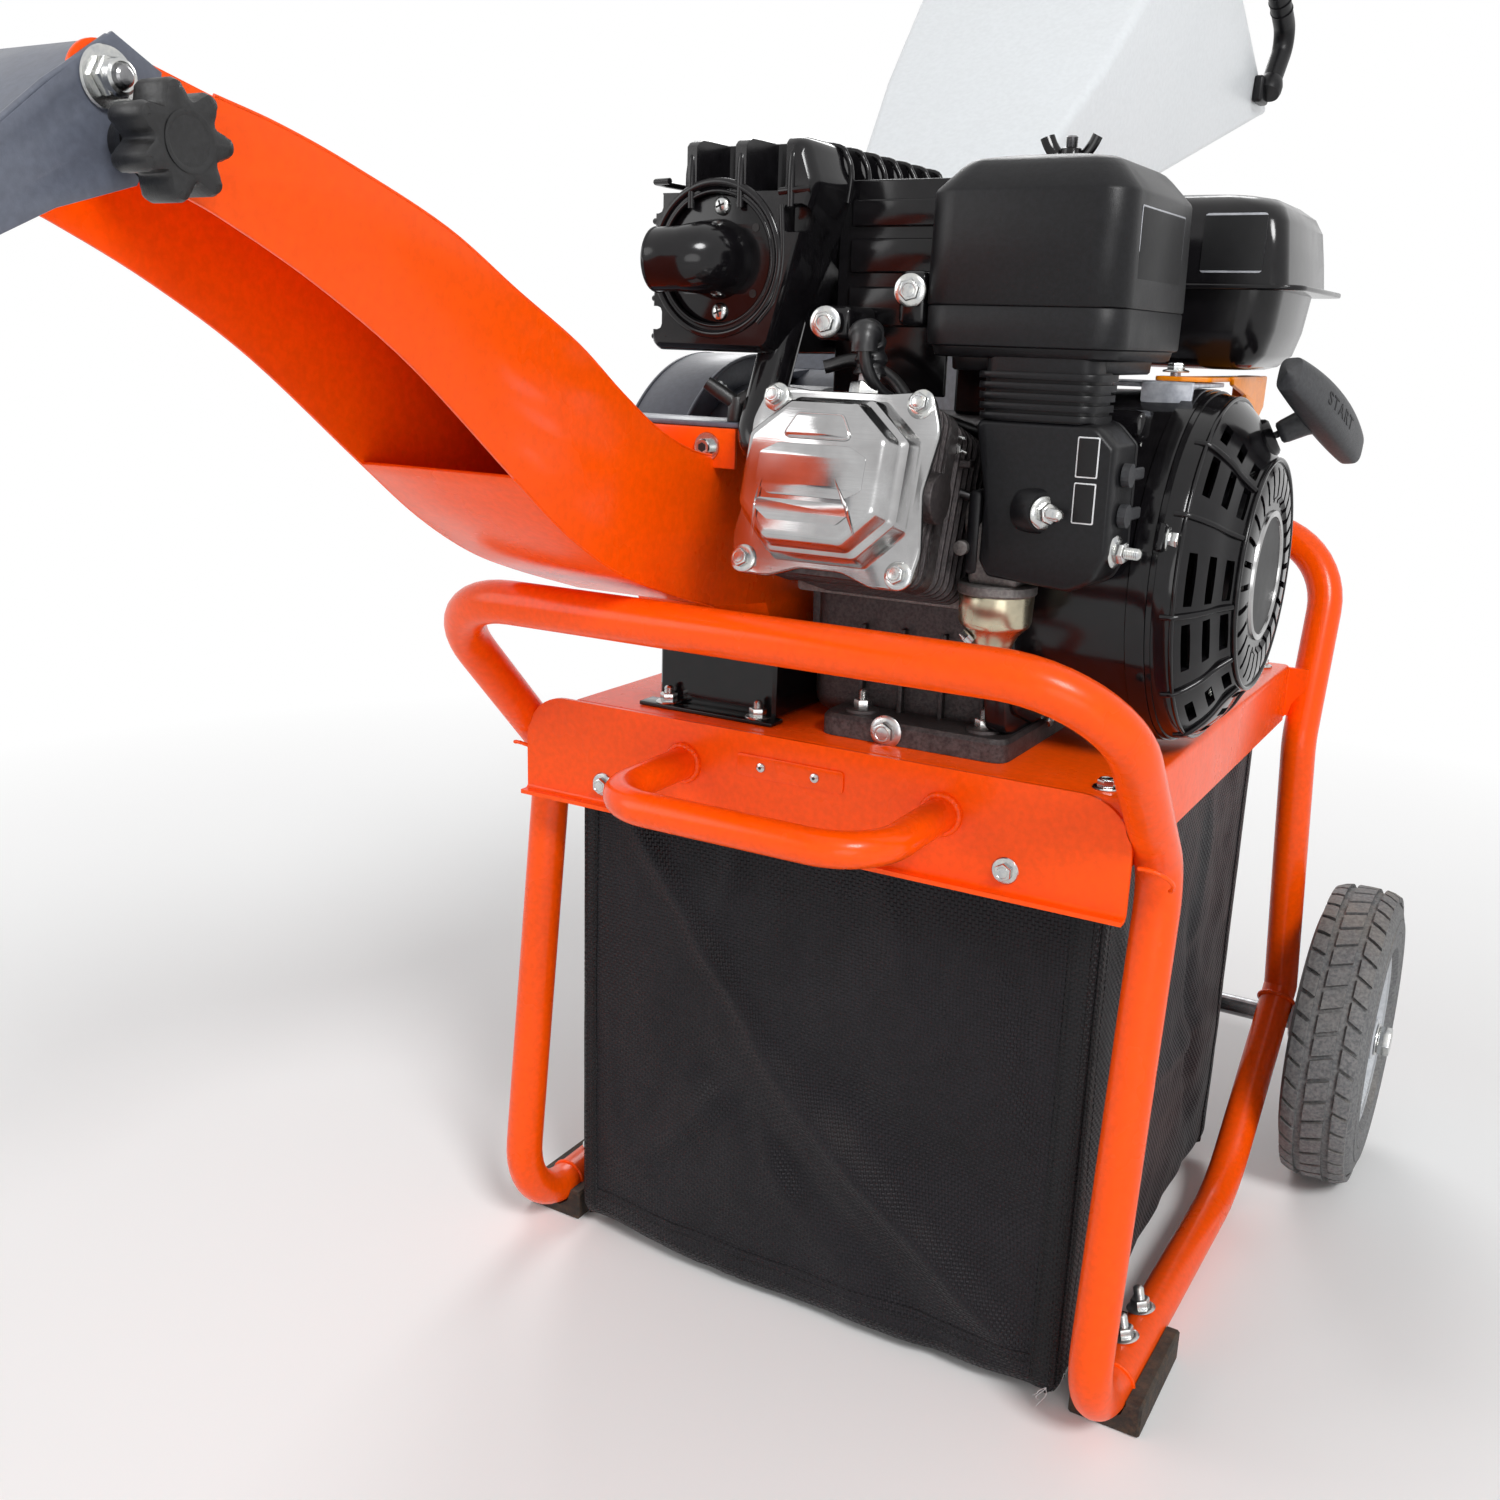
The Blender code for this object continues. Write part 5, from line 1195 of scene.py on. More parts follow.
def bag_point(around, t, lift=0.0):
    """Point of the bag: around runs 0-4 from the front left corner, t from the hem at the top to the bottom."""
    panel = int(around) % 4
    u = around - int(around)
    inset = 0.0035
    x0, x1 = BAG_LOW.x + inset, BAG_HIGH.x - inset
    y0, y1 = BAG_LOW.y + inset, BAG_HIGH.y - inset
    corners = [Vector((x0, y0, 0)), Vector((x1, y0, 0)), Vector((x1, y1, 0)), Vector((x0, y1, 0))]
    outward = [Vector(FRONT), Vector(RIGHT), Vector((0, 1, 0)), Vector((-1, 0, 0))]
    start, end = corners[panel], corners[(panel + 1) % 4]
    flat = start.lerp(end, u)
    round_off = 0.0045
    length = (end - start).length
    near = min(u, 1 - u) * length
    pull = -round_off * 0.55 * max(0.0, 1.0 - near / round_off) ** 2
    height = BAG_HIGH.z - 0.0006 + (BAG_LOW.z + 0.001 - BAG_HIGH.z + 0.0006) * t
    droop = 0.0035 * math.sin(math.pi * u) * t ** 6 - 0.004 * noise.noise(Vector((around * 2.3, 1.7, 0.2))) * t ** 4
    pinch = -0.004 * math.sin(math.pi * u) * (1 - t) ** 3
    out = bag_slack(panel, u, t) + pull + lift + pinch
    tuck = -0.004 * max(0.0, (t - 0.965) / 0.035) ** 2
    point = flat + outward[panel] * (out + tuck)
    point.z = max(height - droop, BAG_LOW.z - 0.002)
    return point


class BAG_OT_build(bpy.types.Operator):
    """Hanging cloth bag with creases, binding tapes, stitches and a bottom board"""

    bl_idname = "chipper.bag"
    bl_label = "Collection bag"

    def execute(self, context):
        bag = Piece("collection_bag_cloth")
        bag.add(self.shell(), BAG_CLOTH)
        for start, end in ((0.004, 0.036), (0.952, 0.996), (1.004, 1.03), (1.964, 1.996), (3.964, 3.996)):
            self.tape(bag, start, end)
        self.hem(bag)
        for around in (0.01, 0.031, 0.957, 0.99, 1.008, 1.026):
            self.stitches(bag, [bag_point(around, 0.03 + 0.95 * i / 160, 0.0021) for i in range(161)])
        for t in (0.945, 0.975):
            self.stitches(bag, [bag_point(0.04 + 0.91 * i / 170, t, 0.0019) for i in range(171)])
        self.loose_threads(bag)
        bag.place(stands_for=("collection_bag",), slot="bag_fabric", smooth=60.0)
        board = block(
            (BAG_LOW.x + 0.01, BAG_LOW.y + 0.012, BAG_LOW.z + 0.003),
            (BAG_HIGH.x - 0.01, BAG_HIGH.y - 0.01, BAG_LOW.z + 0.0062), 0.0006,
        )
        Piece("bag_board").add(board, "Grey Board").place(slot="bag_fabric")
        return {"FINISHED"}

    def shell(self):
        per_side, rows = 96, 100
        bm = bmesh.new()
        rings = []
        for row in range(rows + 1):
            rings.append([bm.verts.new(bag_point(i / per_side, row / rows)) for i in range(4 * per_side)])
        for upper, lower in zip(rings, rings[1:]):
            for i in range(len(upper)):
                j = (i + 1) % len(upper)
                bm.faces.new((upper[i], lower[i], lower[j], upper[j]))
        centre = Vector(((BAG_LOW.x + BAG_HIGH.x) / 2, (BAG_LOW.y + BAG_HIGH.y) / 2, 0))
        last = rings[-1]
        for share in (0.97, 0.7, 0.35):
            ring = []
            for v in rings[-1]:
                flat = centre + (Vector((v.co.x, v.co.y, 0)) - centre) * share
                ring.append(bm.verts.new((flat.x, flat.y, BAG_LOW.z + 0.0006)))
            for i in range(len(ring)):
                j = (i + 1) % len(ring)
                bm.faces.new((last[i], ring[i], ring[j], last[j]))
            last = ring
        bm.faces.new(last[::-1])
        bmesh.ops.recalc_face_normals(bm, faces=bm.faces)
        return thick(bm, 0.0011, even=False)

    def tape(self, bag, start, end):
        bm = bmesh.new()
        rows, columns = 120, 5
        grid = []
        for row in range(rows + 1):
            t = row / rows
            line = []
            for c in range(columns + 1):
                share = c / columns
                raise_by = 0.0008 + 0.0007 * math.sin(math.pi * share) ** 0.5
                line.append(bm.verts.new(bag_point(start + (end - start) * share, t * 0.996, raise_by)))
            grid.append(line)
        for upper, lower in zip(grid, grid[1:]):
            for c in range(columns):
                bm.faces.new((upper[c], lower[c], lower[c + 1], upper[c + 1]))
        bag.add(thick(bm, 0.0009, even=False), BINDING)

    def hem(self, bag):
        bm = bmesh.new()
        columns, grid = 300, []
        for c in range(columns + 1):
            around = 0.036 + 0.918 * c / columns
            grid.append([
                bm.verts.new(
                    bag_point(around, 0.93 + 0.066 * k / 5, 0.0007 + 0.0006 * math.sin(math.pi * k / 5) ** 0.5)
                )
                for k in range(6)
            ])
        for a, b in zip(grid, grid[1:]):
            for k in range(5):
                bm.faces.new((a[k], a[k + 1], b[k + 1], b[k]))
        bag.add(thick(bm, 0.0007, even=False), BAG_CLOTH)

    def stitches(self, bag, line):
        for i in range(0, len(line) - 2, 2):
            a, b = line[i], line[i].lerp(line[i + 2], 0.66)
            bag.add(pipe([a, (a + b) / 2 + (b - a).orthogonal().normalized() * 0.00004, b], 0.00032, 6), BINDING)

    def loose_threads(self, bag):
        corner = bag_point(0.985, 0.985, 0.002)
        for k, reach in enumerate((0.016, 0.012, 0.009)):
            points = []
            for i in range(16):
                s = i / 15
                swing = math.sin(s * 5.0 + k * 1.9) * 0.0025 * s
                points.append(corner + Vector((-0.004 * k * s + swing, -0.006 * s + swing, -reach * 0.55 * s)))
            points = [Vector((p.x, p.y, max(p.z, 0.0008))) for p in points]
            bag.add(pipe(points, 0.00028, 6), NEUTRAL)


# ---------------------------------------------------------------- housing, chute and deflector

CHUTE_TOP = flowing([
    (-0.388, 0.707), (-0.359, 0.701), (-0.324, 0.691), (-0.27, 0.672), (-0.225, 0.649),
    (-0.179, 0.626), (-0.143, 0.603), (-0.108, 0.583), (-0.075, 0.571), (-0.05, 0.567),
])
CHUTE_BASE = flowing([
    (-0.406, 0.674), (-0.385, 0.666), (-0.343, 0.646), (-0.293, 0.616), (-0.228, 0.566),
    (-0.189, 0.537), (-0.15, 0.515), (-0.11, 0.5), (-0.05, 0.482),
])
SPLIT_Z = 0.583
WRAP_R, COVER_R = 0.087, 0.109
THROAT = ((0.165, 0.612), (0.212, 0.53))


def housing_outline():
    ear = arc(PIVOT, 0.012, 75, 175, 12) + arc(PIVOT, 0.0285, 238, 300, 12)
    bottom = arc(CRANK, WRAP_R, 205, 350, 60)
    rear = [(THROAT[1][0], bottom[-1][1]), THROAT[1]]
    share = (SPLIT_Z - THROAT[1][1]) / (THROAT[0][1] - THROAT[1][1])
    rear.append((THROAT[1][0] + share * (THROAT[0][0] - THROAT[1][0]), SPLIT_Z))
    return ear + CHUTE_BASE + bottom + rear + [(-0.05, SPLIT_Z)] + CHUTE_TOP[::-1]


def knob_slot():
    reach = math.dist(PIVOT, STUD)
    rest = math.degrees(math.atan2(STUD[1] - PIVOT[1], STUD[0] - PIVOT[0]))
    return arc(PIVOT, reach + 0.004, rest - 35, rest + 30, 12) + arc(PIVOT, reach - 0.004, rest + 30, rest - 35, 12)


class CHUTE_OT_housing(bpy.types.Operator):
    """Lower rotor housing with the curved chute, its flange and fasteners"""

    bl_idname = "chipper.housing"
    bl_label = "Rotor housing and chute"

    def execute(self, context):
        far, near = HOUSE
        made = Piece("chute_and_housing")
        holes = (circle(CRANK, 0.013, 32), circle(PIVOT, 0.004, 16), knob_slot())
        made.add(side_slab(housing_outline(), near - SHEET, near, 0.0004, holes), ORANGE)
        made.add(side_slab(housing_outline(), far, far + SHEET, 0.0004, holes), ORANGE)
        inside = (far + 0.001, near - 0.001)
        made.add(ribbon(CHUTE_TOP + [(-0.05, SPLIT_Z)], *inside, SHEET), ORANGE)
        floor = [p for p in CHUTE_BASE if p[0] >= -0.23]
        wrap = arc(CRANK, WRAP_R, 205, 350, 60)
        run = floor + wrap + [(THROAT[1][0], wrap[-1][1]), THROAT[1]]
        made.add(ribbon(run[::-1], *inside, SHEET), ORANGE)
        for low, high in (
            ((far - 0.014, -0.052, SPLIT_Z - 0.003), (far + 0.001, 0.165, SPLIT_Z)),
            ((near - 0.001, -0.052, SPLIT_Z - 0.003), (near + 0.014, 0.165, SPLIT_Z)),
            ((far - 0.014, -0.052, SPLIT_Z - 0.003), (near + 0.014, -0.01, SPLIT_Z)),
        ):
            made.add(block(low, high, 0.0006, 2), ORANGE)
        lip = block((far - 0.014, -0.0545, SPLIT_Z - 0.022), (near + 0.014, -0.0518, SPLIT_Z), 0.0008, 2)
        made.add(lip, ORANGE)
        for x in (near - 0.004, (far + near) / 2, far + 0.004):
            socket_bolt(made, (x, -0.0545, SPLIT_Z - 0.0105), FRONT, 0.0046)
        for line, rise in ((CHUTE_TOP, 0.0004), (floor, -0.0004)):
            made.add(pipe([(near - 0.0004, y, z + rise) for y, z in line], 0.0007, 8), ORANGE)
        made.place(stands_for=("rotor_housing",), slot="orange_paint")
        return {"FINISHED"}


class CHUTE_OT_cover(bpy.types.Operator):
    """Upper half of the rotor housing with its bolted rim"""

    bl_idname = "chipper.cover"
    bl_label = "Housing cover and pedestal"

    def execute(self, context):
        far, near = HOUSE
        base = SPLIT_Z + GAP
        rise = base - CRANK[1]
        throat = [THROAT[0], (THROAT[0][0] + 0.0145, base)]
        cover = Piece("housing_cover_shell")
        deep = far + 0.04
        layers = ((COVER_R, far, deep, 64, []), (COVER_R - 0.018, deep - 0.004, near, 60, [(0.148, 0.606)]))
        for radius, x0, x1, last, extra in layers:
            start = 180 - math.degrees(math.asin(rise / radius))
            outer = arc(CRANK, radius, start, last, 48) + extra
            inner = arc(CRANK, radius - SHEET, start + 2, last - 2, 48)
            mouth = [(THROAT[0][0] - 0.0045, 0.603), (THROAT[0][0] + 0.006, base)]
            shell = outer + throat + mouth[::-1] + inner[::-1]
            cover.add(side_slab(shell, x0, x1, 0.0006), SLATE)
            cheek = arc(CRANK, radius - 0.001, start, last, 48) + extra + throat
            wall = x0 if x0 == far else x1 - SHEET
            cover.add(side_slab(cheek, wall, wall + SHEET, 0.0005), SLATE)
        ledge_outer = arc(CRANK, COVER_R, 180 - math.degrees(math.asin(rise / COVER_R)), 64, 48)
        ledge_inner = arc(CRANK, COVER_R - 0.02, 64, 180 - math.degrees(math.asin(rise / (COVER_R - 0.02))), 48)
        cover.add(side_slab(ledge_outer + ledge_inner, deep - 0.002, deep, 0.0007), SLATE)
        rim = block((far - 0.014, -0.052, base), (near + 0.014, 0.158, base + 0.003), 0.0008, 2)
        hollow = block((far + 0.003, -0.012, base - 0.01), (near - 0.003, 0.15, base + 0.01), 0.0)
        cover.add(carved(rim, [hollow]), SLATE)
        for x in (deep, far):
            cover.add(pipe([(x, y, z) for y, z in arc(CRANK, COVER_R - 0.0008, 150, 66, 60)], 0.0015, 10), SLATE)
        for x in (far - 0.007, near + 0.007):
            for y in (-0.03, 0.055, 0.14):
                hex_bolt(cover, (x, y, base + 0.003), UP, 0.0048, 0.0042)
        for turn in (150, 118, 86):
            y, z = arc(CRANK, COVER_R - 0.0105, turn, turn, 1)[0]
            hex_bolt(cover, (deep, y, z), RIGHT, 0.0042, 0.0036)
        self.clamp(cover, near, base)
        cover.place(stands_for=("housing_cover",), slot="slate_paint")
        dress("pedestal", GLOSS, 0.0015)
        feet = Piece("pedestal_bolts")
        feet.add(block((-0.124, -0.02, DECK_TOP + GAP), (-0.028, -0.005, DECK_TOP + 0.0028), 0.0006), GLOSS)
        for x in (-0.1069, -0.042):
            hex_bolt(feet, (x, -0.012, DECK_TOP + 0.0028), UP, 0.0054, 0.0052, thread=0.004)
        feet.place(slot="bright_steel")
        for node in ("rotor", "anvil"):
            dress(node, STEEL, 0.0006)
        for node in ("blade_a", "blade_b"):
            dress(node, ZINC, 0.0003)
        return {"FINISHED"}

    def clamp(self, cover, near, base):
        """Black wing bolt that closes the cover beside the flange."""
        at = Vector((near + 0.008, -0.044, base + 0.003))
        cover.add(rod(at, at + Vector((0, 0, 0.014)), 0.0052, 0.0044, 24, 0.0008), KNOB)
        for turn in (25, 205):
            a = math.radians(turn)
            tip = at + Vector((0.017 * math.cos(a), 0.017 * math.sin(a), 0.021))
            cover.add(
                pipe(
                    [at + Vector((0, 0, 0.01)), at.lerp(tip, 0.6) + Vector((0, 0, 0.004)), tip],
                    [0.004, 0.0042, 0.0036], 16,
                ),
                KNOB,
            )


class CHUTE_OT_deflector(bpy.types.Operator):
    """Tilting deflector with its pivot bolt and star knob"""

    bl_idname = "chipper.deflector"
    bl_label = "Deflector and knob"

    def execute(self, context):
        low, high = span("deflector")
        tip = low.y
        outline = [(-0.411, 0.711), (-0.429, 0.7205), (-0.446, 0.7085), (tip, 0.629), (tip, 0.6225)]
        outline += [(-0.455, 0.665), (-0.424, 0.6745), (-0.414, 0.69)]
        made = Piece("deflector_hood")
        pivot, stud = circle(PIVOT, 0.004, 16), circle(STUD, 0.0034, 16)
        made.add(side_slab(outline, high.x - SHEET, high.x, 0.0005, (pivot, stud)), SLATE)
        made.add(side_slab(outline, low.x, low.x + SHEET, 0.0005, (pivot,)), SLATE)
        run = [(tip, 0.629), (-0.455, 0.7018), (-0.446, 0.7078), (-0.438, 0.7135), (-0.4305, 0.7186)]
        made.add(ribbon(run, low.x + 0.001, high.x - 0.001, SHEET), SLATE)
        for x in (low.x + 0.0012, high.x - 0.0012):
            made.add(pipe([(x, y, z) for y, z in run], 0.0012, 12), SLATE)
        hex_bolt(made, (low.x, *PIVOT), (-1, 0, 0), 0.0056, 0.0045)
        hex_bolt(made, (low.x, *STUD), (-1, 0, 0), 0.005, 0.0045)
        made.place(body="deflector_body", stands_for=("deflector",), slot="slate_paint")
        self.pivot_nut(high.x)
        self.knob(high.x)
        return {"FINISHED"}

    def pivot_nut(self, x):
        nut = Piece("deflector_pivot_nut")
        at = Vector((x + GAP, *PIVOT))
        washer = [(0, 0.0), (0, 0.0098), (0.0005, 0.0101), (0.0013, 0.0097), (0.0013, 0.0)]
        nut.add(lathe(washer, at, RIGHT, 40), ZINC)
        nut.add(rod(at + Vector((0.0012, 0, 0)), at + Vector((0.006, 0, 0)), 0.0068, sides=6, bevel=0.0009), ZINC)
        collar = [(0.0055, 0.0), (0.0055, 0.006), (0.0078, 0.0056), (0.0084, 0.0046), (0.008, 0.0036), (0.0072, 0.0)]
        nut.add(lathe(collar, at, RIGHT, 32), ZINC)
        thread = [(0.007, 0.0), (0.007, 0.0034), (0.0092, 0.0034), (0.0098, 0.0026), (0.0098, 0.0)]
        nut.add(lathe(thread, at, RIGHT, 24), STEEL)
        nut.place(body="deflector_body", stands_for=("deflector_pivot_bolt",), slot="bright_steel")

    def knob(self, x):
        low, high = span("deflector_knob")
        radius = (high.z - low.z) / 2
        knob = Piece("deflector_star_knob")
        lobes = []
        for i in range(7 * 20):
            a = math.tau * i / 140
            wave = math.cos(7 * a)
            reach = radius - 0.0025 + 0.0025 * (abs(wave) ** 0.55 if wave > 0 else -1.35 * abs(wave) ** 1.3)
            lobes.append((STUD[0] + reach * math.cos(a), STUD[1] + reach * math.sin(a)))
        base = x + 0.0006
        knob.add(side_slab(lobes, base + 0.0105, high.x, 0.003), KNOB)
        hub = [(0.0, 0.0), (0.0, 0.0088), (0.003, 0.0092), (0.009, 0.0105), (0.0115, 0.013), (0.0115, 0.0)]
        knob.add(lathe(hub, (base, *STUD), RIGHT, 40), KNOB)
        top = high.x - x - 0.0006
        cap = [
            (top - 0.0006, 0.0), (top - 0.0006, 0.0092), (top + 0.0004, 0.0098), (top + 0.0006, 0.0088),
            (top - 0.0001, 0.0076), (top - 0.0002, 0.0),
        ]
        knob.add(lathe(cap, (base, *STUD), RIGHT, 40), KNOB)
        knob.place(body="knob", stands_for=("deflector_knob",), slot="black_plastic", smooth=42.0)


# ---------------------------------------------------------------- hopper


HOPPER_X = (HOUSE[0] + HOUSE[1]) / 2 + 0.013
HOPPER_SECTIONS = (
    ((0.2385, 0.6753), (0.3005, 0.5753), 0.052, 0.004),
    ((0.405, 0.835), (0.52, 0.763), 0.09, 0.006),
    ((0.576, 1.0), (0.84, 0.86), 0.112, 0.007),
)


def duct_ring(front, rear, half, corner, steps=4):
    """Points of a duct section with rounded corners between a front and a rear (y, z) point."""
    length = math.dist(front, rear)
    loop = rounded_rect((-half, 0.0), (half, length), corner, steps)
    along = Vector((0, rear[0] - front[0], rear[1] - front[1])) / length
    return [Vector((HOPPER_X + u, *front)) + along * v for u, v in loop]


class HOPPER_OT_build(bpy.types.Operator):
    """Folded hopper with seams and a rolled mouth, and its grab handle"""

    bl_idname = "chipper.hopper"
    bl_label = "Hopper"

    def execute(self, context):
        bm = bmesh.new()
        rings = []
        for a, b in zip(HOPPER_SECTIONS, HOPPER_SECTIONS[1:]):
            for i in range(10):
                s = i / 10
                front, rear = (tuple(p + (q - p) * s for p, q in zip(a[k], b[k])) for k in (0, 1))
                rings.append(duct_ring(front, rear, a[2] + (b[2] - a[2]) * s, a[3] + (b[3] - a[3]) * s))
        rings.append(duct_ring(*HOPPER_SECTIONS[-1]))
        skin(bm, [[bm.verts.new(p) for p in ring] for ring in rings], caps=False)
        hopper = Piece("hopper_sheet").add(thick(bm, 0.0018), WHITE)
        hopper.add(closed_pipe(duct_ring(*HOPPER_SECTIONS[2]), 0.0021, 12), WHITE)
        fold = duct_ring(*HOPPER_SECTIONS[1])
        waist = [p + (p - sum(fold, Vector()) / len(fold)).normalized() * 0.0003 for p in fold]
        hopper.add(closed_pipe(waist, 0.0011, 10), WHITE)
        self.folded_edges(hopper)
        hopper.place(stands_for=("hopper",), slot="white_paint")
        dress("hopper_neck", SLATE, 0.0006)
        self.neck_flange()
        self.grab_handle()
        return {"FINISHED"}

    def folded_edges(self, hopper):
        """Standing seams along the four corners of the hopper."""
        for a, b in zip(HOPPER_SECTIONS, HOPPER_SECTIONS[1:]):
            low, high = duct_ring(*a, steps=2), duct_ring(*b, steps=2)
            for corner in (1, 4, 7, 10):
                start, end = low[corner], high[corner]
                middle_low = sum(low, Vector()) / len(low)
                out = (start - middle_low).normalized() * 0.0006
                hopper.add(pipe([start + out, (start + end) / 2 + out, end + out], 0.0012, 10), WHITE)

    def neck_flange(self):
        made = Piece("neck_flange")
        ring = duct_ring((0.2378, 0.6745), (0.2998, 0.5745), 0.0545, 0.005)
        made.add(closed_pipe(ring, 0.0022, 12), SLATE)
        for x in (HOUSE[0] + 0.013, HOUSE[1] - 0.003):
            hex_bolt(made, (x, 0.234, 0.6722), (0, -0.85, 0.53), 0.0046, 0.004)
        made.place(slot="slate_paint")

    def grab_handle(self):
        (front_y, front_z), (rear_y, rear_z), mouth = HOPPER_SECTIONS[2][:3]
        r = 0.01
        x = HOPPER_X + mouth + r + 0.0018
        low = Vector((x, rear_y - 0.045, rear_z + 0.014))
        high = Vector((x, front_y + 0.06, front_z - 0.042))
        out = Vector((0.004, 0.034, 0.051))
        path = bent_path([low, low + out, high + out, high], (0.02, 0.02), 10)
        handle = Piece("hopper_grab_handle")
        count = len(path)
        radii = [0.0094 + 0.0006 * math.sin(math.pi * i / (count - 1)) for i in range(count)]
        handle.add(pipe(path, radii, 28, flat=0.92), MOULDED)
        middle_a, middle_b = low + out, high + out
        for i in range(9):
            p = middle_a.lerp(middle_b, 0.22 + 0.56 * i / 8)
            handle.add(bead_ring(p, middle_b - middle_a, 0.00985, 0.0007, 28, 8), MOULDED)
        for end in (low, high):
            foot = [(-0.004, 0.0), (-0.004, 0.0112), (0.0, 0.0122), (0.006, 0.012), (0.012, 0.0102), (0.012, 0.0)]
            handle.add(lathe(foot, end, out.normalized(), 32), MOULDED)
            pad = block(
                (x - r - 0.0016, end.y - 0.015, end.z - 0.012), (x - 0.002, end.y + 0.015, end.z + 0.012), 0.003, 3,
            )
            handle.add(pad, MOULDED)
            cross_screw(handle, (x + 0.0085, end.y, end.z - 0.001), RIGHT, 0.0036)
        handle.place(stands_for=("hopper_handle",), slot="black_plastic", smooth=40.0)


# ---------------------------------------------------------------- engine

HEAD_FRAME = Matrix.Translation(HEAD_AXIS) @ Matrix.Rotation(math.radians(90 - HEAD_TILT), 4, "X")
HEAD_OUT = Matrix.Rotation(math.radians(90 - HEAD_TILT), 3, "X") @ Vector(UP)
HORN = Vector((0.208, 0.1045, 0.5835))
HORN_OUT = (GRIP - HORN).normalized()
GRIP_HALF, GRIP_TAPER, GRIP_BOW = 0.05, 0.3, 0.0028
STAND = Matrix(((1, 0, 0, 0), (0, 0, 1, 0), (0, 1, 0, 0), (0, 0, 0, 1)))


def on_head(bm):
    """Moves a shape modelled along +Z onto the inclined cylinder line."""
    return put(bm, HEAD_FRAME)


def stacked(levels):
    """Closed form through outlines at rising heights; each level is its height and its (x, y) points."""
    bm = bmesh.new()
    return skin(bm, [[bm.verts.new((x, y, z)) for x, y in loop] for z, loop in levels])


def soft_corners(corners, radius, steps=5):
    """Closed outline with each corner rounded; radius may be one number or one per corner."""
    radii = radius if isinstance(radius, (list, tuple)) else [radius] * len(corners)
    loop = []
    for i, corner in enumerate(corners):
        here = Vector(corner)
        before = (Vector(corners[i - 1]) - here).normalized()
        after = (Vector(corners[(i + 1) % len(corners)]) - here).normalized()
        reach = radii[i] / math.tan(before.angle(after) / 2)
        for s in range(steps + 1):
            t = s / steps
            a, b = here + before * reach, here + after * reach
            loop.append(tuple(a * (1 - t) ** 2 + here * 2 * t * (1 - t) + b * t * t))
    return loop


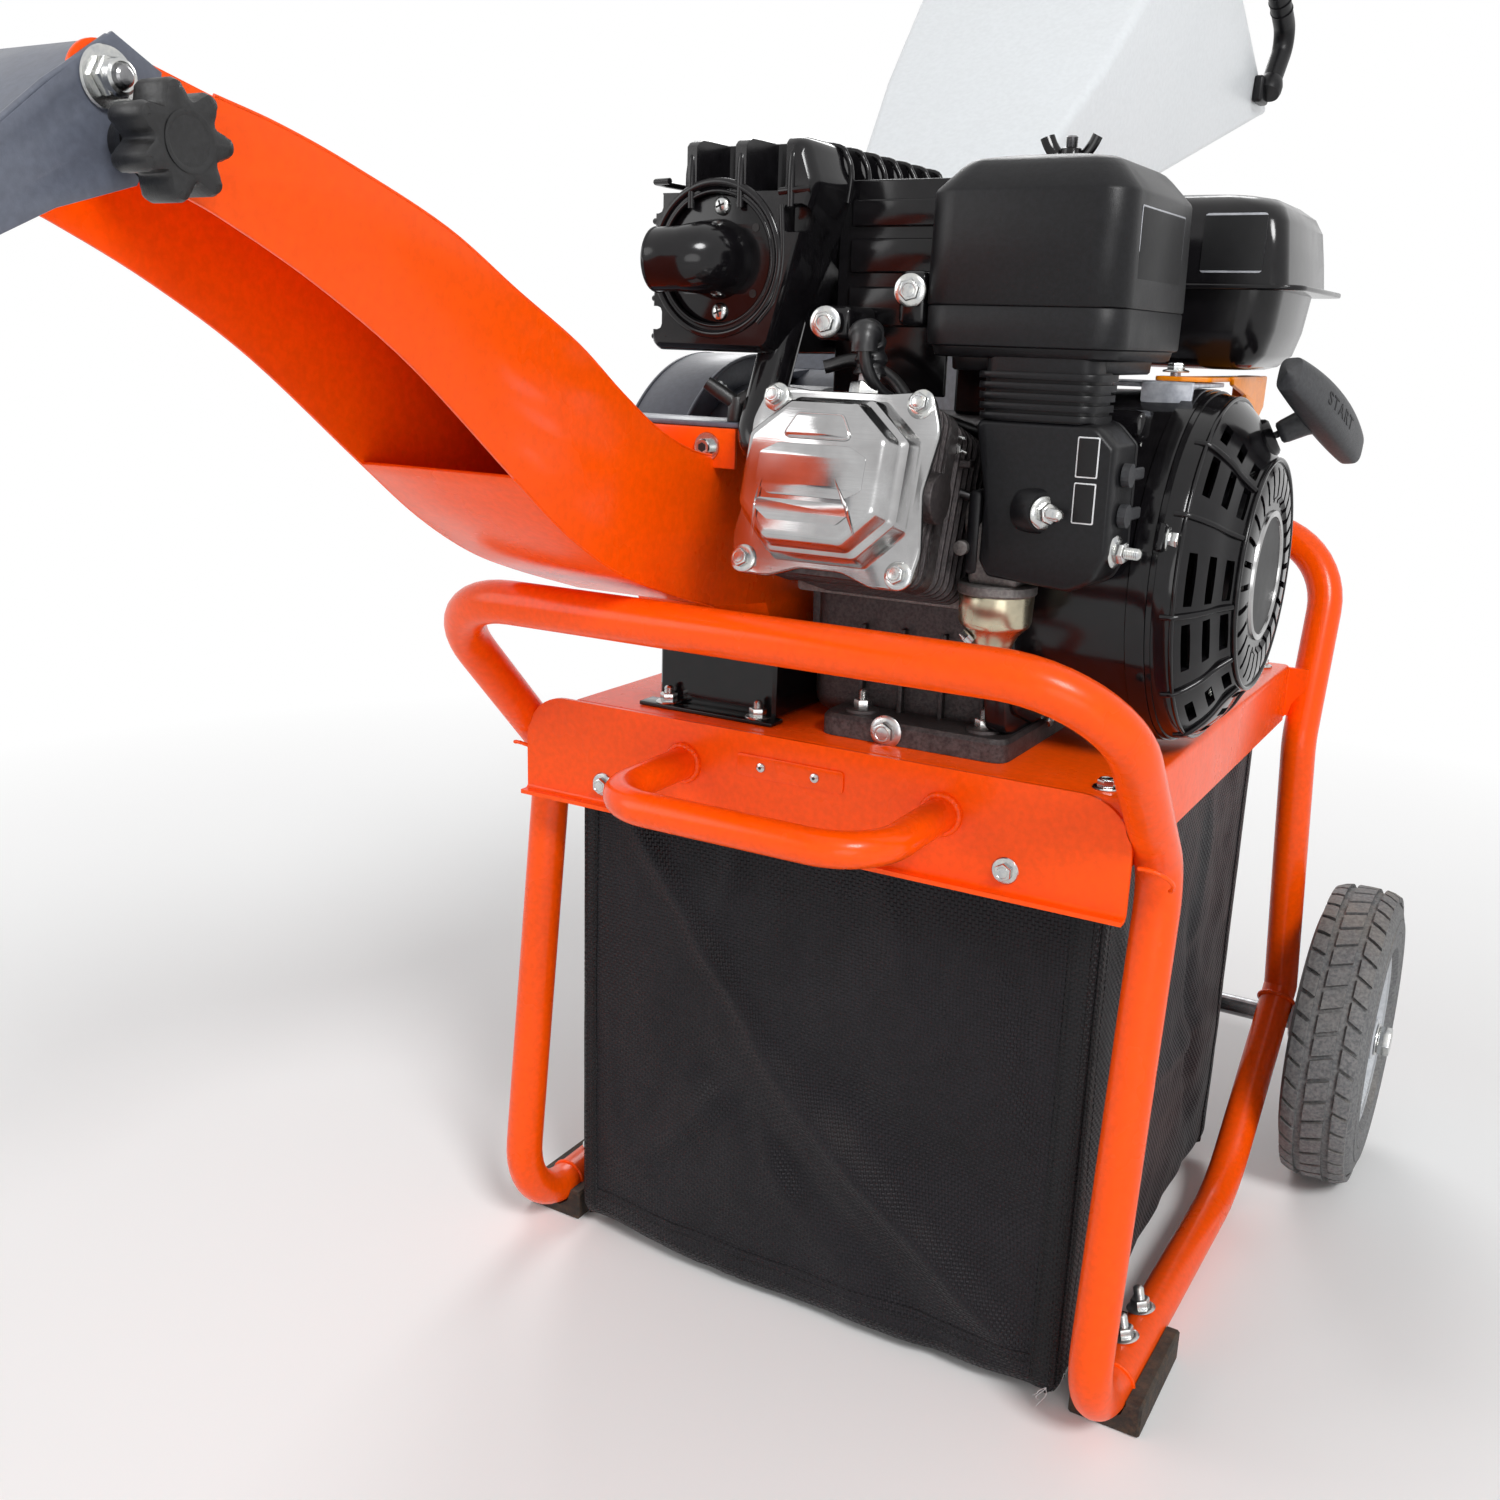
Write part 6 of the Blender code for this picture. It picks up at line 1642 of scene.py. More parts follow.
class ENGINE_OT_block(bpy.types.Operator):
    """Crankcase on its base, finned barrel and cylinder head"""

    bl_idname = "chipper.block"
    bl_label = "Crankcase, barrel and head"

    def execute(self, context):
        base = DECK_TOP + GAP
        case = Piece("crankcase_casting")
        foot = soft_corners([(0.0, -0.012), (0.117, -0.012), (0.117, 0.195), (0.0, 0.195)], 0.01)
        top = [(x + (0.0585 - x) * 0.03, y + (0.09 - y) * 0.02) for x, y in foot]
        foot = stacked([(0.0, foot), (0.0105, foot), (0.013, top)])
        case.add(lift(foot, base), CASTING)
        for x, y in ENGINE_BOLTS:
            case.add(rod((x, y, base + 0.008), (x, y, base + 0.015), 0.0105, 0.0098, 32, 0.0012), CASTING)
        body = block((-0.023, 0.018, base + 0.004), (0.1, 0.17, 0.59), 0.012, 4)
        flywheel = rod((0.1, *CRANK), (0.3, *CRANK), 0.102, sides=64)
        bore = rod((-0.2, *CRANK), (0.2, *CRANK), 0.0105, sides=48)
        case.add(carved(body, [flywheel, bore]), CASTING)
        case.add(rod((-0.033, *CRANK), (0.0, *CRANK), 0.032, 0.036, 48, 0.002), CASTING)
        side = soft_corners([(0.026, 0.432), (0.158, 0.432), (0.162, 0.578), (0.022, 0.578)], 0.016)
        case.add(side_slab(side, -0.027, -0.021, 0.0012, (circle(CRANK, 0.034, 40),)), CASTING)
        for y, z in ((0.034, 0.44), (0.15, 0.44), (0.153, 0.568), (0.03, 0.568), (0.092, 0.436), (0.156, 0.505)):
            hex_bolt(case, (-0.027, y, z), (-1, 0, 0), 0.0046, 0.004)
        for i in range(4):
            x = 0.012 + i * 0.026
            case.add(block((x, 0.0135, base + 0.012), (x + 0.003, 0.02, 0.47), 0.0009), CASTING)
        flange = soft_corners([(-0.02, 0.49), (0.107, 0.49), (0.107, 0.498), (-0.02, 0.498)], 0.003)
        case.add(put(slab(flange, 0.03, 0.001), upright(0, 0.006, 0)), ALLOY)
        hex_bolt(case, (0.044, -0.012, base + 0.0075), FRONT, 0.0066, 0.0048)
        case.place(stands_for=("crankcase",), slot="cast_aluminium")
        self.barrel()
        dress("crankshaft", STEEL, 0.0006)
        dress("flywheel_fan", ALLOY, 0.0006)
        dress("recoil_pulley", MOULDED, 0.0003)
        dress("tank_bracket", GLOSS, 0.001)
        return {"FINISHED"}

    def barrel(self):
        barrel = Piece("cylinder_barrel")
        shapes = [on_head(block((-0.036, -0.036, -0.13), (0.036, 0.036, -0.042), 0.006, 3))]
        outline = rounded_rect((-0.046, -0.046), (0.046, 0.046), 0.01)
        for i in range(7):
            level = Matrix.Translation((0, 0, -0.0418 - i * 0.0075))
            shapes.append(on_head(put(slab(outline, 0.0026, 0.0007), level)))
        for shape in shapes:
            inside_case = block((-0.1, 0.0177, 0.3), (0.2, 0.3, 0.8), 0.0)
            barrel.add(carved(shape, [inside_case]), CASTING)
        barrel.place(stands_for=("cylinder",), slot="cast_aluminium")
        head = Piece("cylinder_head_casting")
        outline = soft_corners([(-0.047, -0.047), (0.047, -0.047), (0.047, 0.047), (-0.047, 0.047)], 0.011)
        head.add(on_head(stacked([(-0.04, outline), (-0.03, outline)])), CASTING)
        inner = [(x * 0.9, y * 0.9) for x, y in outline]
        head.add(on_head(stacked([(-0.031, inner), (-0.008, inner)])), CASTING)
        for z in (-0.026, -0.0195, -0.013):
            head.add(on_head(lift(slab(outline, 0.0026, 0.0008), z)), CASTING)
        head.add(on_head(stacked([(-0.01, outline), (-0.005, outline)])), CASTING)
        head.add(on_head(rod((0.02, 0.0, -0.02), (0.052, 0.0, -0.02), 0.013, sides=32, bevel=0.001)), CASTING)
        for x, y in ((-0.036, -0.04), (0.036, -0.04), (-0.036, 0.04), (0.036, 0.04)):
            head.add(on_head(rod((x, y, -0.04), (x, y, -0.006), 0.0075, sides=24, bevel=0.0008)), CASTING)
        head.place(stands_for=("cylinder_head",), slot="cast_aluminium")


class ENGINE_OT_rocker(bpy.types.Operator):
    """Pressed rocker cover with its raised octagon, panels and four bolts"""

    bl_idname = "chipper.rocker"
    bl_label = "Rocker cover"

    def execute(self, context):
        cover = Piece("rocker_cover_stamping")
        ear = [
            (-0.05, -0.05), (-0.03, -0.0505), (-0.012, -0.0445), (0.012, -0.0445), (0.03, -0.0505), (0.05, -0.05),
            (0.0535, -0.03), (0.049, 0.0), (0.0535, 0.03), (0.046, 0.0495), (0.022, 0.047), (-0.022, 0.047),
            (-0.046, 0.0495), (-0.0535, 0.03), (-0.049, 0.0), (-0.0535, -0.03),
        ]
        loop = soft_corners(
            ear, [0.009, 0.02, 0.02, 0.02, 0.02, 0.009] + [0.02] * 3 + [0.009, 0.02, 0.02, 0.009] + [0.02] * 3, 6,
        )
        for material, rim in (
            (STAMPED, ((-0.0048, 1.0), (-0.0036, 1.004), (-0.002, 0.998), (-0.0012, 0.985))),
            (RUBBER, ((-0.006, 0.97), (-0.0046, 0.975))),
        ):
            cover.add(on_head(stacked([(z, scaled(loop, (0, 0), share)) for z, share in rim])), material)

        def octagon(w, top, base, cut):
            corners = [
                (-w, -base + cut), (-w + cut, -base), (w - cut, -base), (w, -base + cut),
                (w, top - cut), (w - cut * 1.15, top), (-w + cut * 1.15, top), (-w, top - cut),
            ]
            return soft_corners(corners, 0.006, 6)

        levels = (
            (-0.0016, 0.0465, 0.043, 0.042, 0.02), (0.0002, 0.0448, 0.0415, 0.0405, 0.0195),
            (0.01, 0.0436, 0.0404, 0.0394, 0.019), (0.0118, 0.0428, 0.0396, 0.0386, 0.0188),
            (0.0128, 0.0408, 0.0378, 0.0368, 0.018), (0.0142, 0.04, 0.037, 0.036, 0.0178),
            (0.0225, 0.0388, 0.0358, 0.035, 0.0172), (0.0248, 0.0372, 0.0344, 0.0334, 0.0166),
            (0.026, 0.0345, 0.0318, 0.031, 0.0155),
        )
        cover.add(on_head(stacked([(z, octagon(*sides)) for z, *sides in levels])), STAMPED)
        panels = (
            soft_corners([(-0.0185, 0.0165), (0.0205, 0.0165), (0.0135, 0.0285), (-0.0115, 0.0285)], 0.003),
            soft_corners(
                [
                    (-0.027, -0.0155), (0.023, -0.0155), (0.025, -0.019), (0.019, -0.0245), (-0.019, -0.0245),
                    (-0.027, -0.019),
                ],
                0.003,
            ),
        )
        for outline in panels:
            raised = slab(outline, 0.0018, 0.0008)
            cover.add(on_head(lift(raised, 0.0262)), STAMPED)
            cover.add(on_head(closed_pipe([(x, y, 0.0263) for x, y in outline], 0.0006, 10)), STAMPED)
        bare = [(x * 0.86, y * 0.5 + 0.0005) for x, y in octagon(0.0345, 0.026, 0.026, 0.01)]
        cover.add(on_head(lift(slab(bare, 0.0008, 0.0003), 0.026)), STAMPED)
        for x, y in ((-0.0445, -0.043), (0.0445, -0.043), (-0.041, 0.0425), (0.041, 0.0425)):
            hex_bolt(cover, HEAD_FRAME @ Vector((x, y, -0.0012)), HEAD_OUT, 0.0049, 0.0046)
        cover.place(stands_for=("rocker_cover",), slot="bright_steel", smooth=50.0)
        return {"FINISHED"}


def block_slot(x0, x1, y0, y1, z0, z1):
    """Cutter for one rounded slot of the guard."""
    return block((x0, y0, z0), (x1, y1, z1), 0.003, 2)


class ENGINE_OT_exhaust(bpy.types.Operator):
    """Muffler with its elbow inside a slotted and ribbed guard"""

    bl_idname = "chipper.exhaust"
    bl_label = "Muffler and guard"

    def execute(self, context):
        low, high = span("muffler_guard")
        self.muffler(low, high)
        self.guard(low, high)
        return {"FINISHED"}

    def muffler(self, low, high):
        drum = block(
            (low.x + 0.01, low.y + 0.012, low.z + 0.012), (high.x - 0.01, high.y - 0.014, high.z - 0.035), 0.016, 5,
        )
        muffler = Piece("muffler_drum").add(drum, GLOSS)
        seam_y = (low.y + high.y) / 2
        ring = rounded_rect((low.x + 0.0075, low.z + 0.0095), (high.x - 0.0075, high.z - 0.0325), 0.016, 6)
        muffler.add(pipe([(x, seam_y, z) for x, z in ring + ring[:1]], 0.0022, 12, caps=False), GLOSS)
        x, z = OUTLET_X + 0.0003, OUTLET_Z
        elbow = [
            (x, low.y + 0.006, z), (x, low.y - 0.004, z), (x - 0.0012, low.y - 0.013, z - 0.0002),
            (x - 0.0062, low.y - 0.0195, z - 0.0008), (x - 0.0135, low.y - 0.0222, z - 0.0012),
            (x - 0.0225, low.y - 0.023, z - 0.0016),
        ]
        line = flowing(elbow, 8)
        radii = [0.0215 - 0.0048 * min(1.0, i / (len(line) * 0.7)) for i in range(len(line))]
        muffler.add(pipe(line, radii, 40), GLOSS)
        tip = Vector(line[-1])
        muffler.add(bead_ring(tip, (1, 0.06, 0), 0.016, 0.0012, 40, 10), GLOSS)
        # A near-black disc at the outlet's end is painted shade inside the pipe.
        muffler.add(rod(tip - Vector((0.0004, 0, 0)), tip - Vector((0.0012, 0, 0)), 0.0138, sides=40), PAINTED_SHADE)
        port = Vector((-0.0038, -0.06, 0.572))
        inlet = bent_path([port, port + Vector((-0.02, 0, 0)), port + Vector((-0.024, 0.042, 0.073))], (0.016,), 8)
        muffler.add(pipe(inlet, 0.011, 28), GLOSS)
        for y in (-0.015, 0.0925):
            muffler.add(rod((-0.056, y, high.z - 0.045), (-0.056, y, high.z - 0.0023), 0.004, sides=20), GLOSS)
        muffler.place(stands_for=("muffler",), slot="black_paint")

    def guard(self, low, high):
        x0, y0, y1 = low.x, low.y, high.y
        profile = [(x0, 0.624), (-0.022, 0.624), (0.004, 0.712), (-0.004, high.z), (x0 + 0.002, high.z)]
        radii = [0.006, 0.006, 0.01, 0.01, 0.014]
        outer = soft_corners(profile, radii, 6)
        tight, snug, wide, widest = (scaled(outer, (-0.052, 0.68), s) for s in (0.92, 0.93, 0.955, 0.968))
        shell = put(stacked([(y0, snug), (y0 + 0.0022, widest), (y0 + 0.007, outer), (y1, outer)]), STAND)
        hollow = put(stacked([(y0 + 0.0025, tight), (y0 + 0.009, wide), (y1 + 0.02, wide)]), STAND)
        below = block((x0 + 0.01, y0 + 0.03, 0.6), (-0.03, y1 + 0.03, 0.64), 0.0)
        cutters = [
            hollow, below, rod((OUTLET_X, y0 - 0.01, OUTLET_Z), (OUTLET_X, y0 + 0.02, OUTLET_Z), 0.0345, sides=48),
        ]
        for x in (-0.088, -0.0575, -0.0265):
            cutters.append(block_slot(x - 0.0122, x + 0.0122, y0 - 0.01, y0 + 0.034, 0.707, 0.77))
        for i in range(6):
            y = -0.006 + i * 0.0212
            cutters.append(block_slot(-0.088, 0.03, y, y + 0.015, 0.7085, 0.77))
        for i in range(4):
            z = 0.635 + i * 0.0205
            cutters.append(block_slot(x0 - 0.01, x0 + 0.009, y0 - 0.01, y0 + 0.03, z, z + 0.0125))
        for i in range(5):
            y = 0.0 + i * 0.0235
            cutters.append(block_slot(x0 - 0.01, x0 + 0.009, y, y + 0.015, 0.648, 0.705))
        cutters.append(block_slot(-0.015, -0.001, y0 - 0.01, y0 + 0.012, 0.6862, 0.7005))
        cutters.append(block_slot(-0.03, 0.02, 0.02, 0.06, 0.668, 0.69))
        guard = Piece("muffler_guard_cage").add(carved(shell, cutters), GLOSS)
        for x in (-0.073, -0.042, -0.011):
            rise = [
                (x, y0 + 0.0005, 0.699), (x, y0 + 0.0004, 0.716), (x, y0 + 0.0022, 0.7262),
                (x, y0 + 0.0095, high.z - 0.0016), (x, y0 + 0.034, high.z - 0.0008),
            ]
            guard.add(pipe(flowing(rise, 5), 0.0021, 12), GLOSS)
        for i in range(7):
            y = -0.0098 + i * 0.0212
            rib = [
                (-0.088, y, high.z - 0.0006), (-0.048, y, high.z - 0.0005), (-0.008, y, high.z - 0.0008),
                (0.0005, y, high.z - 0.0065), (0.0036, y, 0.718), (0.0022, y, 0.704),
            ]
            guard.add(pipe(flowing(rib, 5), 0.0017, 10), GLOSS)
        for i in range(5):
            z = 0.6312 + i * 0.0205
            guard.add(
                pipe(
                    [
                        (x0 + 0.012, y0 + 0.0015, z), (x0 + 0.0015, y0 + 0.004, z), (x0 - 0.0003, y0 + 0.016, z),
                        (x0, y0 + 0.05, z),
                    ],
                    0.0018, 10,
                ),
                GLOSS,
            )
        front = (OUTLET_X, y0 + 0.0006, OUTLET_Z)
        guard.add(bead_ring(front, (0, 1, 0), 0.0395, 0.0024, 72, 12), GLOSS)
        guard.add(bead_ring(front, (0, 1, 0), 0.035, 0.0012, 72, 10), GLOSS)
        plate = slab(circle((0, 0), 0.0338, 64), 0.002, 0.0006, (circle((0, 0), 0.017, 40),))
        guard.add(put(plate, upright(front[0], y0 + 0.004, front[2])), GLOSS)
        for rise in (0.0276, -0.0276):
            cross_screw(guard, (front[0] + 0.002, y0 + 0.003, front[2] + rise), FRONT, 0.0049)
        # Near-black discs on the front plate are painted shade standing in for its holes.
        for turn in (35, -38, -150):
            a = math.radians(turn)
            hole = (front[0] + 0.0285 * math.cos(a), y0 + 0.0029, front[2] + 0.0285 * math.sin(a))
            guard.add(rod(hole, (hole[0], y0 + 0.0026, hole[2]), 0.0022, sides=20), PAINTED_SHADE)
        guard.add(
            pipe(
                flowing([(-0.018, y0 + 0.001, 0.7065), (-0.009, y0 + 0.001, 0.7072), (0.0, y0 + 0.0018, 0.7078)], 4),
                0.0022, 12,
            ),
            GLOSS,
        )
        edge = [
            (-0.0165, y0 + 0.001, 0.7), (-0.015, y0 + 0.001, 0.672), (-0.0195, y0 + 0.001, 0.652),
            (-0.029, y0 + 0.001, 0.64),
        ]
        guard.add(pipe(flowing(edge, 6), 0.0018, 12), GLOSS)
        self.side_shield(guard)
        for at in ((0.0107, -0.046, 0.6412), (0.0594, -0.047, 0.6579)):
            hex_bolt(guard, at, (0.25, -1, 0), 0.0056, 0.0048)
        guard.place(stands_for=("muffler_guard",), slot="black_paint", smooth=40.0)

    def side_shield(self, guard):
        """Black pressed shield between the guard and the air cleaner."""
        guard.add(block((-0.004, -0.006, 0.604), (0.064, -0.003, 0.716), 0.001), GLOSS)
        for z0, z1 in ((0.692, 0.706), (0.668, 0.686), (0.64, 0.661)):
            guard.add(block((0.004, -0.0085, z0), (0.06, -0.0052, z1), 0.0014, 3), GLOSS)
        guard.add(block((0.0, -0.04, 0.632), (0.022, -0.006, 0.65), 0.004, 3), GLOSS)
        guard.add(block((0.05, -0.042, 0.64), (0.066, -0.004, 0.668), 0.004, 3), GLOSS)
        guard.add(
            pipe(
                flowing(
                    [(0.01, -0.044, 0.618), (0.026, -0.036, 0.622), (0.046, -0.034, 0.613), (0.06, -0.038, 0.6)], 6,
                ),
                0.0036, 16,
            ),
            RUBBER,
        )


class ENGINE_OT_air_cleaner(bpy.types.Operator):
    """Air cleaner lid, tray, ribbed neck, intake cover with studs and blank plates"""

    bl_idname = "chipper.air_cleaner"
    bl_label = "Air cleaner"

    def execute(self, context):
        self.lid()
        self.housing()
        self.wing_nut()
        dress("filter_element", "Filter Foam", 0.001)
        return {"FINISHED"}

    def outline(self, inset, corner=0.017):
        low, high = span("filter_lid")
        return rounded_rect(
            (low.x + inset, low.y + inset), (high.x - inset, high.y - inset), max(corner - inset * 0.4, 0.004), 7,
        )

    def form(self, levels):
        """Closed form of the lid's outline; each level is its height, its inset and, if it differs, its corner."""
        return stacked([(z, self.outline(*inset)) for z, *inset in levels])

    def lid(self):
        low, high = span("filter_lid")
        seam, top = low.z, high.z
        levels = [
            (seam, 0.0006), (seam + 0.0008, 0.0), (seam + 0.03, 0.0004),
            (top - 0.0215, 0.0008), (top - 0.0195, 0.0016), (top - 0.009, 0.011),
            (top - 0.0062, 0.014), (top - 0.0046, 0.017), (top - 0.0022, 0.029, 0.022),
            (top - 0.0016, 0.04, 0.028),
        ]
        shell = self.form(levels)
        centre = ((low.x + high.x) / 2, (low.y + high.y) / 2)
        dish = [(-0.0052, 0.0), (-0.0052, 0.0185), (-0.004, 0.0205), (0.004, 0.0225), (0.004, 0.0)]
        recess = lathe(dish, (*centre, top - 0.0016), UP, 56)
        lid = Piece("air_cleaner_lid").add(carved(shell, [recess]), MOULDED)
        sticker = slab(rounded_rect((-0.033, 0.664), (0.044, 0.699), 0.0014), 0.0003, 0.0001)
        x = high.x - 0.0005
        lid.add(put(sticker, Matrix.Translation((x, 0, 0)) @ SWING_X), RULE)
        inner = slab(rounded_rect((-0.0322, 0.6648), (0.0432, 0.6982), 0.001), 0.0004, 0.0001)
        lid.add(put(inner, Matrix.Translation((x + 0.00012, 0, 0)) @ SWING_X), STICKER)
        lid.place(stands_for=("filter_lid",), slot="black_plastic", smooth=48.0)

    def housing(self):
        seam = span("filter_lid")[0].z
        base = seam - 0.0253
        tray = Piece("air_cleaner_tray")
        tray.add(self.form([
            (base, 0.0062), (base + 0.0012, 0.0042), (base + 0.0052, 0.0032),
            (base + 0.006, 0.001), (base + 0.0072, 0.0006), (seam - 0.001, 0.0004),
            (seam - 0.0002, 0.001),
        ]), MOULDED)
        tray.add(self.form([(base - 0.0066, 0.0135), (base - 0.0056, 0.0125), (base + 0.001, 0.012)]), MOULDED)
        x0, x1, y0, y1 = 0.0985, 0.1625, -0.0495, -0.008
        for i in range(7):
            z = base - 0.0075 - i * 0.005
            lean = i * 0.0004
            loop = rounded_rect((x0 + lean, y0), (x1 - lean, y1), 0.009, 5)
            proud = [(x, y - 0.0004) for x, y in loop]
            tray.add(stacked([
                (z - 0.0021, loop), (z - 0.0016, proud), (z + 0.0006, proud), (z + 0.0012, loop),
            ]), MOULDED)
        core = rounded_rect((x0 + 0.003, y0 + 0.0024), (x1 - 0.003, y1 - 0.002), 0.008, 5)
        tray.add(stacked([(0.584, core), (base + 0.002, core)]), MOULDED)
        self.intake_cover(tray)
        tray.place(stands_for=("filter_housing",), slot="black_plastic", smooth=46.0)
        for node in ("choke_lever", "fuel_lever"):
            dress(node, GRIP_PLASTIC, 0.0006)

    def intake_cover(self, tray):
        front = [
            (0.1, 0.5965), (0.164, 0.5965), (0.1745, 0.586), (0.175, 0.533), (0.169, 0.519),
            (0.156, 0.5125), (0.112, 0.516), (0.107, 0.524), (0.1075, 0.556),
        ]
        loop = soft_corners(front, [0.004, 0.01, 0.004, 0.01, 0.01, 0.01, 0.004, 0.004, 0.02], 5)
        face = [
            (y, scaled(loop, (0.14, 0.556), share))
            for y, share in ((-0.0502, 0.93), (-0.05, 0.945), (-0.0486, 0.975), (-0.045, 0.995))
        ]
        tray.add(put(stacked(face + [(-0.039, loop), (-0.0145, loop)]), STAND), MOULDED)
        tray.add(pipe([(x, -0.015, z) for x, z in loop + loop[:1]], 0.001, 8, caps=False), MOULDED)
        boss = lathe(
            [(0.0, 0.0), (0.0, 0.0125), (0.01, 0.0112), (0.0118, 0.0098), (0.0118, 0.0)], (0.132, -0.044, 0.5525),
            (0.8, -0.6, 0), 40,
        )
        tray.add(boss, MOULDED)
        for at, along in (((0.1415, -0.0512, 0.552), (0.8, -0.6, 0)), ((0.175, -0.0368, 0.5342), (1, -0.15, 0))):
            hex_bolt(tray, at, along, 0.0056, 0.005, thread=0.0075)
        for z0, z1 in ((0.548, 0.5682), (0.5706, 0.5905)):
            rule = slab(rounded_rect((0.1555, z0), (0.1668, z1), 0.0008), 0.0003, 0.0001)
            bare = slab(rounded_rect((0.1562, z0 + 0.0007), (0.1661, z1 - 0.0007), 0.0006), 0.0004, 0.0001)
            tray.add(put(rule, upright(0, -0.0504, 0)), NEUTRAL)
            tray.add(put(bare, upright(0, -0.05055, 0)), STICKER)

    def wing_nut(self):
        low, high = span("filter_wing_nut")
        centre = Vector(((low.x + high.x) / 2, (low.y + high.y) / 2, 0))
        z = span("filter_lid")[1].z - 0.006
        nut = Piece("air_cleaner_wing_nut")
        hub = [
            (0.0, 0.0), (0.0, 0.0074), (0.0012, 0.0076), (0.0062, 0.0058), (0.01, 0.0052), (0.0106, 0.0042),
            (0.0106, 0.0),
        ]
        nut.add(lathe(hub, centre + Vector((0, 0, z)), UP, 32), GLOSS)
        top = [(0.01, 0.0), (0.01, 0.003)]
        for i in range(7):
            top += [(0.0106 + i * 0.0008, 0.0031), (0.011 + i * 0.0008, 0.0027)]
        top += [(0.0162, 0.0024), (0.0164, 0.0)]
        nut.add(lathe(top, centre + Vector((0, 0, z)), UP, 24), STEEL)
        for side in (-1, 1):
            line = [
                (side * 0.0035, 0, 0.0035), (side * 0.0075, 0, 0.007), (side * 0.011, 0, 0.0115),
                (side * 0.0133, 0, 0.016),
            ]
            wing = pipe(
                [centre + Vector((x, y, z + h)) for x, y, h in flowing(line, 5)], [0.0036] * 5 + [0.004] * 11, 16,
                flat=0.5,
            )
            nut.add(wing, GLOSS)
        nut.place(body="wing_nut", stands_for=("filter_wing_nut",), slot="black_paint")


class ENGINE_OT_carburettor(bpy.types.Operator):
    """Carburettor with its bowl, drain bolts and linkage"""

    bl_idname = "chipper.carburettor"
    bl_label = "Carburettor"

    def execute(self, context):
        carb = Piece("carburettor_body")
        carb.add(block((0.0985, -0.047, 0.516), (0.1065, -0.014, 0.56), 0.003, 3), MOULDED)
        carb.add(block((0.1, -0.046, 0.5105), (0.128, -0.014, 0.545), 0.004, 3), ALLOY)
        carb.add(rod((0.096, -0.03, 0.545), (0.126, -0.03, 0.545), 0.0135, sides=36, bevel=0.0015), ALLOY)
        carb.add(rod((0.0975, -0.0505, 0.53), (0.0975, -0.046, 0.53), 0.004, sides=24, bevel=0.0006), ALLOY)
        bowl_x, bowl_y = 0.112, -0.03
        collar = [(0.0, 0.0), (0.0, 0.0205), (0.001, 0.0212), (0.005, 0.0212), (0.006, 0.02), (0.006, 0.0)]
        carb.add(lathe(collar, (bowl_x, bowl_y, 0.5055), UP, 56), ALLOY)
        bowl = [
            (0.0, 0.0), (0.0, 0.0196), (-0.001, 0.02), (-0.015, 0.0194), (-0.0172, 0.0186), (-0.0186, 0.0168),
            (-0.0225, 0.013), (-0.0262, 0.0112), (-0.03, 0.01), (-0.0312, 0.0086), (-0.0314, 0.0),
        ]
        carb.add(lathe(bowl, (bowl_x, bowl_y, 0.5056), UP, 56), "Nickel Bowl")
        hex_bolt(carb, (bowl_x, bowl_y, 0.4744), (0, 0, -1), 0.0052, 0.0034, flange=False)
        hex_bolt(carb, (bowl_x - 0.0105, bowl_y - 0.0085, 0.483), (-0.55, -0.45, -0.75), 0.0045, 0.0042, flange=False)
        carb.add(pipe([(0.076, -0.033, 0.56), (0.088, -0.033, 0.5565), (0.105, -0.033, 0.552)], 0.0024, 16), STEEL)
        carb.add(block((0.073, -0.0365, 0.5555), (0.08, -0.03, 0.566), 0.001), CASTING)
        carb.add(
            pipe(
                flowing(
                    [(0.092, -0.04, 0.585), (0.078, -0.042, 0.588), (0.066, -0.04, 0.5905), (0.056, -0.036, 0.588)], 6,
                ),
                0.0011, 12,
            ),
            ZINC,
        )
        carb.add(
            pipe(
                flowing(
                    [(0.095, -0.044, 0.578), (0.082, -0.045, 0.583), (0.07, -0.044, 0.584), (0.062, -0.04, 0.58)], 6,
                ),
                0.0009, 12,
            ),
            ZINC,
        )
        for at in ((0.083, -0.0415, 0.587), (0.09, -0.044, 0.58), (0.07, -0.042, 0.587)):
            carb.add(rod(at, (at[0], at[1] - 0.003, at[2]), 0.003, sides=6, bevel=0.0004), ZINC)
        carb.add(block((0.056, -0.038, 0.57), (0.095, -0.03, 0.574), 0.001), CASTING)
        carb.place(stands_for=("carburettor",), slot="cast_aluminium")
        self.linkage()
        return {"FINISHED"}

    def linkage(self):
        rods = Piece("governor_linkage")
        plate = soft_corners(
            [
                (0.022, 0.577), (0.036, 0.58), (0.06, 0.5765), (0.078, 0.5835), (0.08, 0.5885), (0.064, 0.582),
                (0.036, 0.5865), (0.021, 0.585),
            ],
            0.0018, 4,
        )
        rods.add(side_slab(plate, 0.1655, 0.1667, 0.0003), ZINC)
        for y, z in ((0.0265, 0.5812), (0.0762, 0.585)):
            rods.add(rod((0.165, y, z), (0.17, y, z), 0.0026, sides=20, bevel=0.0004), ZINC)
        coil = []
        for i in range(220):
            s = i / 219
            a = s * math.tau * 18
            coil.append((0.161 + 0.0022 * math.cos(a), 0.002 + 0.02 * s, 0.5765 + 0.0022 * math.sin(a) + 0.002 * s))
        rods.add(pipe(coil, 0.00045, 8), STEEL)
        rods.add(block((0.108, -0.014, 0.569), (0.156, 0.016, 0.573), 0.001), GLOSS)
        rods.add(block((0.108, -0.014, 0.542), (0.154, 0.012, 0.546), 0.001), GLOSS)
        rods.place(slot="bright_steel")


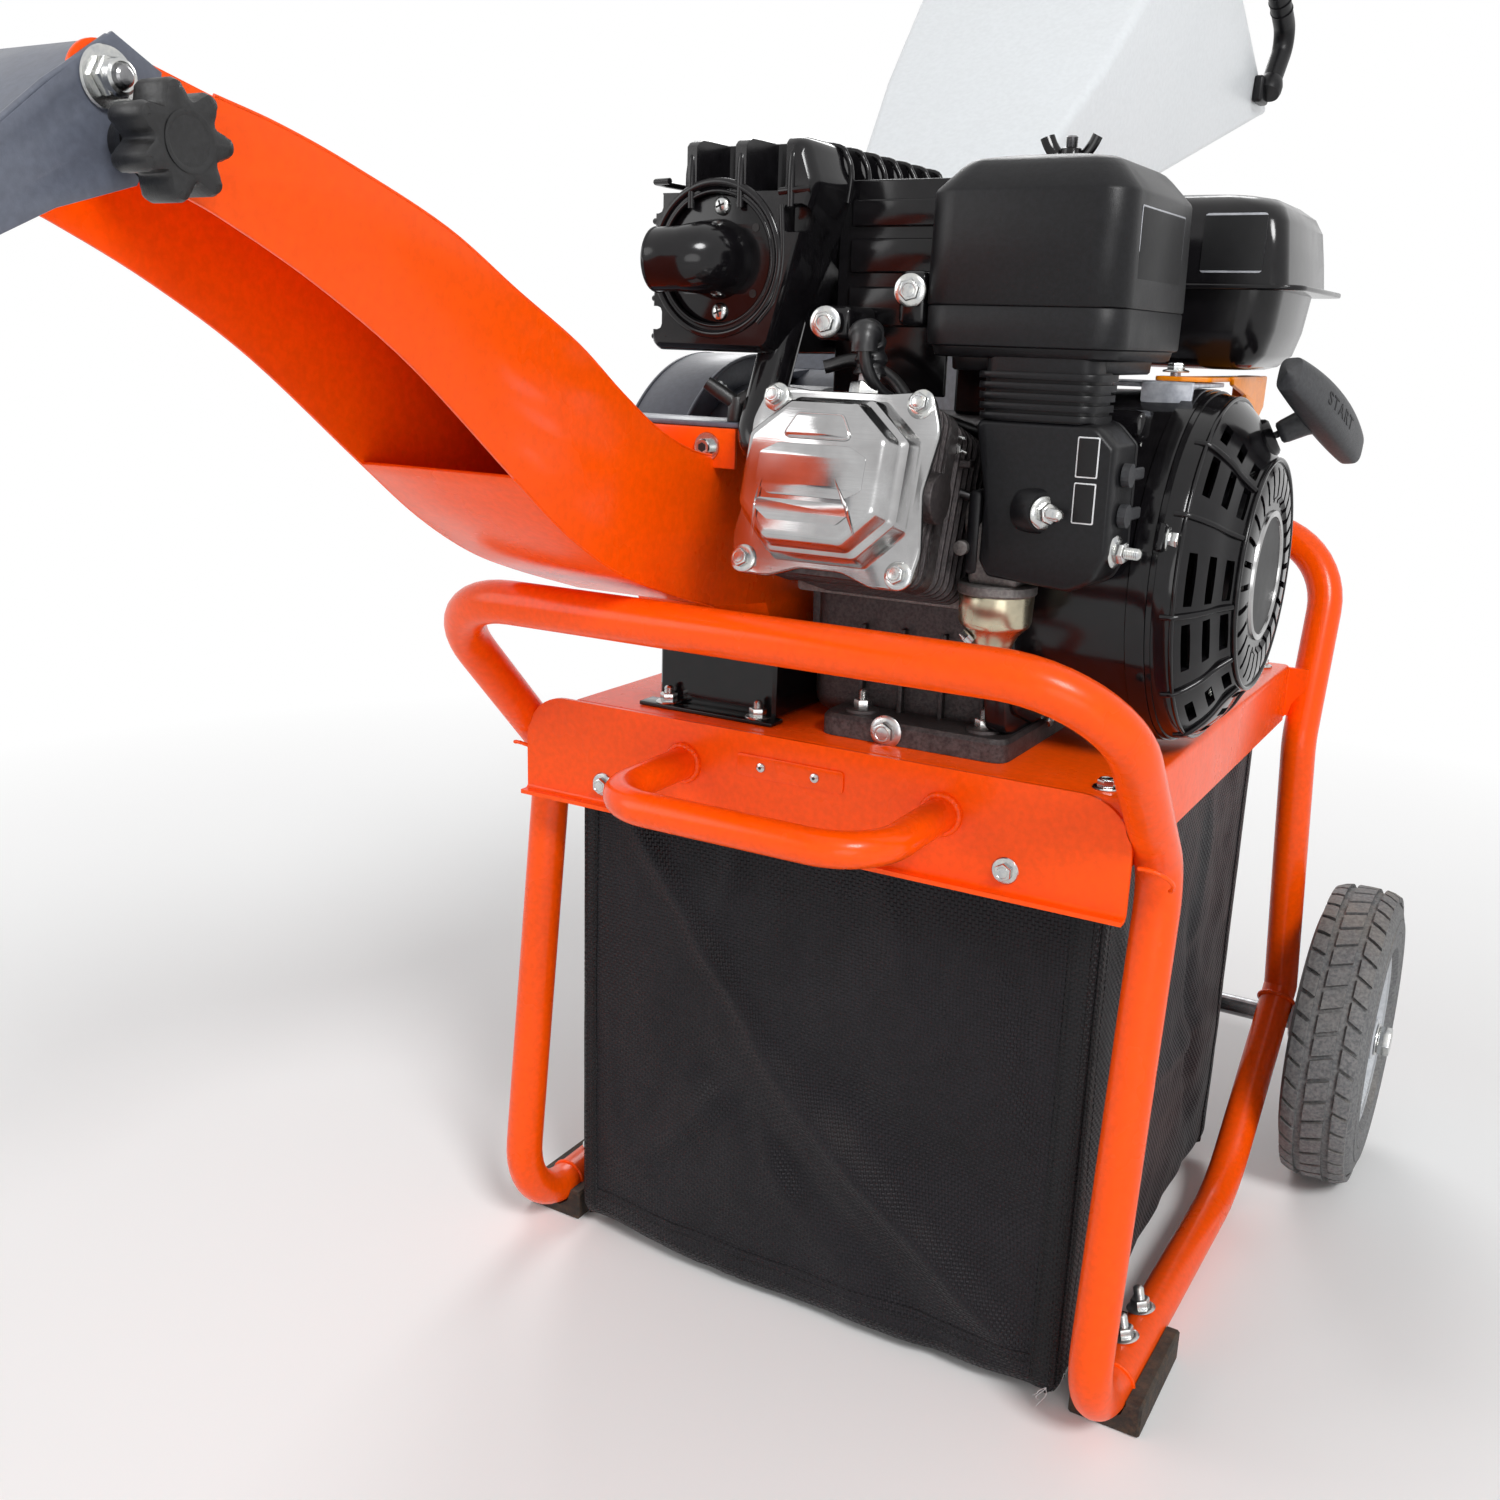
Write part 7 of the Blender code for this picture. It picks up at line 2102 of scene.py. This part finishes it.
class ENGINE_OT_tank(bpy.types.Operator):
    """Fuel tank with its seam flange, blank badge plate and cap"""

    bl_idname = "chipper.tank"
    bl_label = "Fuel tank"

    def execute(self, context):
        low, high = span("fuel_tank")
        x0, x1, y0, y1 = low.x + 0.004, high.x, low.y + 0.004, high.y - 0.004
        seam, rise, drop = low.z + 0.047, (high.z - 0.004 - low.z - 0.047) / 0.062, 0.047 / 0.038

        def loop(left, right, front, rear, radius):
            return rounded_rect((x0 + left, y0 + front), (x1 - right, y1 - rear), radius, 6)

        tank = Piece("fuel_tank_shell")
        upper = (
            (seam - 0.001, 0.0, 0.01, 0.0, 0.0, 0.012), (seam + 0.02 * rise, 0.001, 0.012, 0.001, 0.001, 0.012),
            (seam + 0.042 * rise, 0.003, 0.0145, 0.002, 0.003, 0.013), (
                seam + 0.0515 * rise, 0.007, 0.0185, 0.006, 0.007, 0.014,
            ),
            (seam + 0.058 * rise, 0.013, 0.026, 0.012, 0.013, 0.022), (
                seam + 0.0612 * rise, 0.024, 0.038, 0.024, 0.024, 0.022,
            ),
            (seam + 0.062 * rise, 0.04, 0.056, 0.04, 0.04, 0.02),
        )
        lower = (
            (seam - 0.038 * drop, 0.03, 0.034, 0.022, 0.03, 0.014), (
                seam - 0.0365 * drop, 0.02, 0.028, 0.013, 0.02, 0.016,
            ),
            (seam - 0.031 * drop, 0.013, 0.021, 0.007, 0.013, 0.018), (
                seam - 0.02 * drop, 0.01, 0.017, 0.004, 0.01, 0.02,
            ),
            (seam + 0.001, 0.006, 0.014, 0.002, 0.006, 0.02),
        )
        for levels in (upper, lower):
            tank.add(stacked([(z, loop(*sides)) for z, *sides in levels]), GLOSS)
        flange = rounded_rect((x0 - 0.004, y0 - 0.004), (x1, y1 + 0.004), 0.016, 6)
        tank.add(lift(slab(flange, 0.003, 0.001), seam - 0.0015), GLOSS)
        badge = slab(rounded_rect((x1 - 0.058, 0.006), (x1 - 0.0235, 0.038), 0.002), 0.0004, 0.0001)
        inner = slab(rounded_rect((x1 - 0.058, 0.0072), (x1 - 0.0235, 0.0368), 0.0004), 0.0005, 0.0001)
        lean = Matrix.Translation((0, y0 - 0.0002, seam)) @ Matrix.Rotation(math.radians(90 - 2.2), 4, "X")
        tank.add(put(badge, lean), RULE)
        tank.add(put(inner, Matrix.Translation((0, -0.00014, 0)) @ lean), STICKER)
        cap_xy = tuple(middle("fuel_cap"))[:2]
        neck = [(0.0, 0.0), (0.0, 0.0185), (0.003, 0.017), (0.0052, 0.0165), (0.0052, 0.0)]
        tank.add(lathe(neck, (*cap_xy, high.z - 0.0045), UP, 48), GLOSS)
        tank.place(stands_for=("fuel_tank",), slot="black_paint", smooth=48.0)
        cap = Piece("fuel_tank_cap")
        base = span("fuel_cap")[0].z
        fluted = []
        for i in range(120):
            a = math.tau * i / 120
            r = 0.0226 + 0.0006 * math.cos(20 * a)
            fluted.append((cap_xy[0] + r * math.cos(a), cap_xy[1] + r * math.sin(a)))
        rises = ((0.0, 0.98), (0.0008, 1.0), (0.011, 1.0), (0.0132, 0.94), (0.0145, 0.84), (0.0148, 0.5))
        cap.add(stacked([(base + h, scaled(fluted, cap_xy, share)) for h, share in rises]), "Black Gloss Plastic")
        cap.place(body="tank_cap", stands_for=("fuel_cap",), slot="black_paint", smooth=40.0)
        return {"FINISHED"}


class ENGINE_OT_recoil(bpy.types.Operator):
    """Blower housing, vented recoil cover, T grip and rope"""

    bl_idname = "chipper.recoil"
    bl_label = "Blower and recoil starter"

    def execute(self, context):
        self.blower()
        self.cover()
        self.grip()
        return {"FINISHED"}

    def blower(self):
        low, high = span("blower_housing")
        r = (high.z - low.z) / 2
        depth = high.x - low.x
        shell = [
            (depth, r - 0.002), (depth, r - 0.0002), (depth - 0.0012, r), (depth - 0.01, r), (
                depth - 0.0108, r - 0.0012,
            ),
            (depth - 0.03, r - 0.0016), (0.012, r - 0.0022), (0.004, r - 0.006), (0.0, r - 0.012), (0.0, 0.016),
            (0.002, 0.016), (0.002, r - 0.014), (0.006, r - 0.008), (0.014, r - 0.0044), (depth - 0.004, r - 0.0036),
        ]
        blower = Piece("blower_shroud").add(lathe(shell, (low.x, *CRANK), RIGHT, 112), GLOSS)
        skirt = soft_corners([
            (-0.014, 0.548), (-0.0165, 0.47), (-0.004, 0.4235), (0.03, 0.4105), (0.08, 0.4085), (0.12, 0.41),
            (0.12, 0.45), (0.06, 0.56), (0.02, 0.602), (-0.004, 0.59),
        ], 0.01, 5)
        blower.add(side_slab(skirt, 0.1005, 0.1135, 0.0022), GLOSS)
        blower.add(
            side_slab([(y * 0.9 + 0.006, 0.5 + (z - 0.5) * 0.88) for y, z in skirt], 0.112, 0.117, 0.0022), GLOSS,
        )
        blower.add(block((0.104, 0.025, 0.586), (0.166, 0.056, 0.601), 0.004, 3), GLOSS)
        for y, z in ((-0.006, 0.462), (0.01, 0.56), (0.06, 0.418)):
            hex_bolt(blower, (0.1135, y, z), RIGHT, 0.0046, 0.004)
        blower.place(stands_for=("blower_housing",), slot="black_paint", smooth=40.0)

    def cover(self):
        low, high = span("recoil_cover")
        start, end = low.x, high.x
        depth = end - start
        outer = flowing([
            (0.0, 0.0985), (0.006, 0.0975), (depth - 0.026, 0.0948), (depth - 0.0155, 0.0835), (depth - 0.0085, 0.0705),
            (depth - 0.003, 0.064), (depth - 0.0006, 0.0575),
        ], 5)
        outer = [(0.0, 0.0992), (0.0028, 0.0992)] + outer[2:] + [
            (depth, 0.052), (depth, 0.0445), (depth - 0.0016, 0.0425), (depth - 0.0016, 0.0),
        ]
        inner = [(d - 0.0024, max(r - 0.0022, 0.0)) for d, r in outer[2:] if d > 0.004][::-1]
        profile = outer + [(depth - 0.0045, 0.0)] + [p for p in inner if p[1] > 0.001] + [(0.0, 0.0955)]
        shell = lathe(profile, (start, *CRANK), RIGHT, 128)
        slots, vents = bmesh.new(), bmesh.new()
        for i in range(28):
            slot = block((end - 0.01, 0.0405, -0.0017), (end + 0.004, 0.06, 0.0017), 0.0008, 1)
            join(slots, put(slot, turned(math.tau * i / 28)))
        columns = ((end - 0.006, 0.069), (end - 0.013, 0.0795), (end - 0.0215, 0.0895))
        for centre, length in (
            (120, 9), (140, 15), (176, 17), (200, 17), (232, 12), (262, 12), (20, 15), (340, 15), (300, 12),
        ):
            for x, r in columns:
                cells = []
                for k in range(-2, 3):
                    a = math.radians(centre + k * length / 5)
                    tangent = r * math.radians(length) / 5 * 0.62
                    cell = block((-0.0025, -0.012, -tangent), (0.0025, 0.012, tangent), 0.0)
                    tilt = Matrix.Rotation(math.radians(-42), 4, "Z")
                    cells.append(put(cell, turned(a) @ Matrix.Translation((x, r, 0)) @ tilt))
                join(vents, self.merged_vent(cells))
        cover = Piece("recoil_cover_shell").add(carved(shell, [slots, vents]), GLOSS)
        self.pods(cover, end)
        ring = [(-0.0004, 0.0325), (0.0012, 0.033), (0.0018, 0.0345), (0.0012, 0.0362), (-0.0004, 0.0368)]
        cover.add(lathe(ring, (end - 0.0014, *CRANK), RIGHT, 80), STAMPED)
        disc = [(-0.001, 0.0), (-0.001, 0.033), (0.0003, 0.0328), (0.0005, 0.0)]
        cover.add(lathe(disc, (end - 0.0014, *CRANK), RIGHT, 80), STICKER)
        neck = [
            (-0.01, 0.02), (0.0, 0.0182), (0.006, 0.015), (0.011, 0.0122), (0.0152, 0.0104), (0.0165, 0.0088),
            (0.0165, 0.0052), (-0.01, 0.0052),
        ]
        cover.add(lathe(neck, HORN - HORN_OUT * 0.006, HORN_OUT, 40), GLOSS)
        cover.add(rod((start + 0.0135, *CRANK), (end - 0.004, *CRANK), 0.0049, sides=32), GLOSS)
        for turn in (164, 45, 300):
            a = math.radians(turn)
            at = (start + 0.003, CRANK[0] + 0.0945 * math.cos(a), CRANK[1] + 0.0945 * math.sin(a))
            lug = block((-0.003, -0.009, -0.0075), (0.0026, 0.009, 0.0075), 0.002, 2)
            cover.add(put(lug, Matrix.Translation(at) @ Matrix.Rotation(a, 4, "X")), GLOSS)
            hex_bolt(cover, (start + 0.0054, at[1], at[2]), RIGHT, 0.0048, 0.0044)
        cover.place(stands_for=("recoil_cover",), slot="black_paint", smooth=38.0)

    def merged_vent(self, cells):
        """One closed arc-shaped cutter from neighbouring straight cells."""
        made = bmesh.new()
        for cell in cells:
            for v in cell.verts:
                made.verts.new(v.co)
            cell.free()
        hull = bmesh.ops.convex_hull(made, input=made.verts)
        drop = [g for g in hull["geom_interior"] + hull["geom_unused"] if isinstance(g, bmesh.types.BMVert)]
        bmesh.ops.delete(made, geom=list(set(drop)), context="VERTS")
        return made

    def pods(self, cover, end):
        """Raised rims between the rows of side vents."""
        for turn in (130, 156, 188, 217, 246, 30, 5, 325, 285):
            a = math.radians(turn)
            line = []
            for x, r in (
                (end - 0.0035, 0.0655), (end - 0.01, 0.0745), (end - 0.016, 0.085), (end - 0.025, 0.095),
                (end - 0.033, 0.0972),
            ):
                line.append((x, CRANK[0] + r * math.cos(a), CRANK[1] + r * math.sin(a)))
            cover.add(pipe(flowing(line, 5), 0.0016, 12), GLOSS)
        for x, r in ((end - 0.0022, 0.064), (end - 0.027, 0.0955)):
            cover.add(bead_ring((x, *CRANK), RIGHT, r, 0.0014, 112, 10), GLOSS)

    def grip(self):
        along = Vector((0.25, 0.86, -0.44)).normalized()
        out = (Vector(RIGHT) - along * along.x).normalized()
        up = along.cross(out)
        grip = Piece("starter_t_grip")
        bm = bmesh.new()
        rings = []
        count, sides = 36, 32
        for i in range(count + 1):
            s = -1 + 2 * i / count
            bulge = 1.0 - GRIP_TAPER * s * s
            end_round = math.sqrt(max(0.0, 1 - max(0.0, (abs(s) - 0.93) / 0.07) ** 2)) * 0.75 + 0.25 * (abs(s) < 0.999)
            half_w, half_d = 0.0128 * bulge * end_round, 0.0088 * bulge * end_round
            middle_point = GRIP + along * s * GRIP_HALF - out * GRIP_BOW * s * s
            ring = []
            for k in range(sides):
                a = math.tau * k / sides
                c, d = math.cos(a), math.sin(a)
                u = math.copysign(abs(c) ** 0.55, c) * half_w
                v = math.copysign(abs(d) ** 0.55, d) * half_d
                ring.append(bm.verts.new(middle_point + up * u + out * v))
            rings.append(ring)
        grip.add(skin(bm, rings), GRIP_PLASTIC)
        stem = [
            (0.0, 0.0105), (0.004, 0.0088), (0.01, 0.0074), (0.02, 0.0066), (0.0228, 0.006), (0.0236, 0.0045),
            (0.0236, 0.0026), (0.0, 0.0026),
        ]
        grip.add(lathe(stem, GRIP - HORN_OUT * 0.003, -HORN_OUT, 36), GRIP_PLASTIC)
        self.lettering(grip, along, out)
        grip.place(body="starter_grip", stands_for=("recoil_grip",), slot="black_plastic", smooth=50.0)
        self.rope()

    def lettering(self, grip, along, out):
        """Raised START on the face of the grip."""
        text = bpy.data.curves.new("start_word", "FONT")
        text.body = "START"
        text.size = 0.0105
        text.extrude = 0.0004
        text.bevel_depth = 0.0001
        text.align_x = text.align_y = "CENTER"
        text.space_character = 1.25
        word = evaluated(linked("start_word", text))
        rise = out.cross(along)
        turn = Matrix((along, rise, out)).transposed().to_4x4()
        face = 0.0087
        for v in word.verts:
            s = v.co.x / GRIP_HALF
            v.co.z += face * (1.0 - GRIP_TAPER * s * s) - GRIP_BOW * s * s - 0.0002
        grip.add(put(word, Matrix.Translation(GRIP) @ turn), MOULDED)

    def rope(self):
        low, high = span("recoil_rope")
        radius = (high.z - low.z) / 2 * 0.97
        inner = Vector((low.x, HORN.y - 0.004, HORN.z - 0.004))
        tail = GRIP - HORN_OUT * 0.004
        points = [inner.lerp(HORN, i / 24) for i in range(24)] + [HORN.lerp(tail, i / 100) for i in range(101)]
        bm = pipe(points, radius, 18)
        for v in bm.verts:
            near = min(points, key=lambda p: (p - v.co).length_squared)
            radial = v.co - near
            turn = math.atan2(radial.z, radial.y) * 3 + (near - inner).length * 1500
            v.co -= radial * 0.12 * (0.5 + 0.5 * math.cos(turn))
        rope = Piece("starter_rope").add(bm, "Machine Grey Rope")
        obj = rope.place(stands_for=("recoil_rope",), slot="rope", ride=False)
        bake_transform(obj)


class ENGINE_OT_controls(bpy.types.Operator):
    """Throttle lever on its bracket, plug cap with its lead, switch and oil cap"""

    bl_idname = "chipper.controls"
    bl_label = "Controls and plug lead"

    def execute(self, context):
        self.throttle()
        self.plug()
        self.rear_controls()
        return {"FINISHED"}

    def throttle(self):
        top = span("blower_housing")[1].z
        bracket = Piece("throttle_bracket_sheet")
        bracket.add(block((0.12, 0.0585, top + 0.0004), (0.1815, 0.128, top + 0.0028), 0.0008), GALVANISED)
        lip = soft_corners(
            [
                (0.1535, top - 0.0075), (0.17, top - 0.0095), (0.1815, top - 0.008), (0.1822, top + 0.0032),
                (0.1535, top + 0.0036),
            ],
            0.0014, 4,
        )
        bracket.add(put(slab(lip, 0.0022, 0.0008), upright(0, 0.0573, 0)), GALVANISED)
        bracket.add(pipe([(0.1536, 0.0578, top + 0.0024), (0.1816, 0.0578, top + 0.0024)], 0.0014, 14), GALVANISED)
        seat = (0.16, 0.1)
        hex_bolt(bracket, (*seat, top + 0.0082), UP, 0.005, 0.0038)
        bracket.add(rod((*seat, top), (*seat, top + 0.009), 0.0029, sides=24), GALVANISED)
        bracket.place(stands_for=("throttle_bracket",), slot="bright_steel")
        z = top + 0.0034
        arm = soft_corners([
            (0.15, 0.092), (0.166, 0.0905), (0.1815, 0.096), (0.1835, 0.16), (0.186, 0.208), (0.179, 0.222),
            (0.168, 0.22), (0.166, 0.165), (0.16, 0.113), (0.15, 0.108),
        ], [0.005, 0.006, 0.005, 0.02, 0.004, 0.004, 0.004, 0.02, 0.01, 0.005], 5)
        lever = Piece("throttle_lever_arm")
        lever.add(lift(slab(arm, 0.0026, 0.0006, (circle(seat, 0.0034, 20),)), z + 0.0013), AMBER)
        pad = soft_corners([
            (0.134, z + 0.003), (0.224, z + 0.003), (0.2225, z - 0.0165), (0.21, z - 0.0235),
            (0.19, z - 0.0225), (0.17, z - 0.008), (0.136, z - 0.002),
        ], 0.0016, 5)
        lever.add(side_slab(pad, 0.1822, 0.1852, 0.001), AMBER)
        lever.add(block((0.17, 0.196, z - 0.02), (0.1842, 0.2215, z + 0.003), 0.003, 3), AMBER)
        lever.place(body="throttle", stands_for=("throttle_lever",), slot="amber_plastic")

    def plug(self):
        boot = Piece("spark_plug_boot")
        seat = 0.0473
        porcelain = rod((0, seat + 0.008, -0.022), (0, seat + 0.022, -0.0208), 0.0055, sides=28, bevel=0.0008)
        boot.add(on_head(rod((0, seat, -0.022), (0, seat + 0.009, -0.022), 0.0095, sides=6, bevel=0.001)), ZINC)
        boot.add(on_head(porcelain), NEUTRAL)
        line = flowing([
            tuple(HEAD_FRAME @ Vector((0, seat + 0.014, -0.0215))), (0.0432, -0.0555, 0.624), (0.0428, -0.0578, 0.6325),
            (0.0436, -0.0632, 0.636), (0.0452, -0.068, 0.633), (0.0455, -0.0685, 0.627),
        ], 8)
        count = len(line)
        radii = [0.008 + 0.0008 * math.cos(i * 0.9) if i < count * 0.8 else 0.0068 for i in range(count)]
        boot.add(pipe(line, radii, 28), RUBBER)
        boot.place(stands_for=("spark_plug",), slot="black_paint")
        self.lead(Vector((0.0455, -0.0685, 0.63)), Vector((0.1, 0.03, 0.0)))

    def lead(self, outlet, far):
        """Ignition lead: down out of the boot, one easy bend, then straight back to the blower housing."""
        bend, slope, radius = 0.0285, math.radians(HEAD_TILT), 0.0034
        heading = Vector((far.x - outlet.x, far.y - outlet.y, 0)).normalized()
        path = [outlet + Vector((0, 0, 0.002 - 0.001 * i)) for i in range(2)]
        for i in range(13):
            turn = (math.pi / 2 - slope) * i / 12
            path.append(outlet + heading * bend * (1 - math.cos(turn)) - Vector((0, 0, bend * math.sin(turn))))
        along = heading * math.cos(slope) - Vector((0, 0, math.sin(slope)))
        last = path[-1].copy()
        rest = (Vector((far.x, far.y, 0)) - Vector((last.x, last.y, 0))).length / math.cos(slope)
        path += [last + along * rest * i / 14 for i in range(1, 15)]
        lead = Piece("spark_plug_lead").add(pipe(path, radius, 20), RUBBER).place(slot="black_paint")

    def rear_controls(self):
        dress("switch_box", MOULDED, 0.001)
        dress("engine_switch", "Red Plastic", 0.0008)
        dress("oil_filler_cap", MOULDED, 0.0012)


BUILDERS = (
    STAGE_OT_build, FRAME_OT_tubes, FRAME_OT_apron, FRAME_OT_deck, FRAME_OT_feet, WHEELS_OT_build, BAG_OT_build,
    CHUTE_OT_housing, CHUTE_OT_cover, CHUTE_OT_deflector, HOPPER_OT_build, ENGINE_OT_block, ENGINE_OT_rocker,
    ENGINE_OT_exhaust, ENGINE_OT_air_cleaner, ENGINE_OT_carburettor, ENGINE_OT_tank, ENGINE_OT_recoil,
    ENGINE_OT_controls,
)


# ---------------------------------------------------------------- panel and run


class CHIPPER_PT_panel(bpy.types.Panel):
    """Sidebar panel with the sizes, the colours and one button for each group of pieces"""

    bl_idname = "CHIPPER_PT_panel"
    bl_label = "Wood chipper"
    bl_space_type = "VIEW_3D"
    bl_region_type = "UI"
    bl_category = "Wood chipper"

    def draw(self, context):
        layout = self.layout
        for group in (context.scene.chipper_sizes, context.scene.chipper_colours):
            box = layout.box()
            for key in group.__annotations__:
                box.prop(group, key)
        for operator in BUILDERS:
            layout.operator(operator.bl_idname)


GROUPS = (ChipperSizes, ChipperColours)
CLASSES = (*GROUPS, *BUILDERS, CHIPPER_PT_panel)


def register():
    for item in CLASSES:
        bpy.utils.register_class(item)
    bpy.types.Scene.chipper_sizes = bpy.props.PointerProperty(type=ChipperSizes)
    bpy.types.Scene.chipper_colours = bpy.props.PointerProperty(type=ChipperColours)


def unregister():
    del bpy.types.Scene.chipper_sizes
    del bpy.types.Scene.chipper_colours
    for item in reversed(CLASSES):
        bpy.utils.unregister_class(item)


def main():
    register()
    for operator in BUILDERS:
        group, name = operator.bl_idname.split(".")
        getattr(getattr(bpy.ops, group), name)()


if __name__ == "__main__":
    main()
